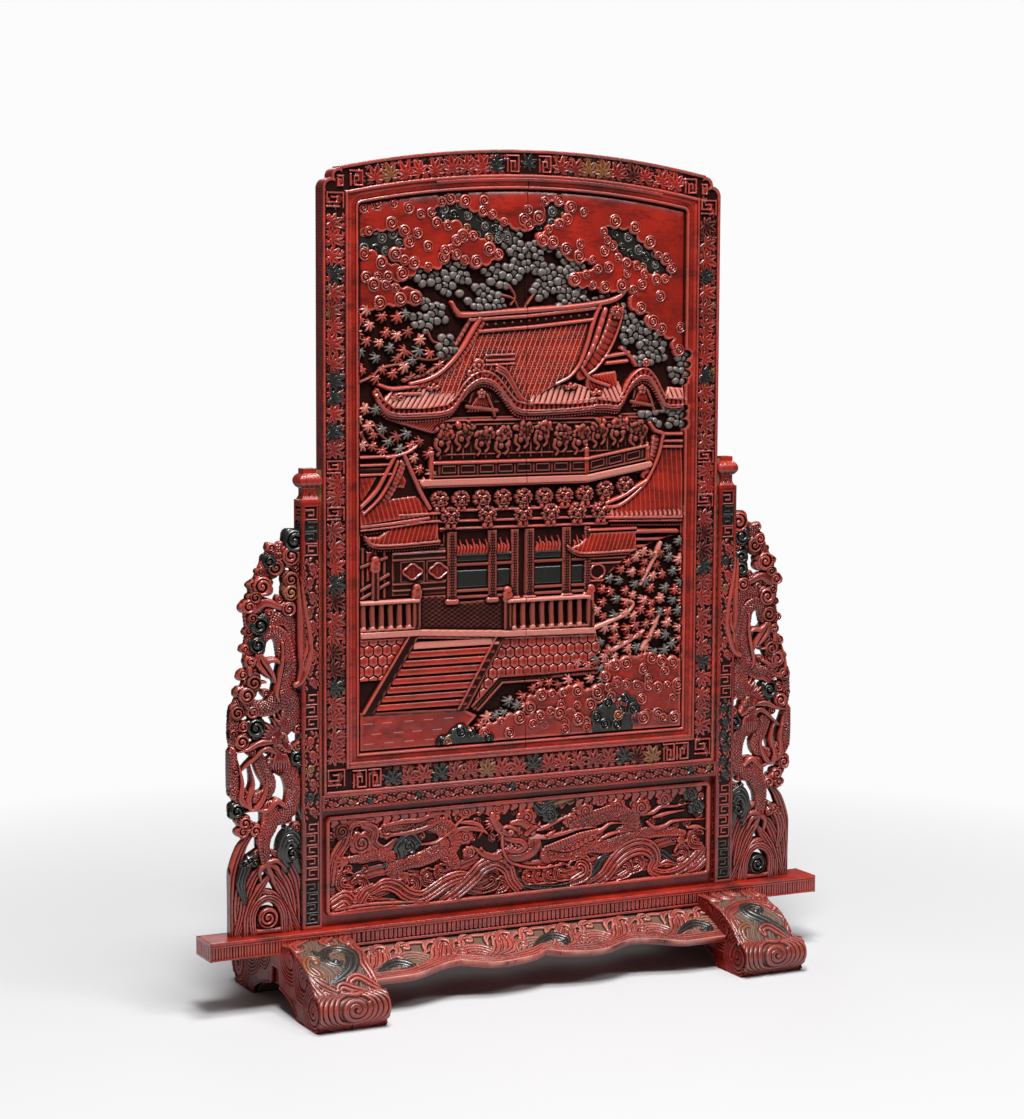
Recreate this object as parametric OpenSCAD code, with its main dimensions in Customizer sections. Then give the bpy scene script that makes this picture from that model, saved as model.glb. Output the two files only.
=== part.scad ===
// Carved red lacquer table screen on a stand with dragon brackets.
// Millimetres. The origin is on the floor under the middle of the stand, the front faces -Y.

/* [Screen frame] */
// Height of the top of the arch above the floor
total_h = 800; // [770:1:830]
// Width of the screen frame
screen_w = 424; // [410:1:436]
// Thickness of the screen frame, front to back
frame_t = 17; // [16:0.5:20]
// Width of the stiles and rails seen from the front
member_w = 26; // [24:0.5:30]
// Rise of the arched top over the space between the stiles
arch_rise = 18; // [12:1:26]
// Drop of the lobed shoulders below the ends of the arch
shoulder_drop = 22; // [18:1:26]

/* [Picture boards] */
// Depth of the carved ground behind the face of the moulding
ground_d = 6; // [4:0.5:7]
// Width of the moulding that runs round the picture
moulding_w = 13; // [10:1:16]
// Shrinkage gap between the two boards
crack_w = 0.8; // [0.4:0.1:2]
// Thickness of the board that closes the back
back_t = 2.5; // [2:0.5:3.5]
// Width of the beads that hold the boards in
bead_w = 3; // [2:0.5:4]

/* [Posts and middle rail] */
// Width of a post seen from the front
post_w = 20; // [18:0.5:24]
// Depth of a post, front to back
post_d = 19; // [18:0.5:24]
// Height of the shoulder of the posts above the floor
post_h = 473; // [440:1:520]
// Height of the neck of a post cap
neck_h = 12; // [8:1:16]
// Height of the reeded roll of a post cap
roll_h = 15; // [12:1:18]
// Height of the stepped top of a post cap
step_h = 4; // [2:1:6]
// Height of the top of the middle rail above the floor
rail_top = 198; // [190:1:220]
// Height of the middle rail itself
rail_h = 15; // [12:1:20]
// Gap between the screen frame and each post
side_gap = 2.4; // [1.5:0.1:4]

/* [Base] */
// Length of the bar
bar_l = 659; // [640:1:680]
// Depth of the bar, front to back
bar_d = 37.5; // [34:0.5:44]
// Thickness of the bar
bar_t = 18; // [16:0.5:22]
// Height of the underside of the bar above the floor
bar_z = 54; // [48:1:60]
// Width of a foot
foot_w = 70.5; // [60:0.5:74]
// Height of the top of a foot above the floor
foot_h = 66; // [62:1:68]
// Reach of a foot from the middle of the bar to its front
foot_reach = 112; // [106:1:130]
// Distance between the middles of the feet
foot_pitch = 449; // [438:1:456]
// Thickness of the apron boards
apron_t = 7; // [5:0.5:9]
// Length of the arch under a foot
arch_l = 112; // [90:1:120]
// Height of the arch under a foot
arch_h = 17; // [10:0.5:24]
// Depth by which the middle of a foot is set back at each side
waist_in = 5; // [2:0.5:6]
// Slope of the aprons below the level
apron_slope = 22; // [16:1:30]
// Width of the aprons along their slope
apron_w = 53; // [46:1:56]

/* [Lower panel and brackets] */
// Gap round the raised face of the dragon panel, at the sides and the top
panel_gap = 5; // [3:0.5:8]
// Gap under the raised face of the dragon panel
panel_low_gap = 10; // [6:0.5:14]
// Thickness of the dragon panel at its raised face
panel_t = 13; // [10:0.5:15]
// Width of a bracket at its foot
bracket_w = 64; // [54:1:72]
// Height of a bracket above the bar
bracket_h = 372; // [340:1:380]
// Thickness of a bracket
bracket_t = 15; // [12:0.5:18]

/* [Joinery] */
// Running clearance of the guide strips in the grooves of the posts
guide_gap = 0.3; // [0.1:0.05:0.5]
// Clearance round tenons and tongues
joint_gap = 0.1; // [0.05:0.05:0.3]
// Depth of the grooves in the inner faces of the posts
groove_d = 5; // [4:0.5:6]
// Width of those grooves
groove_w = 7; // [6:0.5:8]
// Thickness of the tenons of the rails
tenon_t = 8; // [6:0.5:9]
// Length of the tenons of the rails
tenon_l = 11; // [8:0.5:14]
// Depth of the tenon of a post below the bar
post_tenon_l = 24; // [16:1:30]
// Length of the tongues round the boards and panels
tongue_l = 4; // [3:0.5:5]
// Thickness of those tongues
tongue_t = 5; // [4:0.5:6]
// Diameter of the pegs
peg_dia = 4; // [3:0.5:5]
// Length of the pegs between brackets and posts
dowel_l = 14; // [10:1:18]

/* [Hidden] */
$fn = 64;
eps = 0.01;

// Places worked out from the sizes
bar_top = bar_z + bar_t;
foot_x = foot_pitch / 2;
screen_x = screen_w / 2;
post_x = screen_x + side_gap;
post_out = post_x + post_w;
cap_top = post_h + neck_h + roll_h + step_h;
sight_x = screen_x - member_w;
arch_r = (sight_x * sight_x + arch_rise * arch_rise) / (2 * arch_rise);
arch_z = total_h - arch_r;
sight_z = rail_top + member_w;
sight_r = arch_r - member_w;
lobe_z = total_h - arch_rise - shoulder_drop;
rail_z = rail_top - rail_h;
panel_x = post_x - panel_gap;
panel_z = bar_top + panel_low_gap;
panel_top = rail_z - panel_gap - 1;
face_y = -frame_t / 2;
board_y = face_y + 1.5;
back_y = frame_t / 2 - 0.5 - back_t;
carve_y = board_y + ground_d;
tongue_front = back_y - tongue_t + 0.5;
groove_x = post_x + groove_d;

red = "#a8281e";
dark_red = "#6e1a16";
brown = "#7a5a48";
wood = "#9a7650";

// Curves for the outlines
function arc(cx, cy, r, a, b, n = 8) =
  [for (i = [0:n]) let (t = a + (b - a) * i / n) [cx + r * cos(t), cy + r * sin(t)]];
function bez(p, q, r, s, n = 8) =
  [for (i = [0:n]) let (t = i / n, u = 1 - t) u * u * u * p + 3 * u * u * t * q + 3 * u * t * t * r + t * t * t * s];

// A flat shape drawn as X and Z, from y0 back to y1
module upright(y0, y1) {
  translate([0, y1, 0]) rotate([90, 0, 0]) linear_extrude(y1 - y0) children();
}

// A box from its lowest to its highest corner
module box(a, b) {
  translate(a) cube(b - a);
}

// Turns what is made for the left side into the right one
module side(s) {
  if (s < 0) children();
  else mirror([1, 0, 0]) children();
}

// Feet: rolled ends of full width on a narrower middle, with an arch under it
arch_half = arch_l / 2;
arch_circle = (arch_half * arch_half + arch_h * arch_h) / (2 * arch_h);
arch_angle = atan2(arch_circle - arch_h, arch_half);
roll_r = 16;
roll_z = roll_r + 3;

function foot_top(r, z) = concat(
  bez([bar_d / 2 - 2, z], [0.38 * r, z], [0.66 * r, z - 10], [0.79 * r, z - 28], 8),
  [[0.84 * r, z / 2]]);

function foot_end(r) = concat(
  foot_top(r, foot_h),
  [[0.9 * r, roll_z + roll_r]],
  arc(r - roll_r, roll_z, roll_r, 62, -48, 8),
  [[0.89 * r, 0], [arch_half, 0]],
  bez([arch_half, 0], [0.6 * arch_half, 4], [0.22 * arch_half, 12], [0.16 * arch_half, 38], 8));

module foot_profile() {
  polygon(foot_end(foot_reach));
  mirror([1, 0]) polygon(foot_end(foot_reach));
}

module foot_middle() {
  difference() {
    for (m = [0, 1]) mirror([m, 0])
      polygon(concat([[0, 0], [0, foot_h - 0.5]], foot_top(foot_reach, foot_h - 0.5), [[0.8 * foot_reach, 0]]));
    polygon(concat([[-arch_half - 1, -1]],
                   arc(0, arch_h - arch_circle, arch_circle, 180 - arch_angle, arch_angle, 16),
                   [[arch_half + 1, -1]]));
  }
}

module foot() {
  difference() {
    union() {
      translate([-foot_x - foot_w / 2, 0, 0]) rotate([90, 0, 90]) linear_extrude(foot_w) foot_profile();
      translate([-foot_x - foot_w / 2 + waist_in, 0, 0]) rotate([90, 0, 90])
        linear_extrude(foot_w - 2 * waist_in) foot_middle();
    }
    translate([-foot_x - foot_w, -bar_d / 2, bar_z]) cube([2 * foot_w, bar_d, bar_t]);
    post_tenon(joint_gap, joint_gap);
    for (m = [0, 1]) mirror([0, m, 0]) apron_blank(joint_gap);
    foot_pin();
  }
}

module left_foot() { color(red) foot(); }
module right_foot() { color(red) side(1) foot(); }

// Bar with a sunk band between two fillets along its edges
fillet_h = 3.5;
band_d = 0.8;

module base_bar() {
  color(red) difference() {
    box([-bar_l / 2, -bar_d / 2, bar_z], [bar_l / 2, bar_d / 2, bar_top]);
    for (s = [-1, 1]) side(s) {
      post_tenon(joint_gap, 0);
      spandrel_tenon(joint_gap);
    }
    for (m = [0, 1]) mirror([0, m, 0]) {
      box([-bar_l / 2 + fillet_h, -bar_d / 2 - 1, bar_z + fillet_h],
          [bar_l / 2 - fillet_h, -bar_d / 2 + band_d, bar_top - fillet_h]);
      apron_tongue(joint_gap);
    }
    panel_tongue(joint_gap);
  }
}

// Aprons: flat boards on the slope, cut to a line of ogees that meet in the middle
apron_in = 3;
apron_under = 13;
apron_l = foot_pitch - foot_w + 2 * apron_in;

// Half of the lower edge, for an apron of half length h and width w
function apron_edge(h, w) = concat(
  [[0, -0.74 * w]],
  bez([0.06 * h, -0.84 * w], [0.13 * h, -0.9 * w], [0.26 * h, -0.98 * w], [0.34 * h, -0.91 * w], 6),
  [[0.41 * h, -0.82 * w], [0.48 * h, -0.74 * w]],
  bez([0.54 * h, -0.76 * w], [0.64 * h, -0.84 * w], [0.7 * h, -0.97 * w], [0.78 * h, -w], 6),
  [[h, -w]]);

module apron_outline() {
  for (m = [0, 1]) mirror([m, 0])
    polygon(concat([[0, apron_under]], apron_edge(apron_l / 2, apron_w), [[apron_l / 2, apron_under]]));
}

module on_slope() {
  translate([0, -bar_d / 2, bar_z]) rotate([apron_slope, 0, 0]) children();
}

// The uncut slab of an apron, which also cuts its housings in the feet
module apron_blank(gap) {
  intersection() {
    on_slope() translate([-apron_l / 2 - gap, -apron_w - gap, -apron_t - gap])
      cube([apron_l + 2 * gap, apron_w + apron_under, apron_t + 2 * gap]);
    translate([-foot_pitch, -2 * foot_reach, 0]) cube([2 * foot_pitch, 2 * foot_reach, bar_z]);
  }
}

module apron_tongue(gap) {
  l = foot_pitch - foot_w - 10;
  box([-l / 2 - gap, -bar_d / 2 + 5 - gap, bar_z - 2], [l / 2 + gap, -bar_d / 2 + 9 + gap, bar_z + 4 + gap]);
}

module apron() {
  union() {
    intersection() {
      apron_blank(0);
      on_slope() translate([0, 0, -2 * apron_t]) linear_extrude(4 * apron_t) apron_outline();
    }
    apron_tongue(0);
  }
}

module front_apron() { color(brown) apron(); }
module rear_apron() { color(brown) mirror([0, 1, 0]) apron(); }

// Posts
post_tenon_d = 10;

module post_tenon(gap, low) {
  box([-post_out + 3 - gap, -post_tenon_d / 2 - gap, bar_z - post_tenon_l - low],
      [-post_x - 3 + gap, post_tenon_d / 2 + gap, bar_top + 1]);
}

module foot_pin() {
  translate([-foot_x - foot_w / 2 + 12, 0, bar_z - post_tenon_l / 2]) rotate([0, 90, 0])
    cylinder(d = peg_dia, h = foot_w - 12 - waist_in);
}

module cap_tenon(gap) {
  box([-post_out + 3 - gap, -4 - gap, post_h - 10 - gap], [-groove_x - 3 + gap, 4 + gap, post_h + 1]);
}

module rail_tenon(gap) {
  box([-post_x - tenon_l - gap, -tenon_t / 2 - gap, rail_z + 2 - gap],
      [-post_x + 1, tenon_t / 2 + gap, rail_top - 2 + gap]);
}

module rail_pin() {
  translate([-post_x - tenon_l / 2, post_d / 2, (rail_z + rail_top) / 2]) rotate([90, 0, 0])
    cylinder(d = peg_dia, h = post_d - 5);
}

module post() {
  difference() {
    union() {
      box([-post_out, -post_d / 2, bar_top], [-post_x, post_d / 2, post_h]);
      intersection() {
        post_tenon(0, 0);
        box([-post_out, -post_d, 0], [-post_x, post_d, bar_top + 0.5]);
      }
    }
    box([-groove_x, -groove_w / 2, rail_top], [-post_x + 1, groove_w / 2, post_h + 1]);
    for (m = [0, 1]) mirror([0, m, 0])
      box([-post_out + 2.5, -post_d / 2 - 1, bar_top + 4], [-post_x - 2.5, -post_d / 2 + 1, post_h - 4]);
    box([-post_out - 1, -post_d / 2 + 3, bracket_z + bracket_h + 4], [-post_out + 1, post_d / 2 - 3, post_h - 4]);
    cap_tenon(joint_gap);
    rail_tenon(joint_gap);
    rail_pin();
    foot_pin();
    panel_tongue(joint_gap);
    for (z = dowel_z) spandrel_dowel(z);
  }
}

module left_post() { color(red) post(); }
module right_post() { color(red) side(1) post(); }

// Post cap: waisted neck, reeded roll, stepped top
roll_out = 1.2;

function cap_section(w) = concat(
  [[0, post_h], [w, post_h]],
  bez([w, post_h], [w - 1, post_h + 4], [w - 3.4, post_h + 5], [w - 3.2, post_h + neck_h], 6),
  arc(w - roll_h / 2 + roll_out, post_h + neck_h + roll_h / 2, roll_h / 2, -70, 70, 10),
  [[w - 3.4, post_h + neck_h + roll_h], [w - 3.4, cap_top], [0, cap_top]]);

module post_cap() {
  difference() {
    union() {
      intersection() {
        for (m = [0, 1]) mirror([0, m, 0]) translate([-post_out - 10, 0, 0]) rotate([90, 0, 90])
          linear_extrude(post_w + 10) polygon(cap_section(post_d / 2));
        translate([-post_x, -post_d, 0]) mirror([1, 0, 0]) translate([0, 2 * post_d, 0]) rotate([90, 0, 0])
          linear_extrude(2 * post_d) polygon(cap_section(post_w));
      }
      cap_tenon(0);
    }
    box([-groove_x, -groove_w / 2, post_h - 1], [-post_x + 1, groove_w / 2, cap_top + 1]);
  }
}

module left_post_cap() { color(red) post_cap(); }
module right_post_cap() { color(red) side(1) post_cap(); }

// Middle rail
module middle_rail() {
  color(red) difference() {
    union() {
      box([-post_x, -post_d / 2, rail_z], [post_x, post_d / 2, rail_top]);
      for (s = [-1, 1]) side(s) rail_tenon(0);
    }
    for (m = [0, 1]) mirror([0, m, 0])
      box([-post_x + 3, -post_d / 2 - 1, rail_z + 2.5], [post_x - 3, -post_d / 2 + 1, rail_top - 2.5]);
    for (s = [-1, 1]) side(s) rail_pin();
    panel_tongue(joint_gap);
  }
}

// Dragon panel: raised face with rounded corners, rim, ground and the main waves and clouds
panel_rim = 4;
panel_r = 6;
rim_d = 3;
panel_front = -post_d / 2 + 1.5;

module round_rect(x, z0, z1, r) {
  for (m = [-1, 1], z = [z0 + r, z1 - r]) translate([m * (x - r), z]) circle(r);
  translate([-x, z0 + r]) square([2 * x, z1 - z0 - 2 * r]);
  translate([-x + r, z0]) square([2 * x - 2 * r, z1 - z0]);
}

module panel_tongue(gap) {
  box([-post_x - tongue_l - gap, -tongue_t / 2 - gap, bar_top - tongue_l - gap],
      [post_x + tongue_l + gap, tongue_t / 2 + gap, rail_z + tongue_l + gap]);
}

module wave(x, z, w, h) {
  crest = [x + 0.62 * w, z + h];
  tip = [x + 0.7 * w, z + 0.5 * h];
  polygon(concat([[x, z]], bez([x, z], [x + 0.3 * w, z], [x + 0.35 * w, z + h], crest, 6),
                 bez(crest, [x + 0.95 * w, z + h], [x + 0.9 * w, z + 0.45 * h], tip, 5),
                 bez(tip, [x + 0.7 * w, z + 0.2 * h], [x + 0.85 * w, z], [x + w, z], 4)));
}

module ribbon(points, w) {
  n = len(points);
  polygon(concat([for (i = [0:n - 1]) points[i] + along(points, i) * w(i / (n - 1))],
                 [for (i = [n - 1:-1:0]) points[i] - along(points, i) * w(i / (n - 1))]));
}

// Unit normal of a line of points at point i
function along(p, i) =
  let (a = p[max(i - 1, 0)], b = p[min(i + 1, len(p) - 1)], d = b - a, l = norm(d)) [-d[1], d[0]] / l;

panel_mid = (panel_z + panel_top) / 2;
panel_half = (panel_top - panel_z) / 2;

// A place on the panel, from -1 to 1 across and up
function on_panel(x, z) = [x * panel_x, panel_mid + z * panel_half];

dragon_line =
  [for (i = [0:36]) let (t = i / 36) on_panel(-0.72 + 1.2 * t, 0.08 + 0.32 * sin(600 * t) * (1 - 0.4 * t))];

module panel_relief() {
  wave_l = panel_x / 4;
  for (i = [-3:3]) wave((i - 0.5) * wave_l, panel_z + panel_rim, wave_l - 2, 22 + 6 * cos(110 * i));
  ribbon(dragon_line, function(t) 3 + 4.5 * sin(180 * t));
  translate(on_panel(0.52, 0.17)) circle(0.28 * panel_half);
  for (p = [[-0.86, 0.52], [-0.57, 0.64], [-0.29, 0.68], [0.14, 0.66], [0.72, 0.6], [0.88, 0.08], [-0.89, -0.3]])
    translate(on_panel(p[0], p[1])) circle(0.2 * panel_half);
}

module dragon_panel() {
  color(red) union() {
    panel_tongue(0);
    difference() {
      upright(panel_front, panel_front + panel_t) round_rect(panel_x, panel_z, panel_top, panel_r);
      upright(panel_front - 1, panel_front + rim_d)
        round_rect(panel_x - panel_rim, panel_z + panel_rim, panel_top - panel_rim, panel_r - 1);
    }
    upright(panel_front + 0.5, panel_front + rim_d + 1) intersection() {
      round_rect(panel_x - panel_rim, panel_z + panel_rim, panel_top - panel_rim, panel_r - 1);
      panel_relief();
    }
  }
}

// Brackets: waves on the bar, then clouds and the dragon's coils up to the post
bracket_z = bar_top;
dowel_z = [bracket_z + 60, bracket_z + 345];
spandrel_tenon_l = 8;
boss_out = 2.4;

function on_bracket(x, z) = [-post_out - x * bracket_w, bracket_z + z * bracket_h];

// Cloud heads: share of the width from the post, share of the height, size
head_r = 3 / 16 * bracket_w;
cloud_heads = [[0.18, 0.96, 1.08], [0.36, 0.918, 1], [0.46, 0.866, 1], [0.55, 0.812, 1], [0.6, 0.756, 1],
               [0.61, 0.7, 1], [0.69, 0.645, 1], [0.78, 0.59, 1], [0.8, 0.535, 1], [0.8, 0.48, 1],
               [0.8, 0.425, 1], [0.8, 0.37, 1], [0.77, 0.315, 1], [0.74, 0.26, 1], [0.16, 0.87, 1],
               [0.16, 0.7, 0.83], [0.18, 0.5, 1], [0.18, 0.32, 1.08]];

coil = [for (i = [0:40]) let (t = i / 40) on_bracket(0.42 + 0.3 * sin(60 + 900 * t), 0.9 - 0.76 * t)];

module bracket_outline() {
  polygon(concat([on_bracket(0, 0), on_bracket(1, 0)],
                 bez(on_bracket(1, 0), on_bracket(0.98, 0.1), on_bracket(1.02, 0.16), on_bracket(0.9, 0.24), 8),
                 [on_bracket(0.62, 0.2), on_bracket(0.4, 0.22), on_bracket(0.2, 0.22), on_bracket(0, 0.26)]));
  ribbon(coil, function(t) (2 + sin(180 * t)) * bracket_w / 21);
  for (c = cloud_heads) translate(on_bracket(c[0], c[1])) circle(c[2] * head_r);
  translate(on_bracket(0.08, 0.02)) square([0.08 * bracket_w, 0.94 * bracket_h]);
}

module spandrel_tenon(gap) {
  box([-post_out - 0.75 * bracket_w - gap, -3.5 - gap, bracket_z - spandrel_tenon_l - gap],
      [-post_out - 0.25 * bracket_w + gap, 3.5 + gap, bracket_z + 1]);
}

module spandrel_dowel(z) {
  translate([-post_out - dowel_l / 2 - 3, 0, z]) rotate([0, 90, 0]) cylinder(d = peg_dia, h = dowel_l);
}

module spandrel() {
  difference() {
    union() {
      intersection() {
        upright(-bracket_t / 2, bracket_t / 2) bracket_outline();
        box([-post_out - 1.1 * bracket_w, -bracket_t, bracket_z], [-post_out, bracket_t, bracket_z + bracket_h]);
      }
      spandrel_tenon(0);
      for (c = cloud_heads) if (c[0] > 0.25 || c[2] > 1) translate(on_plane(on_bracket(c[0], c[1])))
        rotate([90, 0, 0]) cylinder(r = 0.6 * c[2] * head_r, h = bracket_t + boss_out, center = true);
    }
    for (z = dowel_z) spandrel_dowel(z);
    box([-post_out, -bracket_t, bracket_z], [-post_x, bracket_t, post_h]);
  }
}

function on_plane(p) = [p[0], 0, p[1]];

module left_spandrel() { color(red) spandrel(); }
module right_spandrel() { color(red) side(1) spandrel(); }

module spandrel_dowels() {
  color(wood) for (s = [-1, 1], z = dowel_z) side(s) spandrel_dowel(z);
}

module tenon_pins() {
  color(wood) for (s = [-1, 1]) side(s) {
    foot_pin();
    rail_pin();
  }
}

// Screen frame
lobe_r = 10;
small_lobe_r = 8;
split_z = (rail_top + total_h) / 2;

module screen_outline() {
  translate([-screen_x, rail_top]) square([screen_w, lobe_z - rail_top]);
  intersection() {
    translate([0, arch_z]) circle(arch_r, $fn = 360);
    union() {
      translate([-screen_x + lobe_r, rail_top]) square([screen_w - 2 * lobe_r, lobe_z + lobe_r - rail_top]);
      for (s = [-1, 1]) {
        translate([s * (screen_x - lobe_r), lobe_z]) circle(lobe_r);
        translate([s * (screen_x - lobe_r - small_lobe_r + 1), lobe_z + lobe_r + 1]) circle(small_lobe_r);
      }
      translate([-screen_x + lobe_r + small_lobe_r - 1, rail_top])
        square([screen_w - 2 * (lobe_r + small_lobe_r - 1), total_h]);
    }
  }
}

module sight_outline(in) {
  intersection() {
    translate([0, arch_z]) circle(sight_r - in, $fn = 360);
    translate([-sight_x + in, sight_z + in]) square([2 * (sight_x - in), total_h]);
  }
}

module strip(x0, x1) {
  translate([x0, 0]) square([x1 - x0, 2 * total_h]);
}

// The rebate that the boards and the back panel lie in, open at the back
module board_rebate(gap) {
  upright(tongue_front - gap, frame_t) sight_outline(-tongue_l - gap);
}

module carved_band(depth) {
  upright(face_y - 1, face_y + depth) difference() {
    screen_outline_in(3.5);
    sight_outline(-3.5);
  }
}

module screen_outline_in(in) {
  intersection() {
    translate([0, arch_z]) circle(arch_r - in, $fn = 360);
    union() {
      translate([-screen_x + in, rail_top + in]) square([screen_w - 2 * in, lobe_z - rail_top - in]);
      translate([-screen_x + lobe_r + small_lobe_r + in, rail_top + in])
        square([screen_w - 2 * (lobe_r + small_lobe_r + in), total_h]);
    }
  }
}

sight_end = arch_z + sqrt(sight_r * sight_r - sight_x * sight_x);
tenon_h = member_w - 12;
tenon_y = 5;

// Lower edge of the tenon at the top or the bottom corner
function tenon_z(top) = top ? sight_end + 5 : rail_top + 5;

module corner_tenon(top, gap) {
  box([-sight_x - tenon_l - gap, -tenon_y - gap, tenon_z(top) - gap],
      [-sight_x + 1, tongue_front - 0.5 + gap, tenon_z(top) + tenon_h + gap]);
}

module corner_pin(top) {
  translate([-sight_x - tenon_l + peg_dia / 2 + 1.4, frame_t / 2, tenon_z(top) + tenon_h / 2]) rotate([90, 0, 0])
    cylinder(d = peg_dia, h = frame_t - 3);
}

module guide_seat(gap) {
  box([-screen_x - 1, -groove_w / 2 + guide_gap - gap, rail_top + 1 - gap],
      [-screen_x + 2 + gap, groove_w / 2 - guide_gap + gap, cap_top - 2 + gap]);
}

module stile() {
  difference() {
    upright(face_y, -face_y) intersection() {
      screen_outline();
      strip(-screen_x, -sight_x);
    }
    board_rebate(joint_gap);
    carved_band(1.2);
    for (top = [false, true]) {
      corner_tenon(top, joint_gap);
      corner_pin(top);
    }
    guide_seat(0);
  }
}

module left_stile() { color(red) stile(); }
module right_stile() { color(red) side(1) stile(); }

module rail(top) {
  difference() {
    union() {
      upright(face_y, -face_y) difference() {
        intersection() {
          screen_outline();
          strip(-sight_x, sight_x);
          translate([-screen_x, top ? split_z : 0]) square([screen_w, top ? total_h : split_z]);
        }
        sight_outline(0);
      }
      for (s = [-1, 1]) side(s) intersection() {
        corner_tenon(top, 0);
        box([-screen_x, -frame_t, 0], [-sight_x + eps, frame_t, total_h]);
      }
    }
    board_rebate(joint_gap);
    carved_band(1.2);
    for (s = [-1, 1]) side(s) corner_pin(top);
  }
}

module top_rail() { color(red) rail(true); }
module bottom_rail() { color(red) rail(false); }

module frame_pins() {
  color(wood) for (s = [-1, 1], top = [false, true]) side(s) corner_pin(top);
}

// Guide strips: set in the stiles, running in the grooves of the posts
guide_out = side_gap + groove_d - 1;

module guide() {
  box([-screen_x - guide_out, -groove_w / 2 + guide_gap, rail_top + 1],
      [-screen_x + 2, groove_w / 2 - guide_gap, cap_top - 2]);
}

module left_guide() { color(wood) guide(); }
module right_guide() { color(wood) side(1) guide(); }

// Picture: drawn at one size, 372 by 550 mm, and laid out over the opening of the frame
drawn_x = 186;
drawn_z = 224;
drawn_h = 550;

function pic(x, z) = [x * sight_x / drawn_x, sight_z + (z - drawn_z) * (total_h - member_w - sight_z) / drawn_h];

module shape(points) {
  polygon([for (p = points) pic(p[0], p[1])]);
}

module block(x0, z0, x1, z1) {
  shape([[x0, z0], [x1, z0], [x1, z1], [x0, z1]]);
}

module cloud(x, z, w, n, r) {
  for (i = [0:n - 1]) translate(pic(x + w * i / (n - 1), z + r * 0.5 * sin(140 * i)))
    circle(r * (1 - 0.25 * cos(97 * i)));
}

module roof(x0, x1, z0, r0, r1, z1, curl) {
  shape(concat(bez([x0, z0 + curl], [x0 + 12, z0 - 2], [x0 + 24, z0], [x0 + 40, z0], 5),
               bez([x1 - 40, z0], [x1 - 24, z0], [x1 - 12, z0 - 2], [x1, z0 + curl], 5),
               bez([x1, z0 + curl + 5], [x1 - 26, z0 + 14], [r1 + 14, z1 - 36], [r1, z1], 6),
               bez([r0, z1], [r0 - 14, z1 - 36], [x0 + 26, z0 + 14], [x0, z0 + curl + 5], 6)));
}

module bars(x0, x1, z0, z1, n, w) {
  for (i = [0:n]) block(x0 + (x1 - x0 - w) * i / n, z0, x0 + (x1 - x0 - w) * i / n + w, z1);
  for (z = [z0, z1 - 3]) block(x0, z, x1, z + 3);
}

module sky_clouds() {
  difference() {
    block(-drawn_x, 690, drawn_x, 800);
    block(-40, 690, 40, 706);
  }
  cloud(-178, 672, 60, 5, 11);
  cloud(-120, 690, 60, 5, 12);
  cloud(60, 690, 60, 5, 12);
  cloud(110, 672, 70, 5, 14);
  block(140, 630, drawn_x, 690);
  cloud(150, 622, 30, 3, 13);
}

module pines() {
  cloud(-60, 690, 130, 9, 14);
  cloud(-90, 668, 40, 4, 12);
  cloud(118, 640, 24, 3, 14);
  cloud(-130, 640, 40, 4, 12);
}

module hall() {
  roof(-158, 184, 552, -72, 104, 660, 12);
  block(-84, 660, 116, 668);
  for (x = [-44, 122]) translate(pic(x, 562)) circle(30);
}

module storeys() {
  block(-100, 490, 136, 520);
  bars(-100, 136, 484, 508, 12, 5);
  for (i = [0:10]) {
    translate(pic(-92 + 22 * i, 528)) circle(12);
    translate(pic(-92 + 22 * i, 470)) circle(10);
    if (i < 8) translate(pic(-84 + 22 * i, 448)) circle(10);
  }
  for (x = [-84, -28, 10, 58]) block(x, 366, x + 10, 446);
  block(-84, 366, 68, 374);
}

module wings() {
  shape([[-drawn_x, 448], [-108, 452], [-128, 500], [-132, 520], [-drawn_x, 516]]);
  shape([[84, 444], [drawn_x, 442], [drawn_x, 530], [150, 528], [128, 480]]);
  shape([[-176, 424], [-84, 434], [-96, 448], [-168, 446]]);
  shape([[46, 414], [124, 420], [116, 434], [58, 434]]);
}

module terrace() {
  bars(-drawn_x, -112, 348, 376, 8, 4);
  bars(-20, 74, 342, 372, 9, 4);
  block(-drawn_x, 336, 74, 343);
  for (x = [-114, -22, 72]) block(x, 342, x + 7, 386);
}

module stairs() {
  for (i = [0:8]) shape([for (p = [[-118, 0], [-20, 0], [-24, -5], [-122, -5]]) [p[0] - 6 * i, p[1] + 334 - 7.2 * i]]);
  shape([[-20, 338], [-12, 338], [-62, 268], [-70, 268]]);
  shape([[-124, 338], [-116, 338], [-170, 268], [-178, 268]]);
}

module low_clouds() {
  shape(concat([[-96, 230]], bez([-96, 240], [-60, 262], [-20, 270], [10, 300], 6),
               bez([10, 300], [60, 300], [110, 310], [drawn_x, 312], 6), [[drawn_x, 230]]));
  cloud(-90, 244, 100, 8, 9);
  cloud(10, 296, 160, 9, 11);
}

module maples() {
  cloud(84, 330, 96, 6, 14);
  cloud(96, 360, 84, 5, 14);
  cloud(110, 390, 70, 4, 13);
  cloud(-172, 610, 70, 5, 10);
  cloud(-176, 585, 50, 4, 10);
}

// Height of each group of shapes above the ground, as a share of its depth
module picture_relief() {
  picture_layer(0.9) sky_clouds();
  picture_layer(0.55) pines();
  picture_layer(0.95) hall();
  picture_layer(0.75) storeys();
  picture_layer(0.7) wings();
  picture_layer(0.8) terrace();
  picture_layer(0.5) stairs();
  picture_layer(0.85) low_clouds();
  picture_layer(0.65) maples();
}

module picture_layer(share) {
  upright(carve_y - share * (ground_d - 0.5), carve_y + 0.5) intersection() {
    sight_outline(moulding_w - 1);
    children();
  }
}

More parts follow.
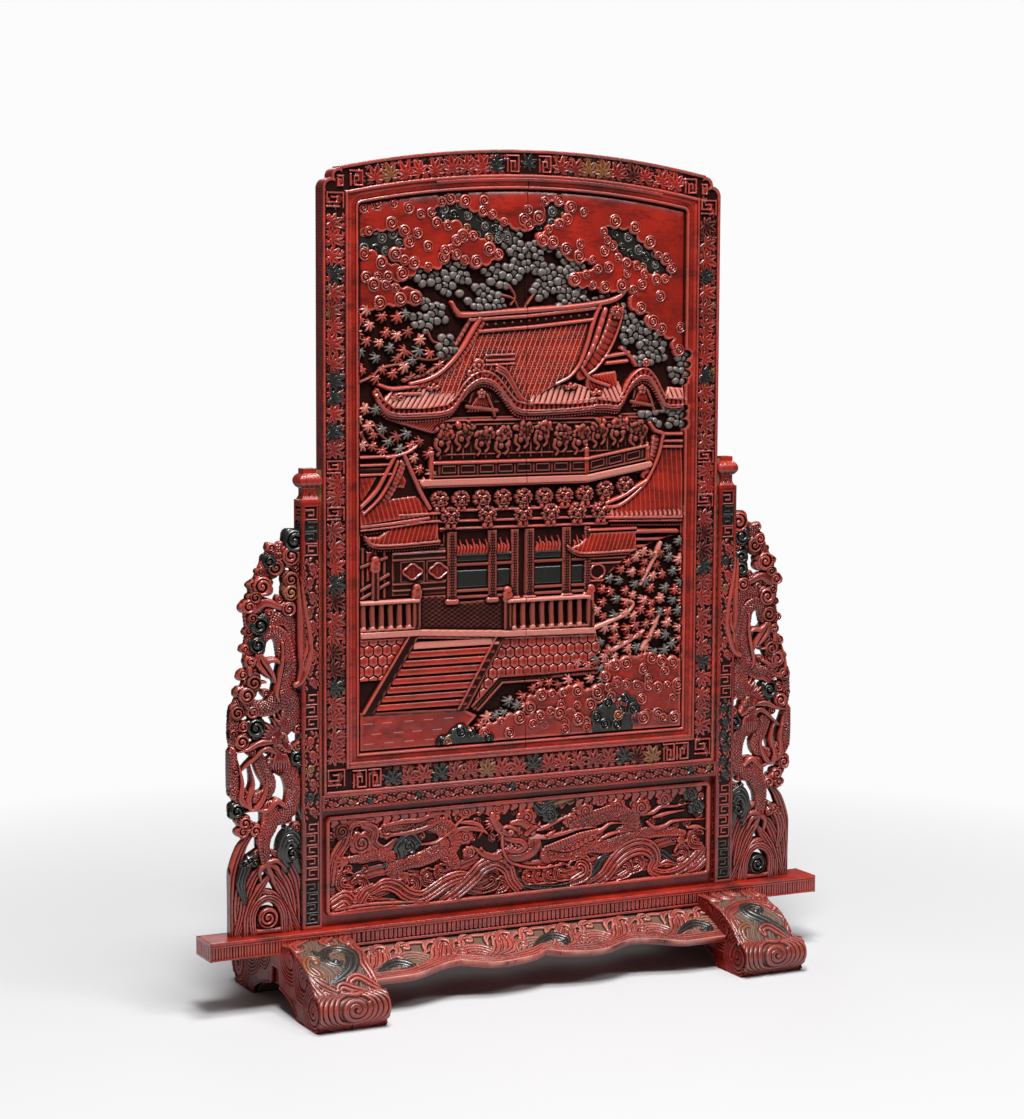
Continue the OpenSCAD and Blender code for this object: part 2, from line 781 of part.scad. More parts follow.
module board_half() {
  intersection() {
    union() {
      upright(carve_y, back_y) sight_outline(joint_gap);
      upright(tongue_front, back_y) sight_outline(-tongue_l);
      upright(board_y, back_y) difference() {
        sight_outline(joint_gap);
        sight_outline(moulding_w);
      }
      picture_relief();
    }
    children();
  }
}

module board(s) {
  difference() {
    board_half()
      box([s < 0 ? -screen_x : crack_w / 2, -frame_t, 0], [s < 0 ? -crack_w / 2 : screen_x, frame_t, total_h]);
    spline(joint_gap);
    bead_seat(bead_w);
  }
}

module spline(gap) {
  intersection() {
    box([-6 - gap, back_y - 3 - gap, sight_z + 1 - gap], [6 + gap, back_y - 1 + gap, total_h - member_w - 2 + gap]);
    upright(-frame_t, frame_t) sight_outline(0);
  }
}

module left_board() { color(red) board(-1); }
module right_board() { color(red) board(1); }
module board_spline() { color(wood) spline(0); }

module back_panel() {
  color(dark_red) upright(back_y, frame_t / 2 - 0.5) sight_outline(-tongue_l);
}

// Beads: thin rounded strips in the corner between frame and boards
bead_d = 2.5;

module bead_ring() {
  upright(board_y - 1.2, board_y + bead_d - 1.2) difference() {
    sight_outline(0);
    sight_outline(bead_w);
  }
}

module bead_seat(w) {
  upright(face_y - 1, board_y + bead_d - 1.2) difference() {
    sight_outline(0);
    sight_outline(w);
  }
}

bead_corner = 40;
bead_top_z = sight_end - 42;
lost_x = -0.52 * sight_x;

module bead_part(a, b) {
  intersection() {
    bead_ring();
    box(a, b);
  }
}

module left_bead() {
  color(red) bead_part([-screen_x, -frame_t, sight_z + bead_w], [-sight_x + bead_corner, frame_t, bead_top_z]);
}

module right_bead() {
  color(red) bead_part([sight_x - bead_corner, -frame_t, sight_z + bead_w], [screen_x, frame_t, total_h]);
}

module top_bead() {
  color(red) bead_part([lost_x, -frame_t, split_z], [sight_x - bead_corner, frame_t, total_h]);
}

module bottom_bead() {
  color(red) bead_part([-sight_x, -frame_t, 0], [sight_x, frame_t, sight_z + bead_w]);
}

left_foot();
right_foot();
base_bar();
front_apron();
rear_apron();
left_post();
right_post();
left_post_cap();
right_post_cap();
middle_rail();
dragon_panel();
left_spandrel();
right_spandrel();
spandrel_dowels();
tenon_pins();
left_stile();
right_stile();
top_rail();
bottom_rail();
left_board();
right_board();
board_spline();
back_panel();
left_bead();
right_bead();
top_bead();
bottom_bead();
left_guide();
right_guide();
frame_pins();
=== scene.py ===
import math
import bpy
import numpy as np
from mathutils import Matrix, Vector


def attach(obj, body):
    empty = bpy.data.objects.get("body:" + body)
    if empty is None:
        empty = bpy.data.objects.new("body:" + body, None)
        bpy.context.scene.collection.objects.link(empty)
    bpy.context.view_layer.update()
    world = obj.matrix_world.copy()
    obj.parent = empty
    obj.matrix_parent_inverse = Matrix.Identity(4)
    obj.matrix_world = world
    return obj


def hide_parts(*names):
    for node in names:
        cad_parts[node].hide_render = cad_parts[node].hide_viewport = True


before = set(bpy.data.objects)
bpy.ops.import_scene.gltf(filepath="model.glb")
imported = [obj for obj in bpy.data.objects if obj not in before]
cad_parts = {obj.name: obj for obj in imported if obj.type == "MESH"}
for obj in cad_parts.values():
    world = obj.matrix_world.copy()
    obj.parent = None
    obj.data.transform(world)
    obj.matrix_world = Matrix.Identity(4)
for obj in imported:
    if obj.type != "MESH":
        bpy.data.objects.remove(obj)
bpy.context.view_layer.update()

# Lengths below are in millimetres, on the CAD frame: X to the right, the front faces -Y, Z up from the floor
mm = 0.001
steep = 5.0
# Tints of the lacquer layers; the pale one is both a pale lacquer and a painted highlight on tile ribs and
# ledges
red, green, ochre, paleAndHighlight, brown, pine = range(6)
sides = ((-1, "left"), (1, "right"))
sharpAngle = math.radians(62)


# Sheets of carving: heights painted over u (across) and v (up)
class Relief:
    def __init__(self, us, vs, ground=0.0, tint=red):
        self.u = np.asarray(us, float)
        self.v = np.asarray(vs, float)
        self.h = np.full((len(self.v), len(self.u)), float(ground))
        self.tint = np.full(self.h.shape, tint, np.int8)
        self.keep = self.cavity = None

    # The same painting over a smaller window, for a piece or a tile of it
    def part(self, uLow, uHigh, vLow, vHigh):
        i0, i1 = np.searchsorted(self.u, (uLow - 1e-6, uHigh + 1e-6))
        j0, j1 = np.searchsorted(self.v, (vLow - 1e-6, vHigh + 1e-6))
        cut = Relief(self.u[i0:i1], self.v[j0:j1])
        cut.h, cut.tint = self.h[j0:j1, i0:i1].copy(), self.tint[j0:j1, i0:i1].copy()
        if self.cavity is not None:
            cut.cavity = self.cavity[j0:j1, i0:i1].copy()
        return cut

    def window(self, uLow, uHigh, vLow, vHigh):
        i0, i1 = np.searchsorted(self.u, (uLow, uHigh))
        j0, j1 = np.searchsorted(self.v, (vLow, vHigh))
        return (slice(j0, j1), slice(i0, i1)), self.u[i0:i1][None, :], self.v[j0:j1][:, None]

    # The window round some points, with a margin
    def around(self, points, margin):
        low, high = points.min(0) - margin, points.max(0) + margin
        return self.window(low[0], high[0], low[1], high[1])

    def everywhere(self):
        return (slice(None), slice(None)), self.u[None, :], self.v[:, None]

    def put(self, at, values, won, tint):
        if self.keep is not None:
            won = won & self.keep[at]
        self.h[at][won] = values[won]
        if tint is not None:
            self.tint[at][won] = tint

    def raiseTo(self, at, top, tint=None):
        self.put(at, top, top > self.h[at], tint)

    def lowerTo(self, at, low, tint=None):
        self.put(at, low, low < self.h[at], tint)

    # Flat or shaped top over a field f that is positive inside
    def field(self, at, f, top, bevel=0.7, rim=0.0, rimW=1.4, tint=red):
        drop = np.clip(1 - f / bevel, 0, 1)
        shape = top - 0.6 * bevel * (1 - np.sqrt(np.clip(1 - drop * drop, 0, 1))) - steep * np.clip(-f, 0,
                None)
        if rim:
            shape = shape + rim * np.clip(1 - np.abs(f - rimW * 0.6) / (rimW * 0.6), 0, 1) ** 0.7
        self.raiseTo(at, shape, tint)

    def slab(self, points, top, bevel=0.7, tint=red):
        p = np.asarray(points, float)
        at, us, vs = self.around(p, 2)
        self.field(at, -polygonDistance(us, vs, p), top(us, vs) if callable(top) else top, bevel, 0.0, 1.4,
                tint)

    def pit(self, points, floor, tint=None, wall=4.0):
        p = np.asarray(points, float)
        at, us, vs = self.around(p, 2)
        self.lowerTo(at, floor + wall * np.clip(polygonDistance(us, vs, p), 0, None), tint)

    def dome(self, u, v, r, base, rise, tint=red, stretch=1.0, turn=0.0, flat=2.0, over=False):
        reach = r * max(stretch, 1) + 1.5
        at, us, vs = self.window(u - reach, u + reach, v - reach, v + reach)
        c, s = math.cos(turn), math.sin(turn)
        a, b = (us - u) * c + (vs - v) * s, (vs - v) * c - (us - u) * s
        d = np.sqrt((a / stretch) ** 2 + b ** 2) / r
        top = base + rise * np.clip(1 - d ** flat, 0, 1) ** 0.5 - steep * r * np.clip(d - 1, 0, None)
        if over:
            self.h[at][d < 1] = top[d < 1]
            self.tint[at][d < 1] = tint
        else:
            self.raiseTo(at, top, tint)

    # A swept strip: half widths along a path, rounded or flat on top, with an extra pattern along it
    def ribbon(self, path, width, base, rise, tint=red, extra=None, flat=False, ends=0.5, over=False):
        p = np.asarray(path, float)
        p = p[np.concatenate([[True], np.hypot(*np.diff(p, axis=0).T) > 1e-6])]
        w = spread(width, len(p))
        b = spread(base, len(p))
        wMax = max(w.max(), 0.1)
        at, us, vs = self.around(p, wMax + 1.2)
        if not (us.size and vs.size):
            return
        # Nearest place of the path for each point: distance, length run, offset, half width, base
        near = np.full((5, vs.size, us.size), 99.0)
        run = 0.0
        for i in range(len(p) - 1):
            d = p[i + 1] - p[i]
            length = math.hypot(*d)
            reach = max(w[i], w[i + 1]) + 1.2
            low, high = np.minimum(p[i], p[i + 1]) - reach, np.maximum(p[i], p[i + 1]) + reach
            i0, i1 = np.searchsorted(us[0], (low[0], high[0]))
            j0, j1 = np.searchsorted(vs[:, 0], (low[1], high[1]))
            du, dv = us[:, i0:i1] - p[i][0], vs[j0:j1] - p[i][1]
            t = np.clip((du * d[0] + dv * d[1]) / length ** 2, 0, 1)
            dist = np.hypot(du - t * d[0], dv - t * d[1])
            part = near[:, j0:j1, i0:i1]
            won = dist < part[0]
            fresh = (dist, run + t * length, (dv * d[0] - du * d[1]) / length, w[i] + (w[i + 1] - w[i]) * t,
                     b[i] + (b[i + 1] - b[i]) * t)
            for k in range(5):
                part[k][won] = fresh[k][won]
            run += length
        dist, along, off, half, low = near
        half = np.maximum(half, 0.05)
        e = np.clip(dist / half, 0, 1)
        body = np.clip((half - dist) / 0.5, 0, 1) if flat else np.sqrt(1 - e ** (3.5 if over else 2))
        top = low + rise * body * (half / wMax) ** ends
        if extra is not None:
            top = top + extra(along, off, np.clip(off / half, -1, 1))
        if over:
            self.put(at, top, dist < half, tint)
        else:
            self.raiseTo(at, np.where(dist > 90, -99, top - steep * np.clip(dist - half, 0, None)), tint)

    # A strip along a smooth curve through some points
    def bend(self, points, *rest, **more):
        self.ribbon(through(points), *rest, **more)

    # A disc with a raised spiral line and grooves cut beside it
    def spiral(self, u, v, r, base, rise, turns=2.0, turn=0.0, hand=1, tint=red, cut=0.9):
        at, us, vs = self.window(u - r - 2.5, u + r + 2.5, v - r - 2.5, v + r + 2.5)
        x, y = us - u, vs - v
        rho = np.hypot(x, y)
        angle = (hand * np.arctan2(y, x) - turn) / (2 * math.pi)
        pitch = r / (turns + 0.3)
        phase = (rho / pitch - angle) % 1
        line = np.sqrt(np.clip(1 - ((phase - 0.5) / 0.37) ** 2, 0, 1))
        line = np.where(rho > r - 0.42 * pitch, np.sqrt(np.clip(1 - ((r - rho) / pitch - 0.42) ** 2 / 0.18, 0,
                1)), line)
        top = base - cut + (rise + cut) * np.maximum(line, np.clip(1.2 - rho / (0.42 * pitch), 0, 1) ** 0.5)
        top = np.where(rho < r, top, base - cut - steep * (rho - r))
        old = self.h[at]
        self.put(at, top, ((rho < r) & (old < base + rise + 0.3)) | (top > old), tint)

    # A maple leaf: pointed lobes, each folded along its vein
    def leaf(self, u, v, size, turn, base, rise, tint=red, lobes=7, fat=0.17, fold=0.5, spread=2.2):
        reach = size * 1.1 + 1
        at, us, vs = self.window(u - reach, u + reach, v - reach, v + reach)
        if not (us.size and vs.size):
            return
        x, y = us - u, vs - v
        best = np.full(np.broadcast(x, y).shape, -99.0)
        mid = (lobes - 1) / 2
        for k in range(lobes):
            share = (k - mid) / mid
            a = turn + share * spread
            length = size * (1 - 0.38 * abs(share) ** 1.3)
            p = x * math.sin(a) + y * math.cos(a)
            q = np.abs(x * math.cos(a) - y * math.sin(a))
            t = np.clip(p / length, 0.001, 1)
            w = fat * length * 1.6 * np.sqrt(t) * (1 - t) ** 0.75 + 0.05
            out = np.where(p < 0, np.hypot(p, q) - 0.2, np.where(p > length, np.hypot(p - length, q), q - w))
            e = np.clip(q / w, 0, 1)
            body = (1 - fold) + fold * e if fold >= 0 else 1 + fold * e
            edge = np.clip(-out / 0.35, 0, 1)
            best = np.maximum(best, base + rise * body * (0.35 + 0.65 * edge) * (1 - 0.25 * t)
                              - steep * np.clip(out, 0, None))
        self.raiseTo(at, best, tint)

    # Straight fillets with square corners, such as a key fret
    def fret(self, path, width, top, tint=red):
        for a, b in zip(path[:-1], path[1:]):
            u0, u1 = sorted((a[0], b[0]))
            v0, v1 = sorted((a[1], b[1]))
            at, us, vs = self.window(u0 - width - 1, u1 + width + 1, v0 - width - 1, v1 + width + 1)
            f = np.minimum(width / 2 + (u1 - u0) / 2 - np.abs(us - (u0 + u1) / 2),
                           width / 2 + (v1 - v0) / 2 - np.abs(vs - (v0 + v1) / 2))
            self.field(at, f, top, 0.4, tint=tint)

    def groove(self, path, width, depth, tint):
        p = np.asarray(path, float)
        for a, b in zip(p[:-1], p[1:]):
            d = b - a
            at, us, vs = self.around(np.stack([a, b]), width)
            du, dv = us - a[0], vs - a[1]
            t = np.clip((du * d[0] + dv * d[1]) / math.hypot(*d) ** 2, 0, 1)
            dist = np.hypot(du - t * d[0], dv - t * d[1])
            cut = depth * np.clip(1 - dist / width, 0, 1) ** 0.6
            old = self.h[at]
            fresh = self.cutBase[at] - cut
            won = (cut > 0) & (fresh < old)
            old[won] = fresh[won]
            self.tint[at][won & (dist < width * 0.8)] = tint

    def startCuts(self):
        self.cutBase = self.h.copy()

    def grain(self, seed, size):
        noise = np.random.default_rng(seed).normal(0, 1, self.h.shape)
        self.h += size * blurred(noise, 1)


# Values shared out evenly over a number of places
def spread(values, places):
    given = np.linspace(0, 1, np.size(values))
    return np.interp(np.linspace(0, 1, places), given, np.atleast_1d(values))


# Unit normals to the left of a path
def normals(path):
    d = np.gradient(path, axis=0)
    d /= np.hypot(d[:, 0], d[:, 1])[:, None]
    return np.stack([-d[:, 1], d[:, 0]], 1)


def box(u0, v0, u1, v1):
    return [(u0, v0), (u1, v0), (u1, v1), (u0, v1)]


def finely(step):
    return step * 1


# A piece whose carved face looks to the front
def facing(frontY):
    return lambda us, vs, h: (us, frontY - h, vs)


def polygonDistance(us, vs, p):
    shape = np.broadcast(us, vs).shape
    best = np.full(shape, 1e9)
    inside = np.zeros(shape, bool)
    for a, b in zip(p, np.roll(p, -1, axis=0)):
        d = b - a
        l2 = d @ d
        if l2 < 1e-12:
            continue
        du, dv = us - a[0], vs - a[1]
        t = np.clip((du * d[0] + dv * d[1]) / l2, 0, 1)
        best = np.minimum(best, (du - t * d[0]) ** 2 + (dv - t * d[1]) ** 2)
        if a[1] != b[1]:
            inside ^= ((a[1] > vs) != (b[1] > vs)) & (us < (b[0] - a[0]) * (vs - a[1]) / (b[1] - a[1]) + a[0])
    best = np.sqrt(best)
    return np.where(inside, -best, best)


def blurred(a, radius):
    for axis in (0, 1):
        for _ in range(3):
            pad = [(radius + 1, radius) if k == axis else (0, 0) for k in (0, 1)]
            c = np.cumsum(np.pad(a, pad, mode="edge"), axis=axis)
            n = a.shape[axis]
            take = lambda k: c[k:k + n] if axis == 0 else c[:, k:k + n]
            a = (take(2 * radius + 1) - take(0)) / (2 * radius + 1)
    return a


# Paths
def bezier(p, q, r, s, n=12):
    t = np.linspace(0, 1, n)[:, None]
    p, q, r, s = (np.asarray(k, float) for k in (p, q, r, s))
    return (1 - t) ** 3 * p + 3 * (1 - t) ** 2 * t * q + 3 * (1 - t) * t * t * r + t ** 3 * s


def through(points, n=8):
    p = np.asarray(points, float)
    p = np.vstack([2 * p[0] - p[1], p, 2 * p[-1] - p[-2]])
    t = np.linspace(0, 1, n, endpoint=False)[:, None]
    out = [0.5 * (2 * b + (c - a) * t + (2 * a - 5 * b + 4 * c - d) * t ** 2 + (3 * b - a - 3 * c + d)
            * t ** 3) for a, b, c, d in zip(p[:-3], p[1:-2], p[2:-1], p[3:])]
    return np.vstack(out + [p[-2][None, :]])


def coil(u, v, r, turns, start, hand=1, inner=0.12, n=16):
    t = np.linspace(0, 1, max(int(n * turns), 6))
    a = start + hand * 2 * math.pi * turns * t
    rr = r * (1 - (1 - inner) * t ** 0.85)
    return np.stack([u + rr * np.cos(a), v + rr * np.sin(a)], 1)


def steps(low, high, step):
    return np.linspace(low, high, max(int(round((high - low) / step)), 1) + 1)


# Patterns along a ribbon, over run s, offset and share of the half width
def reeds(n, rise):
    return lambda s, off, q: rise * (np.abs(np.sin(math.pi * n * (q + 1) / 2)) ** 0.7 - 1)


def ticks(pitch, rise):
    return lambda s, off, q: rise * (np.abs(np.sin(math.pi * s / pitch)) ** 0.6 - 1)


def scales(pitch, rise):
    def pattern(s, off, q):
        row = np.floor(off / (0.5 * pitch))
        a = (s / pitch + 0.5 * (row % 2)) % 1
        b = (off / (0.5 * pitch)) % 1 - 0.5
        return rise * (np.clip(1 - (a - 0.35) ** 2 * 3.2 - (b * 1.7) ** 2, 0, 1) ** 0.5 - 1)
    return pattern


# Meshes
def makeMesh(name, xyz, quads, uv=None, finish=None, cavity=None, extraPolys=()):
    mesh = bpy.data.meshes.new(name)
    nq = len(quads)
    flat = np.asarray(quads, np.int32).ravel()
    starts = list(np.arange(nq) * 4)
    totals = [4] * nq
    loops = [flat]
    at = nq * 4
    for poly in extraPolys:
        loops.append(np.asarray(poly, np.int32))
        starts.append(at)
        totals.append(len(poly))
        at += len(poly)
    loops = np.concatenate(loops)
    mesh.vertices.add(len(xyz))
    mesh.vertices.foreach_set("co", (np.asarray(xyz, np.float32) * mm).ravel())
    mesh.loops.add(len(loops))
    mesh.loops.foreach_set("vertex_index", loops)
    mesh.polygons.add(len(starts))
    mesh.polygons.foreach_set("loop_start", np.asarray(starts, np.int32))
    mesh.polygons.foreach_set("loop_total", np.asarray(totals, np.int32))
    mesh.update(calc_edges=True)
    mesh.polygons.foreach_set("use_smooth", np.ones(len(starts), bool))
    if finish is not None:
        layer = mesh.attributes.new("finish", "FLOAT_COLOR", "POINT")
        layer.data.foreach_set("color", np.asarray(finish, np.float32).ravel())
    if cavity is not None:
        layer = mesh.attributes.new("cavity", "FLOAT", "POINT")
        layer.data.foreach_set("value", np.asarray(cavity, np.float32).ravel())
    if uv is not None:
        layer = mesh.uv_layers.new(name="OFBake")
        layer.data.foreach_set("uv", np.asarray(uv, np.float32)[loops].ravel())
    mesh.update()
    return mesh


def addPiece(name, mesh, material, body, slot, *nodes):
    obj = bpy.data.objects.new(name, mesh)
    bpy.context.scene.collection.objects.link(obj)
    mesh.materials.append(material)
    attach(obj, body)
    if nodes:
        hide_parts(*nodes)
    return obj


# How far each place stands out or sinks in: below 0 in the hollows, above 0 on the edges. It drives rubbed
# wear and a painted highlight on the edges, dust and painted shade in the hollows
def cavityOf(h, step, depth):
    fine = h - blurred(h, max(int(round(0.9 / step)), 1))
    wide = h - blurred(h, max(int(round(3.0 / step)), 1))
    return np.clip(fine / 0.5 + 0.45 * wide / depth, -1.5, 1.5)


def finishOf(tint):
    out = np.zeros(tint.shape + (4,), np.float32)
    for k, tintId in enumerate((green, ochre, brown)):
        out[..., k][tint == tintId] = 1
    out[..., 0][tint == pine] = 0.5
    out[..., 2][tint == pine] = 0.5
    out[..., 3][tint == paleAndHighlight] = 1
    return out


# A plate: the relief in front, cut where the field is 0, its walls, and a back that may be carved too
def plate(name, relief, place, material, body, slot, nodes=(), field=None, back=None, depth=3.0,
          wallRows=(0.0, 1.0), wallShape=None, closeBack=True):
    us, vs = np.meshgrid(relief.u, relief.v)
    h = relief.h.copy()
    step = float(np.median(np.diff(relief.u)))
    cavity = cavityOf(h, step, depth) if relief.cavity is None else relief.cavity.copy()
    finish = finishOf(relief.tint)
    hb = None if back is None else back.h.copy()
    if field is None:
        field = np.ones(h.shape)
    inside = field > 0
    weight = np.zeros(h.shape)
    moved = [np.zeros(h.shape) for _ in range(5)]
    values = [us, vs, h, hb if hb is not None else h, cavity]
    for dj in (-1, 0, 1):
        for di in (-1, 0, 1):
            if dj == di == 0:
                continue
            beside = lambda value: np.roll(value, (-dj, -di), (0, 1))
            ok = ~inside & beside(inside)
            for axis, side in ((0, dj), (1, di)):
                if side:
                    np.moveaxis(ok, axis, 0)[-1 if side == 1 else 0] = False
            t = np.zeros(h.shape)
            t[ok] = field[ok] / (field[ok] - beside(field)[ok])
            share = (1.0 if dj == 0 or di == 0 else 0.001) * ok
            weight += share
            for k, value in enumerate(values):
                moved[k] += share * t * (beside(value) - value)
    cells = inside[:-1, :-1] | inside[1:, :-1] | inside[:-1, 1:] | inside[1:, 1:]
    near = weight > 0
    for k, value in enumerate(values):
        if k == 3 and hb is None:
            continue
        value[near] += moved[k][near] / weight[near]
    ids = np.arange(h.size).reshape(h.shape)
    a, b, c, d = ids[:-1, :-1][cells], ids[:-1, 1:][cells], ids[1:, 1:][cells], ids[1:, :-1][cells]
    front = np.stack([a, b, c, d], 1)
    xyz = np.stack(place(us, vs, h), -1).reshape(-1, 3)
    # Edges with one face only
    edges = np.concatenate([front[:, [0, 1]], front[:, [1, 2]], front[:, [2, 3]], front[:, [3, 0]]])
    key = np.sort(edges, 1)
    key = key[:, 0].astype(np.int64) * h.size + key[:, 1]
    _, first, count = np.unique(key, return_index=True, return_counts=True)
    rim = edges[first[count == 1]]
    rimIds = np.unique(rim)
    slotOf = np.full(h.size, -1)
    used = np.unique(front)
    slotOf[used] = np.arange(len(used))
    points = [xyz[used]]
    uvs = [np.stack([us.ravel()[used], vs.ravel()[used]], 1)]
    fins = [finish.reshape(-1, 4)[used]]
    cavs = [cavity.ravel()[used]]
    total = len(used)
    quads = [slotOf[front]]
    ur, vr, hr = us.ravel()[rimIds], vs.ravel()[rimIds], h.ravel()[rimIds]
    backH = hb if hb is not None else np.minimum(h - 2.4, -depth)
    br = backH.ravel()[rimIds]
    rowSlot = np.full(h.size, -1)
    rowSlot[rimIds] = slotOf[rimIds]
    previous = rowSlot
    for k, share in enumerate(wallRows[1:]):
        level = hr + (br - hr) * share
        uu, vv = ur, vr
        if wallShape is not None and share < 1:
            uu, vv = wallShape(ur, vr, share)
        p = np.stack(place(uu, vv, level), -1)
        fresh = np.full(h.size, -1)
        fresh[rimIds] = total + np.arange(len(rimIds))
        total += len(rimIds)
        points.append(p)
        uvs.append(np.stack([ur, vr], 1))
        fins.append(finish.reshape(-1, 4)[rimIds])
        # Walls take a fixed, slightly hollow cavity value: a little dust and painted shade on them
        cavs.append(np.full(len(rimIds), -0.15))
        quads.append(np.stack([previous[rim[:, 1]], previous[rim[:, 0]], fresh[rim[:, 0]], fresh[rim[:, 1]]],
                1))
        previous = fresh
    extra = []
    if back is None and closeBack:
        after = {int(a): int(b) for a, b in rim}
        while after:
            start = next(iter(after))
            ring = [start]
            while True:
                spot = after.pop(ring[-1])
                if spot == start or spot not in after:
                    break
                ring.append(spot)
            extra.append(previous[np.array(ring[::-1])])
    if back is not None:
        other = np.full(h.size, -1)
        inner = np.setdiff1d(used, rimIds)
        other[inner] = total + np.arange(len(inner))
        other[rimIds] = previous[rimIds]
        total += len(inner)
        points.append(np.stack(place(us.ravel()[inner], vs.ravel()[inner], backH.ravel()[inner]), -1))
        uvs.append(np.stack([us.ravel()[inner], vs.ravel()[inner]], 1))
        fins.append(finishOf(back.tint).reshape(-1, 4)[inner])
        cavs.append(cavityOf(-back.h, step, depth).ravel()[inner])
        quads.append(other[front[:, ::-1]])
    uv = np.concatenate(uvs)
    uv = (uv - uv.min(0)) / (uv.max(0) - uv.min(0)).max()
    mesh = makeMesh(name, np.concatenate(points), np.concatenate(quads), uv, np.concatenate(fins),
            np.concatenate(cavs), extra)
    if len(wallRows) > 1:
        mesh.set_sharp_from_angle(angle=sharpAngle)
    return addPiece(name, mesh, material, body, slot, *nodes)


# A section carried round: the sheet goes round a rounded rectangle in u and along the piece in v
def rectSection(width, depth, r):
    lengths = [width - 2 * r, depth - 2 * r] * 2
    arc = math.pi * r / 2
    total = 2 * (width + depth - 4 * r) + 4 * arc
    faces = {}

    def at(u):
        u = np.asarray(u, float) % total
        x, y, nx, ny = (np.zeros(u.shape) for _ in range(4))
        start = 0.0
        heading = 0.0
        px, py = -width / 2 + r, -depth / 2
        for length in lengths:
            c, s = math.cos(heading), math.sin(heading)
            on = (u >= start) & (u < start + length)
            run = u - start
            x[on], y[on] = px + run[on] * c, py + run[on] * s
            nx[on], ny[on] = s, -c
            px, py = px + length * c, py + length * s
            start += length
            on = (u >= start) & (u <= start + arc + 1e-9)
            a = heading - math.pi / 2 + (u - start) / r
            cx, cy = px - r * s, py + r * c
            x[on], y[on] = cx + r * np.cos(a[on]), cy + r * np.sin(a[on])
            nx[on], ny[on] = np.cos(a[on]), np.sin(a[on])
            heading += math.pi / 2
            px, py = cx + r * math.cos(heading - math.pi / 2), cy + r * math.sin(heading - math.pi / 2)
            start += arc
        return x, y, nx, ny

    start = 0.0
    for face, length in zip(("front", "right", "back", "left"), lengths):
        faces[face] = (start, length)
        start += length + arc
    return at, total, faces


# A bar that lies along X: its section goes round in u, its length runs in v
def lying(at, middle):
    def place(us, vs, h):
        z, y, nz, ny = at(us)
        return -vs, y + ny * h, middle + z + nz * h
    return place


def tubeSheet(name, relief, place, material, body, slot, nodes=(), depth=3.0, capped=True):
    us, vs = np.meshgrid(relief.u, relief.v)
    step = float(np.median(np.diff(relief.u)))
    xyz = np.stack(place(us, vs, relief.h), -1).reshape(-1, 3)
    nv, nu = relief.h.shape
    ids = np.arange(nv * nu).reshape(nv, nu)
    right = np.roll(ids, -1, 1)
    quads = np.stack([ids[:-1], right[:-1], right[1:], ids[1:]], -1).reshape(-1, 4)
    uv = np.stack([us, vs], -1).reshape(-1, 2)
    uv = (uv - uv.min(0)) / (uv.max(0) - uv.min(0)).max()
    caps = [ids[0][::-1], ids[-1]] if capped else []
    mesh = makeMesh(name, xyz, quads, uv, finishOf(relief.tint).reshape(-1, 4),
            cavityOf(relief.h, step, depth), caps)
    mesh.set_sharp_from_angle(angle=sharpAngle)
    return addPiece(name, mesh, material, body, slot, *nodes)


# Motifs shared by several pieces
def scatter(outline, gap, seed, tries=4000):
    rng = np.random.default_rng(seed)
    p = np.asarray(outline, float)
    low, high = p.min(0), p.max(0)
    found = []
    spots = low + rng.random((tries, 2)) * (high - low)
    inside = polygonDistance(spots[:, 0], spots[:, 1], p) < 0
    for s in spots[inside]:
        if all((s[0] - f[0]) ** 2 + (s[1] - f[1]) ** 2 > gap * gap for f in found):
            found.append(s)
    return found, rng


def leaves(relief, outline, gap, size, base, rise, seed, mix, aim=math.pi, sway=0.9, **shape):
    spots, rng = scatter(outline, gap, seed)
    tints, odds = zip(*mix)
    for s in sorted(spots, key=lambda k: -k[1]):
        relief.leaf(s[0], s[1], size * rng.uniform(0.85, 1.15), aim + rng.uniform(-sway, sway),
                    base + rng.uniform(-0.7, 0.7), rise, tints[rng.choice(len(tints), p=odds)], **shape)


def berries(relief, outline, gap, size, base, rise, seed, tint=pine):
    spots, rng = scatter(outline, gap, seed)
    for s in sorted(spots, key=lambda k: -k[1]):
        low, turn = base + rng.uniform(-1.4, 1.4), rng.uniform(-0.7, 0.7)
        if math.sin(s[0] / 8.3 + seed) * math.sin(s[1] / 6.6 + 2 * seed) < 0.5:
            relief.dome(s[0], s[1], size * rng.uniform(0.85, 1.15), low, rise, tint, rng.uniform(1, 1.25),
                    turn, 3.2, over=True)


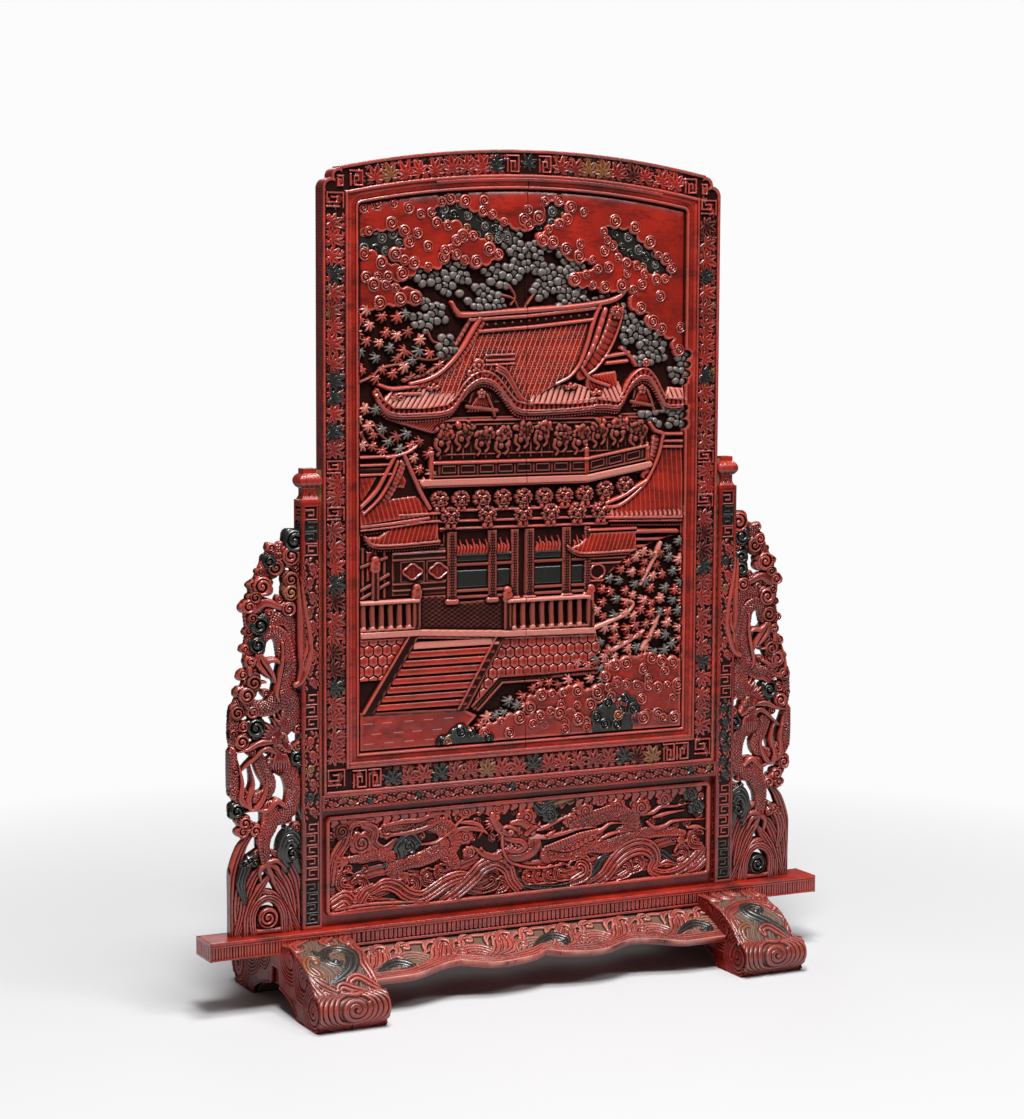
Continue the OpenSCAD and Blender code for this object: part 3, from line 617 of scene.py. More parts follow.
# A bank of cloud: a soft top with a scalloped edge, and spirals along the edge
def cloudBank(relief, outline, top, seed, holes=(), edge=None, lobe=6.8, gap=11.5, inner=1.0, tint=red,
              lift=None, curl=0.88, rise=1.15, bevel=1.8):
    rng = np.random.default_rng(seed)
    p = np.asarray(outline, float)
    lobes = []
    for ring in [p] + [np.asarray(h, float)[::-1] for h in holes]:
        closed = np.vstack([ring, ring[:1]])
        seg = np.hypot(*np.diff(closed, axis=0).T)
        run = np.concatenate([[0], np.cumsum(seg)])
        for s in np.arange(0, run[-1], gap) + rng.uniform(-2.5, 2.5, len(np.arange(0, run[-1], gap))):
            k = int(np.clip(np.searchsorted(run, s, side="right") - 1, 0, len(seg) - 1))
            if seg[k] == 0:
                continue
            d = (closed[k + 1] - closed[k]) / seg[k]
            spot = closed[k] + d * (s - run[k])
            normal = np.array([-d[1], d[0]])
            inward = polygonDistance(*(spot + normal * 0.5), p) < 0
            if ring is not p:
                inward = polygonDistance(*(spot + normal * 0.5), ring) > 0
            if edge is None or edge(*spot):
                r = lobe * rng.uniform(0.68, 1.15)
                lobes.append((*(spot + (normal if inward else -normal) * r * 0.5), r))
    at, us, vs = relief.around(p, 8)
    f = -polygonDistance(us, vs, p)
    for hole in holes:
        f = np.minimum(f, polygonDistance(us, vs, np.asarray(hole, float)))
    for x, z, r in lobes:
        f = np.maximum(f, r - np.hypot(us - x, vs - z))
    more = (lambda us, vs: 0.0) if lift is None else lift
    relief.field(at, f, top + more(us, vs), bevel, 0.5, 1.5, tint)
    kept = []
    spots, _ = scatter(outline, 12.0, seed + 1, 900)
    for x, z, r in sorted(lobes, key=lambda k: -k[2]) + [(s[0], s[1], 0) for s in spots]:
        if r == 0:
            deep = -polygonDistance(x, z, p)
            clear = all(polygonDistance(x, z, np.asarray(h, float)) > 7 for h in holes)
            if not (8 < deep < 26 and clear and rng.random() < inner and (edge is None or edge(x, z))):
                continue
            r = lobe * rng.uniform(0.78, 1.0)
        if all(math.hypot(x - a, z - b) > 0.8 * (r + c) for a, b, c in kept):
            kept.append((x, z, r))
            relief.spiral(x, z, r * curl, top + float(more(x, z)), rise, 1.3 + 0.12 * r, rng.uniform(0, 6.3),
                    rng.choice((-1, 1)), tint)


# The head of a lion on a beam end: brow, eyes, muzzle, curls of the mane and two paws
def lionHead(relief, x, z, size, base, seed, tint=brown):
    rng = np.random.default_rng(seed)
    k = size / 10
    relief.dome(x, z, 8.0 * k, base, 1.8, tint, 1.0, 0, 3)
    for n, reach, rr in ((18, 8.4, 1.25), (13, 6.4, 1.35)):
        for i in range(n):
            a = i / n * 2 * math.pi + rng.uniform(-0.15, 0.15)
            spot = (x + reach * k * math.cos(a), z + 0.92 * reach * k * math.sin(a))
            relief.dome(*spot, rr * k * rng.uniform(0.9, 1.25), base + 0.8, 1.6, tint if rng.random() < 0.8
                    else red)
    for s in (-1, 1):
        relief.bend([(x + s * 5 * k, z + 1.6 * k), (x + s * 3.2 * k, z + 3.2 * k),
                (x + s * 0.8 * k, z + 1.8 * k)], 0.8 * k, base + 2.2, 1.5)
        relief.dome(x + s * 2.7 * k, z + 0.5 * k, 1.2 * k, base + 2.2, 1.3, tint)
        relief.dome(x + s * 1.8 * k, z - 2.6 * k, 2.1 * k, base + 2.0, 1.8, tint)
        relief.dome(x + s * 5.8 * k, z + 4.6 * k, 1.5 * k, base + 1.6, 1.6)
        relief.dome(x + s * 3.2 * k, z - 9.2 * k, 2.3 * k, base + 0.4, 2.4)
        for j in (-1, 0, 1):
            relief.dome(x + (s * 3.2 + j * 1.3) * k, z - 10.8 * k, 0.8 * k, base + 0.8, 2.0, tint)
    relief.dome(x, z - 0.9 * k, 1.5 * k, base + 2.6, 1.9)
    relief.ribbon([(x - 3.4 * k, z - 4.8 * k), (x, z - 5.8 * k), (x + 3.4 * k, z - 4.8 * k)], 0.8 * k,
            base + 1.6, 1.5)


def beadRow(relief, path, pitch, r, base, rise, tint=red):
    p = np.asarray(path, float)
    seg = np.hypot(*np.diff(p, axis=0).T)
    run = np.concatenate([[0], np.cumsum(seg)])
    for s in np.arange(pitch / 2, run[-1], pitch):
        relief.dome(np.interp(s, run, p[:, 0]), np.interp(s, run, p[:, 1]), r, base, rise, tint)


# Screen frame and boards
board = {"sightX": 186.0, "sightZ": 224.0, "member": 26.0, "frontY": -7.0, "ground": -7.4, "step": 0.6,
         "crack": 0.55, "archRise": 18.0, "top": 800.0}
board["archR"] = (board["sightX"] ** 2 + board["archRise"] ** 2) / (2 * board["archRise"])
board["archZ"] = board["top"] - board["archR"]
board["sightR"] = board["archR"] - board["member"]


# Distance in from the line where the frame ends and the boards show
def sightField(us, vs, corner=0.0):
    arch = board["sightR"] - np.hypot(us, vs - board["archZ"])
    side = board["sightX"] - np.abs(us)
    low = vs - board["sightZ"]
    f = np.minimum(np.minimum(arch, side), low)
    if corner:
        a, b = np.clip(corner - arch, 0, None), np.clip(corner - side, 0, None)
        rounded = corner - np.hypot(a, b)
        f = np.where((a > 0) & (b > 0), np.minimum(rounded, low), f)
    return f


def paintMoulding(r):
    _, us, vs = r.everywhere()
    f = sightField(us, vs, 14)
    x = [-9, 0.0, 3.0, 3.4, 7.2, 7.6, 8.4, 9.2, 10.0, 10.6, 11.4, 12.6, 13.2]
    y = [0, 0.0, 0.0, -0.5, -0.7, -1.2, -0.1, 0.25, -0.1, -1.4, -3.4, -3.6, -7.4]
    band = np.interp(f, x, y)
    where = f < 12.9
    r.h[where] = band[where]
    r.tint[where] = red
    r.keep = f > 12.6


def paintSky(r):
    inField = lambda x, z: abs(x) < 170 and z < 752
    patches = [
            [(-190, 722), (-170, 722), (-157, 727), (-147, 731), (-132, 729), (-121, 716), (-123, 704),
             (-140, 693), (-156, 698), (-190, 698)],
            [(-106, 738), (-86, 756), (-62, 750), (-44, 742), (-27, 734), (-20, 716), (-42, 709), (-62, 715),
             (-74, 730)],
            [(8, 752), (26, 757), (46, 752), (50, 740), (38, 730), (22, 724), (8, 728)],
            [(78, 732), (97, 737), (118, 732), (130, 721), (142, 712), (147, 704), (160, 698), (162, 678),
             (139, 677), (124, 682), (114, 691), (98, 692), (91, 709), (80, 718)]]
    for k, patch in enumerate(patches):
        r.slab(patch, -3.3, 1.5, green)
        spots, rng = scatter(patch, 9.6, 40 + k)
        for s in spots:
            r.spiral(s[0], s[1], rng.uniform(4.0, 5.2), -3.3, 1.0, 1.8, rng.uniform(0, 6),
                    rng.choice((-1, 1)), ochre if rng.random() < 0.1 else pine if rng.random() < 0.5
                    else green)
    left = [(-192, 795), (0, 795), (0, 727), (-6, 725), (-14, 728), (-26, 730), (-36, 736), (-48, 739),
            (-58, 744), (-70, 749), (-84, 750), (-96, 744), (-101, 735), (-88, 731), (-73, 729), (-64, 719),
            (-70, 709), (-80, 704), (-87, 694), (-94, 688), (-104, 687), (-118, 689), (-130, 693),
            (-141, 698), (-129, 706), (-126, 715), (-134, 724), (-147, 726), (-157, 722), (-170, 717),
            (-192, 716)]
    tongue = [(-84, 706), (-76, 698), (-66, 693), (-54, 691), (-40, 694), (-25, 701), (-36, 708), (-46, 713),
            (-56, 721), (-66, 722), (-78, 716)]
    fingers = [
            [(-192, 704), (-168, 704), (-156, 700), (-147, 694), (-133, 688), (-119, 683), (-132, 678),
             (-160, 676), (-192, 676)],
            [(-192, 678), (-151, 676), (-137, 672), (-125, 668), (-111, 662), (-126, 657), (-140, 654),
             (-156, 652), (-192, 650)]]
    right = [(-2, 795), (192, 795), (192, 603), (177, 604), (168, 606), (160, 612), (164, 620), (150, 626),
            (141, 631), (131, 638), (134, 645), (120, 649), (111, 656), (120, 665), (106, 669), (84, 668),
            (68, 671), (54, 672), (46, 678), (62, 685), (76, 691), (68, 696), (52, 697), (40, 702), (38, 707),
            (30, 710), (16, 711), (10, 718), (22, 728), (35, 735), (45, 741), (42, 748), (26, 752), (14, 748),
            (18, 739), (12, 730), (-2, 727)]
    hole = [(84, 728), (97, 731), (114, 727), (124, 718), (137, 708), (141, 701), (155, 694), (157, 682),
            (141, 682), (128, 687), (119, 696), (102, 698), (97, 711), (87, 719)]
    roll = lambda x, z: -2.2 * np.exp(-np.clip(sightField(x, z, 14) - 12.6, 0, None) / 5.5)
    for k, finger in enumerate(fingers):
        cloudBank(r, finger, -2.0 + 0.3 * k, 11 + k, edge=inField, lift=roll)
    cloudBank(r, left, -1.3, 21, edge=inField, lift=roll)
    cloudBank(r, tongue, -0.9, 22, edge=inField)
    cloudBank(r, right, -1.3, 23, holes=[hole], edge=inField, lift=roll)


def paintTrees(r):
    pines = [
            [(-126, 690), (-100, 688), (-84, 698), (-66, 692), (-60, 673), (-80, 664), (-96, 671),
             (-118, 675)],
            [(-36, 728), (0, 726), (22, 722), (40, 704), (62, 692), (60, 676), (34, 664), (12, 656), (2, 676),
             (-20, 670), (-38, 676), (-48, 690), (-32, 700), (-24, 708)],
            [(-72, 664), (-48, 674), (-30, 666), (-20, 652), (-56, 650)],
            [(-126, 650), (-108, 658), (-90, 656), (-84, 640), (-100, 627), (-118, 636)],
            [(-92, 624), (-82, 627), (-74, 612), (-84, 590), (-94, 605)],
            [(38, 669), (74, 670), (92, 662), (60, 654), (36, 652)],
            [(106, 654), (118, 642), (130, 636), (152, 620), (154, 604), (138, 591), (118, 600), (104, 612)],
            [(158, 606), (178, 606), (178, 576), (162, 578)],
            [(120, 556), (176, 560), (176, 536), (140, 536)]]
    for k, shape in enumerate(pines):
        berries(r, shape, 5.2, 3.8, -5.8, 3.0, 60 + k)
    for path in ([(-30, 664), (-14, 660), (-8, 650)], [(8, 664), (2, 656), (-4, 648)],
            [(-18, 672), (-12, 662), (-16, 654)], [(-128, 612), (-112, 604), (-96, 603), (-84, 608)],
            [(-150, 596), (-128, 600), (-112, 604)], [(-104, 630), (-98, 620), (-88, 618)],
            [(-172, 583), (-160, 588), (-152, 596)], [(-160, 545), (-150, 532), (-138, 524)],
            [(-172, 535), (-164, 524), (-150, 518)]):
        r.bend(path, [1.3, 0.7], -4.2, 1.6, brown)
    mix = [(red, 0.42), (paleAndHighlight, 0.2), (brown, 0.16), (pine, 0.22)]
    leaves(r, [(-176, 650), (-126, 652), (-116, 626), (-84, 606), (-84, 592), (-116, 585), (-150, 584),
            (-176, 594)], 10.0, 7.4, -3.4, 1.4, 71, mix, fold=-0.35, fat=0.19)
    leaves(r, [(-176, 566), (-158, 560), (-148, 544), (-112, 530), (-96, 512), (-96, 488), (-112, 488),
            (-126, 515), (-176, 518)], 10.0, 7.0, -3.0, 1.4, 72, mix, fold=-0.35, fat=0.19)


# A tiled slope: ribs leaning by shear, and short cross marks between them; a rib tint, when given, paints the
# rib tops paler as a painted highlight
def tiles(r, outline, top, pitch, shear, rise, cross=0.0, tint=red, ribHighlightTint=None, ribW=0.16):
    p = np.asarray(outline, float)
    at, us, vs = r.around(p, 1)
    f = -polygonDistance(us, vs, p)
    c = (us - shear * (vs - p[:, 1].min())) / pitch
    share = c - np.floor(c)
    rib = np.clip(1 - np.abs(share - 0.5) / ribW, 0, 1) ** 0.6
    h = (top(us, vs) if callable(top) else top) + rise * rib
    if cross:
        row = vs / cross + 0.5 * (np.floor(c) % 2)
        mark = np.clip(1 - np.abs(row - np.floor(row) - 0.5) * cross / 0.5, 0, 1)
        mark = 0.75 * mark * (np.abs(((share + 0.5) % 1) - 0.5) < 0.22)
        h = h + 0.7 * rise * mark
        rib = np.maximum(rib, mark)
    shape = h - 0.5 * np.clip(1 - f / 0.7, 0, 1) - steep * np.clip(-f, 0, None)
    r.raiseTo(at, shape, tint)
    if ribHighlightTint is not None:
        # Painted highlight: the rib tops take the paler tint
        mask = (rib > 0.45) & (f > 0) & (r.h[at] <= shape + 1e-6)
        r.tint[at][mask] = ribHighlightTint


def lean(v0, h0, v1, h1):
    return lambda us, vs: h0 + (h1 - h0) * np.clip((vs - v0) / (v1 - v0), 0, 1) + 0 * us


def paintHall(r):
    # Main slope, its hips and the ridge; the pale rib tops are a painted highlight
    tiles(r, [(-50, 630), (70, 640), (64, 615), (54, 596), (44, 584), (30, 577), (6, 564), (-40, 562),
            (-96, 566), (-112, 582), (-92, 590), (-74, 606), (-62, 622)], lean(562, -1.8, 640, -4.2), 5.4,
            0.42, 0.6, 4.6, ribHighlightTint=paleAndHighlight, ribW=0.12)
    r.slab([(-52, 640), (78, 651), (72, 640), (-48, 628)], -3.6, tint=brown)
    beadRow(r, [(-46, 635), (72, 645)], 9, 1.2, -3.4, 0.9, brown)
    ridge = through([(-79, 656), (-74, 648), (-65, 644.5), (-20, 647.5), (40, 651.5), (80, 656), (99, 661),
            (110, 670)])
    r.ribbon(ridge, [1.6, 2.3, 2.5, 2.5, 2.5, 2.5, 2.3, 1.5], -2.2, 1.8)
    r.ribbon([(-60, 640), (0, 643.5), (80, 651.5)], 1.7, -2.2, 1.3)
    r.ribbon([(-50, 629), (10, 633.5), (72, 640)], 1.6, -2.4, 1.5)
    hipLeft = through([(-50, 641), (-58, 629), (-67, 615), (-78, 602), (-91, 591), (-104, 584.5),
            (-122, 580.5)])
    r.ribbon(hipLeft + (4.5, -2.5), 2.6, -3.0, 1.3, red, ticks(4.2, 0.8))
    r.ribbon(hipLeft, [2.4, 2.3, 1.6], -2.2, 2.0)
    r.ribbon(hipLeft - (6.0, -3.0), 2.0, -4.2, 1.6, brown, ticks(5, 1.0))
    ladder = through([(98, 652), (94, 634), (84, 612), (70, 594), (60, 587)])
    r.ribbon(ladder, [5.0, 6.0, 6.5, 5.0], -3.4, 0.3, red, ticks(6.2, 0.9), flat=True)
    r.ribbon(ladder + (7.5, 0), 1.3, -3.2, 1.6)
    r.bend([(86, 650), (80, 632), (72, 612), (62, 597)], 2.4, -2.6, 1.6, red, ticks(9, 0.9))
    hipRight = through([(79, 654), (72, 637), (65, 615), (57, 597), (46, 585), (32, 578.5)])
    r.ribbon(hipRight, [2.0, 1.9, 1.4], -1.9, 2.0)
    lionHead(r, 98, 648, 6.5, -3.4, 5, red)
    for path in ([(60, 594), (70, 583), (90, 576)], [(86, 604), (100, 606), (112, 608)],
            [(88, 598), (110, 600)], [(104, 612), (112, 606), (120, 596)]):
        r.bend(path, 1.7, -2.6, 1.8)
    tiles(r, [(66, 586), (98, 590), (100, 577), (84, 570), (66, 574)], -2.8, 3.6, -0.5, 0.6)
    # Lower ribs that come forward to the eaves, their tops painted pale as a painted highlight
    tiles(r, [(-150, 566), (-140, 575), (-112, 578), (-88, 584), (-74, 596), (-60, 600), (-72, 574),
            (-84, 560), (-110, 557), (-140, 558)], lean(558, 0.1, 582, -5.2), 5.6, 0.75, 0.9, tint=red,
            ribHighlightTint=paleAndHighlight, ribW=0.47)
    # The other eaves, with the same painted highlight on their rib tops
    for outline, slope, pitch, shear in (
            ([(2, 560), (8, 572), (34, 577), (54, 579), (74, 572), (76, 561), (48, 559)],
             lean(558, 0.1, 574, -4.4), 6.0, 0.5),
            ([(78, 563), (86, 577), (102, 580), (108, 566), (100, 560)], lean(560, 0.0, 578, -4.2), 5.2,
             -0.4),
            ([(152, 563), (158, 574), (178, 572), (178, 561)], lean(560, 0.0, 574, -4.2), 5.6, -0.3)):
        tiles(r, outline, slope, pitch, shear, 0.9, ribHighlightTint=paleAndHighlight, ribW=0.47)
    r.bend([(-154, 580), (-140, 576), (-116, 578)], [1.2, 1.8, 1.4], -2.6, 1.8)
    r.ribbon([(-134, 571), (-112, 571)], 1.5, -1.6, 1.4, red, ticks(5, 0.5))
    for x, z in ((-98, 575), (-136, 566), (48, 574), (76, 568)):
        for a in (0.4, 1.6, 2.7):
            r.ribbon(coil(x + 3.5 * math.cos(a), z + 2.5 * math.sin(a), 2.4, 1.2, a, 1), [0.9, 0.6], -1.2,
                    1.3)
    # Edges of the eaves and the two cusped gables
    r.pit([(-76, 552), (-71, 557), (-62, 570), (-54, 577), (-46, 579.5), (-37, 577), (-29, 570), (-21, 558),
            (-16, 552)], -6.4, brown)
    r.pit([(102, 552), (105, 557), (113, 567), (120, 576), (128, 579), (135, 577), (142, 569), (148, 557),
            (150, 552)], -6.4, brown)
    for line in (
            through([(-156, 572), (-150, 563), (-138, 556.5), (-110, 556), (-85, 558), (-75, 565), (-66, 577),
             (-56, 585), (-46, 588), (-35, 585), (-26, 577), (-17, 566), (-9, 559), (6, 557), (46, 558),
             (74, 560)], 6),
            through([(74, 561), (88, 561), (100, 560), (107, 568), (114, 580), (124, 588), (134, 588),
             (142, 580), (149, 568), (156, 560), (178, 560)], 6)):
        r.ribbon(line, 3.3, -1.9, 0.9, red, ticks(5.2, 1.5), flat=True)
        for below, w, base, rise, tint in ((3.6, 0.9, -1.5, 1.2, red), (5.6, 1.0, -2.0, 1.2, red),
                (7.8, 0.9, -2.9, 1.2, brown), (-3.4, 0.8, -1.2, 1.1, red)):
            r.ribbon(line - (0, below), w, base, rise, tint)
        beadRow(r, line - (0, 10.3), 3.1, 1.15, -4.6, 1.6, red)
    for x, z, w in ((-47, 566, 15), (128, 568, 11)):
        r.slab([(x - w, z - 13), (x - w * 0.7, z + 4), (x, z + 12), (x + w * 0.7, z + 4), (x + w, z - 13)],
                -5.2, tint=brown)
        for k in range(-4, 5):
            r.ribbon([(x + k * 0.7, z + 2), (x + k * w / 4.6, z - 12)], 0.8, -5.0, 1.0)
        for a in range(5):
            r.dome(x + 3 * math.cos(a * 1.26 + 0.3), z + 4 + 3 * math.sin(a * 1.26 + 0.3), 2.0, -4.0, 1.8)
        r.dome(x, z + 4, 1.6, -2.9, 1.2, green)
        r.ribbon([(x - w, z - 8), (x + w * 1.1, z - 12)], 1.8, -4.4, 1.6, brown, flat=True)
        r.ribbon([(x + 6, z + 3), (x + 10, z - 6), (x + 14, z - 17)], 1.5, -4.2, 1.8, brown, ticks(3, 0.6))
    for k in range(3):
        r.bend([(-32, 597 - 2.6 * k), (-22, 592 - 3 * k), (-14, 580 - 3 * k), (-5, 566 - 2 * k),
                (6, 561 - k)], 1.25, -1.7 - 0.2 * k, 1.5)
    r.slab([(-44, 607), (-13, 608), (-13, 598), (-44, 596)], -2.3)
    for z in (607, 602, 598):
        r.ribbon([(-43, z - 0.5), (-13, z + 0.5)], 0.9, -2.2, 1.1)
    for x, z, k in ((-51, 597, 7.0), (131, 598, 4.6)):
        r.dome(x, z, k, -2.4, 1.4)
        for a in range(8):
            r.dome(x + 0.68 * k * math.cos(a * math.pi / 4), z + 0.68 * k * math.sin(a * math.pi / 4),
                    0.27 * k, -1.3, 1.1)
        r.dome(x, z, 0.3 * k, -1.0, 1.1)
    for s in (-1, 1):
        r.ribbon(coil(-51 + s * 9, 590, 4, 1.2, 1.5 + s, s), [1.6, 0.9], -2.2, 1.5)
    # Rafters seen from below
    tiles(r, [(-138, 545), (-84, 548), (-84, 532), (-100, 534)], -4.6, 3.0, 0.9, 1.0)
    tiles(r, [(100, 545), (150, 541), (128, 530), (104, 536)], -4.6, 3.2, -0.5, 1.0)
    r.slab([(-84, 548), (134, 549), (134, 490), (-96, 490)], -5.0, tint=brown)
    for x in range(-90, 130, 12):
        r.fret([(x, 508), (x, 540)], 1.6, -4.2, brown)
        r.fret([(x + 3.5, 512), (x + 8.5, 512), (x + 8.5, 534), (x + 3.5, 534), (x + 3.5, 512)], 0.7, -4.4,
                brown)
    for z, t in ((545, red), (541, brown), (513, brown)):
        r.ribbon([(-84, z), (134, z)], 0.8, -4.6, 0.9, t)


def paintStoreys(r):
    rng = np.random.default_rng(81)
    # Brackets with carved beasts under the eaves
    for k, x in enumerate(np.linspace(-86, 124, 11)):
        z = 533 + 4 * math.sin(k * 1.7) + (4 if x > 90 else 0)
        for _ in range(26):
            a, d = rng.uniform(0, 6.3), rng.uniform(0, 1) ** 0.6
            r.dome(x + 9.5 * d * math.cos(a), z + 7.5 * d * math.sin(a), rng.uniform(1.4, 3.0),
                    -3.6 + 1.2 * (1 - d), 1.8, red if rng.random() < 0.12 else brown, rng.uniform(1, 1.7),
                    rng.uniform(0, 3))
        r.dome(x - 4, z - 9, 3.2, -3.0, 2.2, brown)
        r.dome(x + 4, z - 8, 2.6, -3.4, 2.2, brown)
        r.bend([(x - 8, z - 6), (x - 9, z - 12), (x - 5, z - 16), (x - 7, z - 20)], [2, 1.3], -3.6, 1.8,
                brown)
        r.bend([(x + 2, z - 8), (x + 4, z - 13), (x + 1, z - 17)], [1.8, 1.2], -3.8, 1.8, brown)
    for x in (-100, 66, 134):
        r.fret([(x, 492), (x, 512)], 4.0, -1.5)
        r.dome(x, 515, 2.6, -2.2, 2.0)
        r.dome(x, 519, 1.4, -2.4, 1.6)
    # Gallery rail, ledge and the heads under it
    lift = lambda x: np.interp(x, [-100, 66, 134], [0, 0, 11.5])
    edge = [-97, 66, 134]
    r.slab([(-97, 505), (66, 506), (134, 517), (134, 500), (66, 488), (-97, 488)], -2.6, tint=brown)
    r.ribbon([(x, 505.5 + lift(x)) for x in edge], 1.3, -1.9, 1.3)
    r.ribbon([(x, 492.5 + lift(x)) for x in edge], 0.9, -2.2, 0.9, brown)
    for x in np.linspace(-92, 128, 12):
        z = 499 + lift(x)
        r.fret([(x, z - 5.5), (x, z + 5.5)], 2.2, -1.9, brown)
        if x < 120:
            far = x + 17
            farZ = 499 + lift(far)
            ring = [(x + 3, z - 3.2), (far, farZ - 3.2), (far, farZ + 3.2), (x + 3, z + 3.2),
                    (x + 3, z - 3.2)]
            r.ribbon(ring, 0.55, -2.4, 0.7, brown)
    # The gallery ledge is painted pale: a painted highlight along its top
    r.ribbon([(x, 487 + lift(x)) for x in (-109, 66, 136)], 3.0, -1.5, 1.3, paleAndHighlight, flat=True)
    r.ribbon([(x, 483.4 + lift(x)) for x in (-104, 66, 133)], 0.9, -2.2, 1.2)
    for k in range(10):
        x = -91 + 22.3 * k
        lionHead(r, x, 470.5 + max(0, x - 60) * 0.17, 9.6, -3.9, 100 + k)
    r.slab([(-92, 462), (92, 462), (88, 440), (-90, 440)], -5.0, tint=brown)
    for z in (460, 450, 443):
        r.ribbon([(-90, z), (90, z - 1)], 1.2, -4.0, 1.4)
    for k, x in enumerate((-80, -41, -3, 27, 56, 82)):
        lionHead(r, x, 454.5, 10.2, -2.9, 120 + k)
    # Gate: columns with stippled faces, dark panes and flames
    r.slab([(-86, 442), (72, 440), (72, 370), (-86, 368)], -5.6, tint=brown)
    for a, b in ((-74, -40), (-31, -15), (11, 40), (52, 66)):
        r.slab(box(a, 402, b, 386), -4.6, tint=green)
        r.slab(box(a, 417, b, 411), -4.3, tint=green)
        beadRow(r, [(a, 417.5), (b, 417.5)], 2.4, 1.1, -4.2, 1.0, green)
        for z in (408, 383, 377):
            r.ribbon([(a, z), (b, z)], 1.5, -4.4, 1.4, brown, flat=True)
        for k in range(int((b - a) / 3.4)):
            x = a + 2 + k * 3.4
            r.bend([(x, 419), (x + 1.2, 424), (x - 0.6, 427 + 5 * (k % 2))], [2.0, 1.6, 0.2], -4.8, 1.6, red)
    for x, w in ((-78, 5), (-35, 4.6), (-11, 4), (5, 5), (45.5, 4.8), (68, 3)):
        r.slab(box(x - w, 440, x + w, 374), -2.9, 1.4, brown)
        r.ribbon([(x - w + 0.5, 373), (x + w - 0.5, 373)], 2.9, -3.4, 2.4)
        for z in np.arange(377, 438, 2.6):
            for dx in (-2.4, 0, 2.4):
                r.dome(x + dx + 0.6 * (int(z) % 2), z, 1.0, -2.9, 0.5, brown)
    # Side walls, cartouches and lattice
    r.slab([(-174, 428), (-84, 428), (-84, 380), (-174, 378)], -5.4, tint=brown)
    r.slab([(-140, 424), (-84, 425), (-84, 381), (-140, 381)], -4.2, tint=brown)
    for z in (421, 415, 392, 386):
        r.ribbon([(-139, z), (-85, z + 0.6)], 1.0, -4.1, 1.0, red if z == 421 else brown)
    for x in (-119, -92):
        r.fret([(x - 12, 394), (x + 12, 394), (x + 12, 413), (x - 12, 413), (x - 12, 394)], 1.0, -3.4, brown)
        ring = [(x + 9 * math.cos(a) * (1 + 0.12 * math.cos(4 * a)), 403.5 + 6.6 * math.sin(a)
                * (1 + 0.12 * math.cos(4 * a))) for a in np.linspace(0, 2 * math.pi, 33)]
        r.slab(ring, -3.6, 0.8, red)
        r.ribbon(ring, 0.9, -3.6, 1.2)
        tiles(r, [(x - 6, 399), (x + 6, 399), (x + 6, 408), (x - 6, 408)], -3.6, 1.6, 0, 0.5, tint=brown)
    for x in (-170, -160, -148):
        r.fret([(x, 380), (x, 426)], 2.4, -3.8, brown)
    for a, b in (((-172, 388), (-144, 402)), ((-172, 380), (-144, 394)), ((-172, 410), (-146, 418))):
        r.ribbon([a, b], 1.6, -3.9, 1.4, brown, flat=True)
    r.slab([(-166, 396), (-156, 400), (-156, 424), (-166, 424)], -4.0)
    r.slab([(70, 428), (176, 430), (176, 376), (70, 376)], -5.6, tint=brown)
    r.slab([(66, 412), (124, 412), (124, 378), (66, 376)], -4.4, tint=brown)
    for z in (408, 403, 386):
        r.ribbon([(66, z), (124, z)], 0.9, -4.3, 1.1)
    for z in (432, 425, 418):
        r.ribbon([(122, z), (170, z - 1)], 1.4, -3.8, 1.5)
    r.ribbon([(80 + 8 * math.cos(a), 395 + 7 * math.sin(a)) for a in np.linspace(0, 6.3, 24)], 1.0, -4.2, 1.2)
    # Floor of the terrace with a lattice of diagonal lines
    floor = [(-112, 380), (-84, 380), (-84, 372), (-16, 374), (-16, 344), (-112, 346)]
    r.slab(floor, -3.9, tint=brown)
    at, us, vs = r.window(-112, -16, 344, 380)
    f = -polygonDistance(us, vs, np.asarray(floor, float))
    for s in (0.62, -0.62):
        c = (vs - s * us) / 4.2
        line = np.clip(1 - np.abs(c - np.floor(c) - 0.5) / 0.13, 0, 1)
        r.raiseTo(at, np.where((f > 0.5) & (line > 0), -3.9 + 0.55 * line, -9), brown)


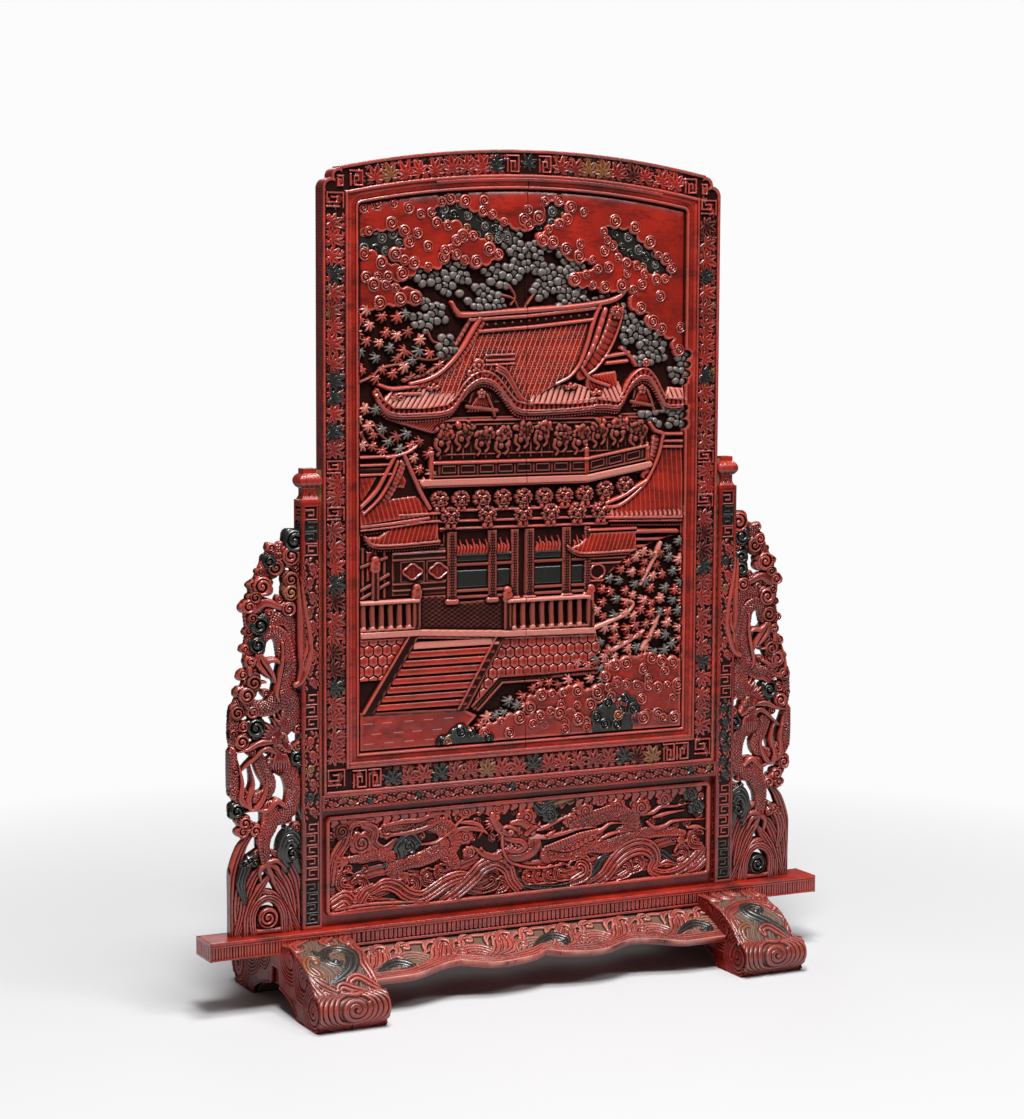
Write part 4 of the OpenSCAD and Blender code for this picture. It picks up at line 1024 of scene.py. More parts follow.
def paintWings(r):
    # Left wing: ridge, rolled hips, ladder of steps and ribs
    r.slab([(-178, 514), (-138, 514), (-126, 512), (-103, 463), (-104, 452), (-178, 448)], -4.2, tint=brown)
    tiles(r, [(-178, 494), (-156, 494), (-176, 462), (-178, 462)], -3.2, 5.0, -0.3, 0.5)
    r.fret([(-178, 500), (-150, 500)], 5.0, -3.0, brown)
    for z in (512.5, 505, 496):
        r.ribbon([(-178, z), (-142, z + 0.6)], 1.2, -2.6, 1.5)
    for path, w in (
            ([(-146, 512), (-134, 514), (-124, 517), (-116, 522)], 1.4),
            ([(-139, 512), (-148, 496), (-158, 480), (-178, 462)], 1.9),
            ([(-135, 508), (-142, 492), (-154, 474), (-170, 460)], 1.4),
            ([(-128, 513), (-121, 498), (-111, 478), (-102, 463)], 1.9)):
        r.bend(path, w, -1.9, 1.7)
    r.bend([(-131, 505), (-136, 492), (-146, 476), (-156, 467)], 4.6, -3.2, 0.4, red, ticks(4.4, 1.0),
            flat=True)
    r.bend([(-129, 508), (-133, 497), (-137, 490)], 3.6, -2.4, 0.8, red, ticks(4.2, 0.9))
    r.slab([(-131, 498), (-126, 490), (-128, 483), (-134, 484)], -3.0)
    tiles(r, [(-178, 462), (-160, 466), (-140, 473), (-116, 475), (-103, 464), (-104, 456), (-140, 453),
            (-178, 449)], lean(450, -1.2, 476, -3.6), 5.0, -0.25, 0.6, ribW=0.2)
    for z, w in ((450, 1.6), (446.6, 1.0)):
        r.ribbon([(-178, z - 2.5), (-140, z), (-103, z + 4)], w, -2.2, 1.4)
    beadRow(r, [(-176, 440), (-140, 443)], 3.2, 1.1, -4.4, 1.5, brown)
    # Right wing
    r.slab([(178, 528), (150, 528), (142, 500), (120, 470), (92, 452), (178, 446)], -3.8, tint=brown)
    tiles(r, [(153, 519), (178, 520), (178, 448), (92, 450), (104, 460), (128, 473), (142, 494)],
            lean(450, -1.1, 520, -3.0), 5.4, -0.06, 0.6, ribW=0.13)
    # Lowest tiles of the right wing: pale rib tops, a painted highlight
    tiles(r, [(94, 457), (178, 457), (178, 447), (90, 449)], lean(448, -0.6, 457, -2.0), 5.4, -0.06, 0.5,
            ribHighlightTint=paleAndHighlight, ribW=0.3)
    for z in (527.5, 520.5, 515):
        r.ribbon([(150, z + 0.5), (178, z)], 1.3, -2.5, 1.5)
    for path, w in (
            ([(136, 539), (142, 532), (150, 529)], 1.7),
            ([(151, 526), (147, 510), (140, 494), (128, 477), (104, 460), (86, 458)], 1.7),
            ([(88, 462), (106, 468), (124, 478), (132, 482)], 1.6)):
        r.bend(path, w, -1.7, 1.7)
    r.bend([(144, 524), (141, 506), (132, 488)], 4.0, -2.9, 0.5, red, ticks(3.9, 1.0), flat=True)
    r.ribbon([(86, 448), (178, 445.4)], 1.5, -1.4, 1.4)
    r.ribbon([(92, 444.4), (178, 442)], 0.9, -2.0, 1.3)
    beadRow(r, [(94, 440), (176, 437.6)], 3.0, 1.1, -4.2, 1.6, brown)
    # Small roofs over the side walls
    roofs = (
            ([(-166, 438), (-154, 438), (-141, 446), (-131, 455), (-93, 455), (-93, 433), (-139, 430),
             (-162, 429)], 0.35, [(-168, 438), (-160, 431), (-140, 429.6), (-92, 431.5)]),
            ([(48, 419), (60, 423), (72, 433), (122, 433), (122, 415), (66, 414), (52, 415)], 0.4,
             [(46, 421), (54, 416), (68, 413.6), (123, 414.4)]))
    for outline, shear, line in roofs:
        low = min(p[1] for p in outline)
        tiles(r, outline, lean(low, -1.0, low + 25, -3.6), 4.8, shear, 0.6, ribW=0.2)
        r.bend(line, 1.2, -1.5, 1.4)
        r.ribbon(through(line) - (0, 2.6), 0.9, -2.4, 1.3, brown)
        beadRow(r, through(line) - (0, 5.2), 3.0, 1.0, -4.2, 1.5, brown)
    for z in (457.5, 450):
        r.ribbon([(-133, z), (-92, z + 0.6)], 1.2, -2.4, 1.6)
    for x in (-126, -112, -98):
        r.fret([(x, 448), (x, 458)], 1.6, -2.6, brown)
    r.ribbon([(70, 436), (122, 436)], 1.2, -2.6, 1.5)
    r.ribbon([(124, 433), (168, 432)], 1.7, -2.4, 1.5)


def paintCourt(r):
    # Balustrades
    for x0, x1, z0, z1, n in ((-176, -116, 351, 376, 6), (-18, 68, 344, 371, 8)):
        r.pit(box(x0, z0, x1, z1), -7.2, brown)
        for k in range(n):
            x = x0 + 4 + (x1 - x0 - 4) * k / n
            r.slab([(x, z0 - 1), (x + 4.4, z0 - 1), (x + 3.8, z1), (x - 0.4, z1)], -1.9, 1.2, brown)
            r.dome(x + 2, z0 + 0.4, 2.5, -2.2, 1.4, paleAndHighlight)
        r.ribbon([(x0, z1), (x1 + 2, z1 + 0.2)], 1.9, -2.0, 1.8, paleAndHighlight)
        r.ribbon([(x0, z0 - 1.4), (x1 + 2, z0 - 1.2)], 1.2, -2.2, 1.2, brown)
    for x, z in ((-115, 350), (-19, 343), (72, 341), (-158, 378)):
        r.slab(box(x - 3.8, z, x + 3.8, z + 33), -1.3, 1.2, brown)
        for rr, dz in ((4.4, 34), (3.4, 38.5)):
            r.dome(x, z + dz, rr, -1.8, 1.6, red, 1.15)
        r.dome(x, z + 30.5, 4.6, -1.9, 1.2, red, 1.1)
    # Walls of six-sided stones
    for outline, shift in (
            ([(-178, 342), (-122, 341), (-150, 302), (-178, 302)], 0),
            ([(-26, 336), (90, 333), (90, 300), (20, 297), (-28, 297), (-56, 272)], 3)):
        p = np.asarray(outline, float)
        r.slab(outline, -4.6, tint=brown)
        at, us, vs = r.around(p, 0)
        f = -polygonDistance(us, vs, p)
        w, hgt = 9.4, 9.6
        best = np.full(np.broadcast(us, vs).shape, 99.0)
        row0 = np.round((vs - 340) / hgt)
        for dr in (-1, 0, 1):
            row = row0 + dr
            cx = (np.round((us - shift) / w - 0.5 * (row % 2)) + 0.5 * (row % 2)) * w + shift
            dx, dz = np.abs(us - cx), np.abs(vs - 340 - row * hgt)
            best = np.minimum(best, np.maximum(dx / (w / 2), (dx * 0.5 + dz * 0.92) / (hgt * 0.575)))
        stone = -3.9 + 1.7 * np.clip(1 - best ** 5, 0, 1) ** 0.5
        r.raiseTo(at, np.where((f > 0.6) & (best < 0.93), stone, -9), red)
    r.slab([(-178, 304), (-150, 304), (-172, 272), (-178, 272)], -5.0, tint=brown)
    # Ledge of the terrace, steps and their side rails; the ledge and the first tread are painted pale, a
    # painted highlight
    edge = [(-178, 345.6), (-113, 345.4), (-22, 339.6), (84, 337.4)]
    r.ribbon(edge, 3.0, -1.7, 1.4, paleAndHighlight, flat=True)
    r.ribbon([(x, z - 4.4) for x, z in edge], 1.0, -2.8, 1.2)
    # Both ends of a step at a height
    ends = lambda z: [np.interp(z, [270, 338], [-163, -117]), np.interp(z, [270, 338], [-68, -27])]
    z = 336.0
    for k in range(8):
        tread, riser = 5.7 - 0.05 * k, 2.6
        a, b = ends(z)
        # The first tread is painted pale: a painted highlight
        r.slab(box(a, z, b, z - tread), lean(z - tread, -1.3, z, -2.0), 0.5, paleAndHighlight if k == 0 else red)
        z -= tread
        a, b = ends(z)
        r.slab(box(a, z, b, z - riser), -3.3, 0.3, brown)
        z -= riser
    r.slab([(-180, 271), (-66, 269), (-52, 262), (-90, 226), (-180, 226)], -2.0)
    r.slab([(-178, 272.5), (-64, 270), (-64, 267), (-178, 269)], -1.8, 0.5, brown)
    for a, b, c in (((-124, 343), (-171, 272), 5.6), ((-32, 338), (-72, 270), 5.4)):
        r.slab([a, (a[0] + 2 * c, a[1] - 1), (b[0] + 2 * c, b[1] - 1), b], -1.6, 1.0, brown)
        r.ribbon([(a[0] + 0.8, a[1]), (b[0] + 0.8, b[1])], 1.0, -1.5, 0.9)
    rng = np.random.default_rng(83)
    for row, zz in enumerate((262, 252, 243)):
        for x in np.arange(-170 + 9 * (row % 2), -84, 21):
            dx = rng.uniform(-1.5, 1.5)
            r.fret([(x + dx, zz), (x + dx + 9, zz + 0.0)], 0.7, -1.75, paleAndHighlight)
    for path in ([(-56, 271), (-28, 298), (20, 298), (92, 300)], [(-50, 267), (-24, 292), (20, 292)]):
        r.ribbon(path, 1.1, -3.4, 1.2, brown)
    r.ribbon([(-53, 269), (-26, 295), (20, 295), (90, 296)], 2.0, -4.0, 0.8, brown, ticks(2.4, 0.7))


def paintLowClouds(r):
    mix = [(red, 0.36), (paleAndHighlight, 0.26), (pine, 0.26), (ochre, 0.04), (brown, 0.08)]
    r.pit([(60, 302), (86, 316), (78, 338), (76, 374), (94, 392), (118, 412), (150, 423), (180, 430),
            (180, 306)], -7.2, brown)
    for path in ([(78, 340), (96, 346), (112, 352), (120, 362), (108, 366)],
            [(100, 318), (118, 326), (132, 334)], [(130, 316), (140, 330), (150, 350)],
            [(150, 420), (140, 400), (128, 380)]):
        r.bend(path, [2.4, 1.8, 1.2], -3.4, 2.0, paleAndHighlight)
    leaves(r, [(66, 306), (86, 316), (80, 338), (78, 374), (94, 390), (118, 410), (150, 421), (178, 428),
            (178, 310)], 9.4, 7.0, -2.9, 1.6, 91, mix, fold=-0.35, fat=0.19)
    leaves(r, [(34, 318), (60, 312), (96, 318), (92, 296), (40, 292), (10, 290), (-16, 276), (-40, 262),
            (-66, 252), (-60, 246), (-10, 262), (16, 280), (60, 284), (90, 288)], 9.2, 6.8, -2.7, 1.5, 92,
            mix, fold=-0.35, fat=0.19)
    edge = lambda x, z: abs(x) < 172 and z > 240
    cloudBank(r, [(90, 300), (102, 307), (126, 306), (137, 311), (147, 308), (159, 304), (192, 303),
            (192, 270), (150, 272), (120, 276), (100, 282), (84, 290)], -1.5, 31, edge=edge)
    cloudBank(r, [(80, 276), (96, 286), (120, 284), (150, 280), (192, 284), (192, 240), (120, 250)], -1.1, 32,
            edge=edge)
    cloudBank(r, [(70, 228), (76, 258), (90, 268), (106, 273), (121, 268), (125, 256), (124, 228)], -1.0, 33,
            edge=edge, tint=green)
    r.spiral(103, 252, 5.4, -0.8, 1.0, 2.0, 1.0, 1, ochre)
    cloudBank(r, [(118, 226), (120, 250), (140, 252), (156, 248), (192, 252), (192, 226)], -0.6, 34,
            edge=edge)
    cloudBank(r, [(6, 276), (20, 282), (36, 279), (54, 284), (68, 279), (83, 274), (74, 268), (78, 260),
            (74, 244), (20, 246), (0, 266)], -1.1, 35, edge=edge)
    cloudBank(r, [(-60, 226), (-44, 250), (-27, 257), (-9, 261), (6, 258), (30, 264), (56, 258), (74, 240),
            (74, 226)], -0.6, 36, edge=edge)
    cloudBank(r, [(-102, 226), (-94, 240), (-82, 246), (-70, 252), (-60, 249), (-50, 244), (-38, 242),
            (-30, 226)], -0.2, 37, edge=edge, tint=green)
    r.spiral(-84, 239, 4.6, -0.2, 0.9, 2.0, 1.0, 1, ochre)


def paintBoards():
    s = finely(board["step"])
    r = Relief(steps(-187.2, 187.2, s), steps(223, 776.2, s), board["ground"], brown)
    r.grain(3, 0.12)
    paintMoulding(r)
    for paint in (paintTrees, paintHall, paintStoreys, paintWings, paintCourt, paintSky, paintLowClouds):
        paint(r)
        print("boards:", paint.__name__)
    rng = np.random.default_rng(4)
    soft = blurred(rng.normal(0, 1, r.h.shape), 6)
    r.h += 0.05 * soft / soft.std()
    return r


# Finishes
def feed(tree, node, values):
    for key, value in values.items():
        if isinstance(value, bpy.types.NodeSocket):
            tree.links.new(value, node.inputs[key])
        elif value is not None:
            node.inputs[key].default_value = value
    return node


def addNode(tree, kind, inputs=None, **settings):
    node = tree.nodes.new(kind)
    for key, value in settings.items():
        setattr(node, key, value)
    return feed(tree, node, inputs or {})


# A node group, what goes into it and where its results go
def newGroup(name, inputs, outputs):
    tree = bpy.data.node_groups.new(name, "ShaderNodeTree")
    for label, kind, value in inputs:
        socket = tree.interface.new_socket(label, in_out="INPUT", socket_type="NodeSocket" + kind)
        if value is not None:
            socket.default_value = value
    for label, kind in outputs:
        tree.interface.new_socket(label, in_out="OUTPUT", socket_type="NodeSocket" + kind)
    return tree, tree.nodes.new("NodeGroupInput").outputs, tree.nodes.new("NodeGroupOutput").inputs


def mixColour(tree, share, a, b):
    return addNode(tree, "ShaderNodeMix", {0: share, 6: a, 7: b}, data_type="RGBA",
            clamp_factor=True).outputs[2]


def mathNode(tree, operation, a, b=None, clamp=False):
    return addNode(tree, "ShaderNodeMath", {0: a, 1: b}, operation=operation, use_clamp=clamp).outputs[0]


def ramp(tree, value, low, high, to=(0.0, 1.0)):
    return addNode(tree, "ShaderNodeMapRange", {0: value, 1: low, 2: high, 3: to[0], 4: to[1]}).outputs[0]


def noiseNode(tree, vector, scale, detail=3.0, rough=0.55):
    values = {"Vector": vector, "Scale": scale, "Detail": detail, "Roughness": rough}
    return addNode(tree, "ShaderNodeTexNoise", values).outputs[0]


# Wear and painted light from the cavity value of the carving: rubbed edges that are also a painted highlight,
# dust in the hollows, and painted shade (Deep) in the deeper hollows
wearAndPaintedLightRange = {"edge": (0.62, 1.35), "dust": (-0.3, -0.85), "deep": (-0.12, -0.8), "even": 0.42, "coarse": 38.0,
        "fine": 420.0}


def carvedWearAndPaintedLightGroup():
    inputs = [("Cavity", "Float", 0.0), ("Place", "Vector", None), ("Edge Amount", "Float", 0.6),
            ("Dust Amount", "Float", 0.6)]
    tree, given, result = newGroup("carvedWearAndPaintedLight", inputs, [("Edge", "Float"), ("Dust", "Float"),
            ("Deep", "Float")])
    times = lambda a, b, clamp=False: mathNode(tree, "MULTIPLY", a, b, clamp)
    coarse = noiseNode(tree, given["Place"], wearAndPaintedLightRange["coarse"], 4.0)
    fine = noiseNode(tree, given["Place"], wearAndPaintedLightRange["fine"])
    shift = mathNode(tree, "ADD", mathNode(tree, "MULTIPLY_ADD", coarse, 0.5), times(fine, 0.35))
    level = mathNode(tree, "ADD", given["Cavity"], mathNode(tree, "SUBTRACT", shift, wearAndPaintedLightRange["even"]))
    edge = ramp(tree, level, *wearAndPaintedLightRange["edge"])
    tree.links.new(times(edge, given["Edge Amount"], True), result["Edge"])
    dust = ramp(tree, mathNode(tree, "SUBTRACT", given["Cavity"], times(coarse, 0.5)), *wearAndPaintedLightRange["dust"])
    tree.links.new(times(dust, given["Dust Amount"], True), result["Dust"])
    # Deep: painted shade, a mask that darkens the deeper hollows
    tree.links.new(ramp(tree, given["Cavity"], *wearAndPaintedLightRange["deep"]), result["Deep"])
    return tree


# Colour of the lacquer layers by the finish mask, the wear and painted highlight on their edges, the painted
# shade in their hollows and their patches
layerLabels = {"red": "Red", "deepRed": "Deep Red", "green": "Green", "ochre": "Ochre", "brown": "Brown",
        "paleAndHighlight": "Pale", "pine": "Pine", "worn": "Worn And Highlight", "wornPine": "Worn Pine And Highlight", "dustColour": "Dust Colour"}
# grime and specks are stains; hollow is a near-black painted shade for the deeper hollows
patinaAndShade = {"grime": (0.06, 0.004, 0.002, 1.0), "hollow": (0.006, 0.001, 0.001, 1.0),
        "speck": (0.02, 0.006, 0.005, 1.0), "patchScale": 16.0, "speckScale": 700.0, "grimeScale": 40.0,
        "streak": (0.6, 1.0, 1.7)}


def lacquerColourGroup():
    inputs = [("Layers", "Color", None), ("Pale Share", "Float", 0.0), ("Place", "Vector", None),
            ("Edge", "Float", 0.0), ("Dust", "Float", 0.0), ("Deep", "Float", 0.0)] + [(label, "Color", None)
            for label in layerLabels.values()]
    tree, given, result = newGroup("lacquerColour", inputs, [("Color", "Color"), ("Gloss", "Float")])
    times = lambda a, b, clamp=False: mathNode(tree, "MULTIPLY", a, b, clamp)
    green, ochre, brown = addNode(tree, "ShaderNodeSeparateColor", {0: given["Layers"]}).outputs
    patches = noiseNode(tree, given["Place"], patinaAndShade["patchScale"], 5.0, 0.6)
    specks = noiseNode(tree, given["Place"], patinaAndShade["speckScale"], 2.0)
    streaks = addNode(tree, "ShaderNodeMapping", {"Vector": given["Place"],
            "Scale": patinaAndShade["streak"]}).outputs[0]
    grime = ramp(tree, noiseNode(tree, streaks, patinaAndShade["grimeScale"], 9.0, 0.78), 0.47, 0.62, (0.0, 0.8))
    colour = mixColour(tree, ramp(tree, patches, 0.36, 0.66), given["Red"], given["Deep Red"])
    for share, over in ((grime, patinaAndShade["grime"]), (brown, given["Brown"]), (green, given["Green"]),
            (ochre, given["Ochre"])):
        colour = mixColour(tree, share, colour, over)
    colour = mixColour(tree, times(given["Pale Share"], 0.8), colour, given["Pale"])
    both = times(mathNode(tree, "MINIMUM", green, brown), 2.0, True)
    colour = mixColour(tree, both, colour, given["Pine"])
    plain = mathNode(tree, "SUBTRACT", 1.0, times(green, 1.8), True)
    # Rubbed edges go lighter: partly wear and partly a painted highlight, grey on the pines
    colour = mixColour(tree, times(given["Edge"], plain), colour, given["Worn And Highlight"])
    colour = mixColour(tree, times(given["Edge"], both), colour, given["Worn Pine And Highlight"])
    # Painted shade: the deeper hollows go near black
    colour = mixColour(tree, times(given["Deep"], 0.93), colour, patinaAndShade["hollow"])
    colour = mixColour(tree, given["Dust"], colour, given["Dust Colour"])
    colour = mixColour(tree, ramp(tree, specks, 0.45, 0.75, (0.0, 0.22)), colour, patinaAndShade["speck"])
    tree.links.new(colour, result["Color"])
    dull = mathNode(tree, "MAXIMUM", mathNode(tree, "MAXIMUM", given["Dust"], given["Deep"]),
            times(brown, 0.6))
    tree.links.new(mathNode(tree, "SUBTRACT", 1.0, dull, True), result["Gloss"])
    return tree


# Fine tool marks and pits of old lacquer
def oldSurfaceGroup():
    tree, given, result = newGroup("oldSurface", [("Place", "Vector", None), ("Marks", "Float", 0.5)],
            [("Height", "Float")])
    times = lambda a, b: mathNode(tree, "MULTIPLY", a, b)
    marks = noiseNode(tree, given["Place"], 900.0, 4.0, 0.6)
    dents = noiseNode(tree, given["Place"], 190.0, 2.0)
    cells = addNode(tree, "ShaderNodeTexVoronoi", {"Vector": given["Place"], "Scale": 260.0},
            feature="DISTANCE_TO_EDGE")
    cracks = ramp(tree, cells.outputs[0], 0.0, 0.03)
    total = mathNode(tree, "ADD", times(marks, given["Marks"]), times(dents, 0.8))
    tree.links.new(mathNode(tree, "ADD", total, times(cracks, 0.12)), result["Height"])
    return tree


carvedWearAndPaintedLight, lacquerColour, oldSurface = carvedWearAndPaintedLightGroup(), lacquerColourGroup(), oldSurfaceGroup()

# The two rubbed-edge colours are partly wear and partly painted highlight; the grey one for the pines is
# mostly a painted highlight on their domes
lacquer = {
    "red": (0.42, 0.017, 0.006, 1), "deepRed": (0.2, 0.008, 0.003, 1), "green": (0.012, 0.013, 0.01, 1),
    "ochre": (0.17, 0.065, 0.015, 1), "brown": (0.02, 0.004, 0.003, 1), "paleAndHighlight": (0.66, 0.26, 0.21, 1),
    "pine": (0.045, 0.039, 0.033, 1), "worn": (0.66, 0.15, 0.11, 1), "wornPine": (0.28, 0.25, 0.23, 1),
    "dustColour": (0.06, 0.022, 0.016, 1), "edge": 0.4, "dust": 0.12, "rough": (0.75, 0.42), "coat": 1.0,
    "coatRough": 0.25, "coatIor": 1.7, "specular": 0.04, "bump": 0.3, "bumpDepth": 0.0004,
}


def lacquerMaterial(name, **changes):
    look = {**lacquer, **changes}
    material = bpy.data.materials.new(name)
    material.use_nodes = True
    tree = material.node_tree
    place = addNode(tree, "ShaderNodeTexCoord").outputs["Object"]
    layers = addNode(tree, "ShaderNodeAttribute", attribute_name="finish").outputs
    cavity = addNode(tree, "ShaderNodeAttribute", attribute_name="cavity").outputs
    wearAndPaintedLight = addNode(tree, "ShaderNodeGroup", node_tree=carvedWearAndPaintedLight)
    feed(tree, wearAndPaintedLight, {"Cavity": cavity["Fac"], "Place": place, "Edge Amount": look["edge"],
            "Dust Amount": look["dust"]})
    colour = addNode(tree, "ShaderNodeGroup", node_tree=lacquerColour)
    feed(tree, colour, {"Layers": layers["Color"], "Pale Share": layers["Alpha"], "Place": place})
    feed(tree, colour, {label: wearAndPaintedLight.outputs[label] for label in ("Edge", "Dust", "Deep")})
    feed(tree, colour, {label: look[key] for key, label in layerLabels.items()})
    surface = addNode(tree, "ShaderNodeGroup", node_tree=oldSurface)
    tree.links.new(place, surface.inputs["Place"])
    relief = {"Height": surface.outputs["Height"], "Strength": look["bump"], "Distance": look["bumpDepth"]}
    bump = addNode(tree, "ShaderNodeBump", relief)
    gloss = colour.outputs["Gloss"]
    feed(tree, tree.nodes["Principled BSDF"], {"Base Color": colour.outputs["Color"],
            "Roughness": ramp(tree, gloss, 0.0, 1.0, look["rough"]), "Normal": bump.outputs["Normal"],
            "Coat Weight": ramp(tree, gloss, 0.3, 1.0, (0.0, look["coat"])),
            "Coat Roughness": look["coatRough"], "Coat IOR": look["coatIor"],
            "Specular IOR Level": look["specular"]})
    return material


pictureLacquer = lacquerMaterial("picture lacquer")
frameLacquer = lacquerMaterial("frame lacquer", red=(0.34, 0.012, 0.006, 1), deepRed=(0.15, 0.005, 0.003, 1),
        dust=0.12)
plainLacquer = lacquerMaterial("plain red lacquer", red=(0.46, 0.026, 0.012, 1), deepRed=(0.27, 0.012, 0.006,
        1), edge=0.5)
# Its rubbed-edge colour is partly wear and partly a painted highlight
waveLacquer = lacquerMaterial("worn wave lacquer", red=(0.33, 0.022, 0.012, 1), deepRed=(0.17, 0.016, 0.01,
        1), dust=0.6, dustColour=(0.09, 0.062, 0.05, 1), worn=(0.52, 0.12, 0.085, 1), edge=0.45,
        brown=(0.15, 0.095, 0.07, 1), coatRough=0.33)
# A pale rubbed-edge colour laid thick on the strand tops: partly wear, partly a painted highlight
apronLacquer = lacquerMaterial("worn apron lacquer", red=(0.37, 0.03, 0.018, 1), deepRed=(0.2, 0.02, 0.013,
        1), edge=0.8, worn=(0.7, 0.27, 0.21, 1), brown=(0.15, 0.09, 0.065, 1), coatRough=0.33)
# A darker, less glossy copy of the foot lacquer for the sides of the feet: its darker red is painted shade
shadedSideLacquer = lacquerMaterial("foot side lacquer, painted shade", red=(0.3, 0.012, 0.008, 1), deepRed=(0.14, 0.006, 0.004,
        1), coat=0.3)
dragonLacquer = lacquerMaterial("dragon lacquer", red=(0.29, 0.01, 0.007, 1), deepRed=(0.12, 0.005, 0.004, 1),
        dust=0.12)
backLacquer = lacquerMaterial("back lacquer", red=(0.16, 0.02, 0.014, 1), deepRed=(0.1, 0.012, 0.009, 1),
        edge=0.0, dust=0.0)


def woodMaterial():
    material = bpy.data.materials.new("bare wood")
    material.use_nodes = True
    tree = material.node_tree
    place = addNode(tree, "ShaderNodeTexCoord").outputs["Object"]
    stretched = addNode(tree, "ShaderNodeMapping", {"Vector": place, "Scale": (60.0, 60.0, 9.0)}).outputs[0]
    rings = noiseNode(tree, stretched, 9.0, 4.0)
    colour = mixColour(tree, ramp(tree, rings, 0.35, 0.65), (0.22, 0.12, 0.055, 1), (0.36, 0.22, 0.11, 1))
    bump = addNode(tree, "ShaderNodeBump", {"Height": rings, "Strength": 0.3, "Distance": 0.0003})
    feed(tree, tree.nodes["Principled BSDF"], {"Base Color": colour, "Normal": bump.outputs["Normal"],
            "Roughness": 0.7})
    return material


bareWood = woodMaterial()


# Camera, floor and lights
view = {"azimuth": -26.981, "elevation": 5.897, "roll": 0.266, "target": (-21.75, -18.59, 412.5),
        "distance": 2517.5, "focal": 2640.58, "imageHeight": 1119, "farthest": 60}


def placeCamera():
    az, el, roll = (math.radians(view[k]) for k in ("azimuth", "elevation", "roll"))
    back = Vector((math.sin(az) * math.cos(el), -math.cos(az) * math.cos(el), math.sin(el)))
    right = Vector((math.cos(az), math.sin(az), 0))
    up = back.cross(right)
    side = right * math.cos(roll) + up * math.sin(roll)
    top = up * math.cos(roll) - right * math.sin(roll)
    data = bpy.data.cameras.new("camera")
    data.lens = view["focal"] / view["imageHeight"] * data.sensor_width
    data.clip_end = view["farthest"]
    camera = bpy.data.objects.new("camera", data)
    bpy.context.scene.collection.objects.link(camera)
    spot = (Vector(view["target"]) + back * view["distance"]) * mm
    camera.matrix_world = Matrix.Translation(spot) @ Matrix((side, top, back)).transposed().to_4x4()
    bpy.context.scene.camera = camera


studio = {"backdrop": 0.9734, "worldLight": 0.08, "floorColour": (0.6, 0.6, 0.61, 1), "floorRough": 0.9,
          "floorHalf": 1.2, "fade": (0.3, 1.1), "aim": (0, 0, 0.35),
          "lamps": [("key", (-0.55, -1.1, 2.5), 0.7, 55.0), ("front", (1.2, -1.7, 2.4), 0.7, 15.0),
                    ("top", (0.05, -0.42, 2.6), 0.7, 45.0), ("rear", (0.8, 2.4, 1.6), 1.4, 9.0)]}


def lightStudio():
    world = bpy.data.worlds.new("studio")
    bpy.context.scene.world = world
    world.use_nodes = True
    tree = world.node_tree
    tree.nodes.clear()
    path = addNode(tree, "ShaderNodeLightPath")
    seen = mathNode(tree, "MAXIMUM", path.outputs["Is Camera Ray"], path.outputs["Is Transmission Ray"])
    strength = ramp(tree, seen, 0.0, 1.0, (studio["worldLight"], studio["backdrop"]))
    shade = addNode(tree, "ShaderNodeBackground", {"Color": (1, 1, 1, 1), "Strength": strength})
    tree.links.new(shade.outputs[0], addNode(tree, "ShaderNodeOutputWorld").inputs[0])
    for name, spot, size, power in studio["lamps"]:
        data = bpy.data.lights.new(name, "AREA")
        data.energy, data.size, data.shape = power, size, "DISK"
        lamp = bpy.data.objects.new(name, data)
        bpy.context.scene.collection.objects.link(lamp)
        lamp.location = spot
        lamp.rotation_euler = (Vector(studio["aim"]) - Vector(spot)).to_track_quat("-Z", "Y").to_euler()


# White paper: it takes shadows near the part and fades into the backdrop away from it
def paperMaterial():
    material = bpy.data.materials.new("white paper")
    material.use_nodes = True
    tree = material.node_tree
    shader = feed(tree, tree.nodes["Principled BSDF"],
                  {"Base Color": studio["floorColour"], "Roughness": studio["floorRough"]})
    place = addNode(tree, "ShaderNodeTexCoord").outputs["Object"]
    away = addNode(tree, "ShaderNodeVectorMath", {0: place}, operation="LENGTH").outputs["Value"]
    path = addNode(tree, "ShaderNodeLightPath")
    share = mathNode(tree, "MULTIPLY", ramp(tree, away, *studio["fade"]), path.outputs["Is Camera Ray"])
    glow = addNode(tree, "ShaderNodeEmission", {"Color": (1, 1, 1, 1), "Strength": studio["backdrop"]})
    mixed = addNode(tree, "ShaderNodeMixShader", {0: share, 1: shader.outputs[0], 2: glow.outputs[0]})
    tree.links.new(mixed.outputs[0], tree.nodes["Material Output"].inputs[0])
    return material


def layFloor():
    mesh = bpy.data.meshes.new("floor")
    r = studio["floorHalf"]
    mesh.from_pydata([(-r, -r, 0), (r, -r, 0), (r, r, 0), (-r, r, 0)], [], [(0, 1, 2, 3)])
    mesh.materials.append(paperMaterial())
    floor = bpy.data.objects.new("floor", mesh)
    bpy.context.scene.collection.objects.link(floor)


bpy.context.scene.view_settings.view_transform = "Standard"
placeCamera()
lightStudio()
layFloor()
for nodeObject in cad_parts.values():
    nodeObject.data.materials.clear()
    nodeObject.data.materials.append(bareWood)
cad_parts["back_panel"].data.materials[0] = backLacquer
print("camera, studio and finishes are set")


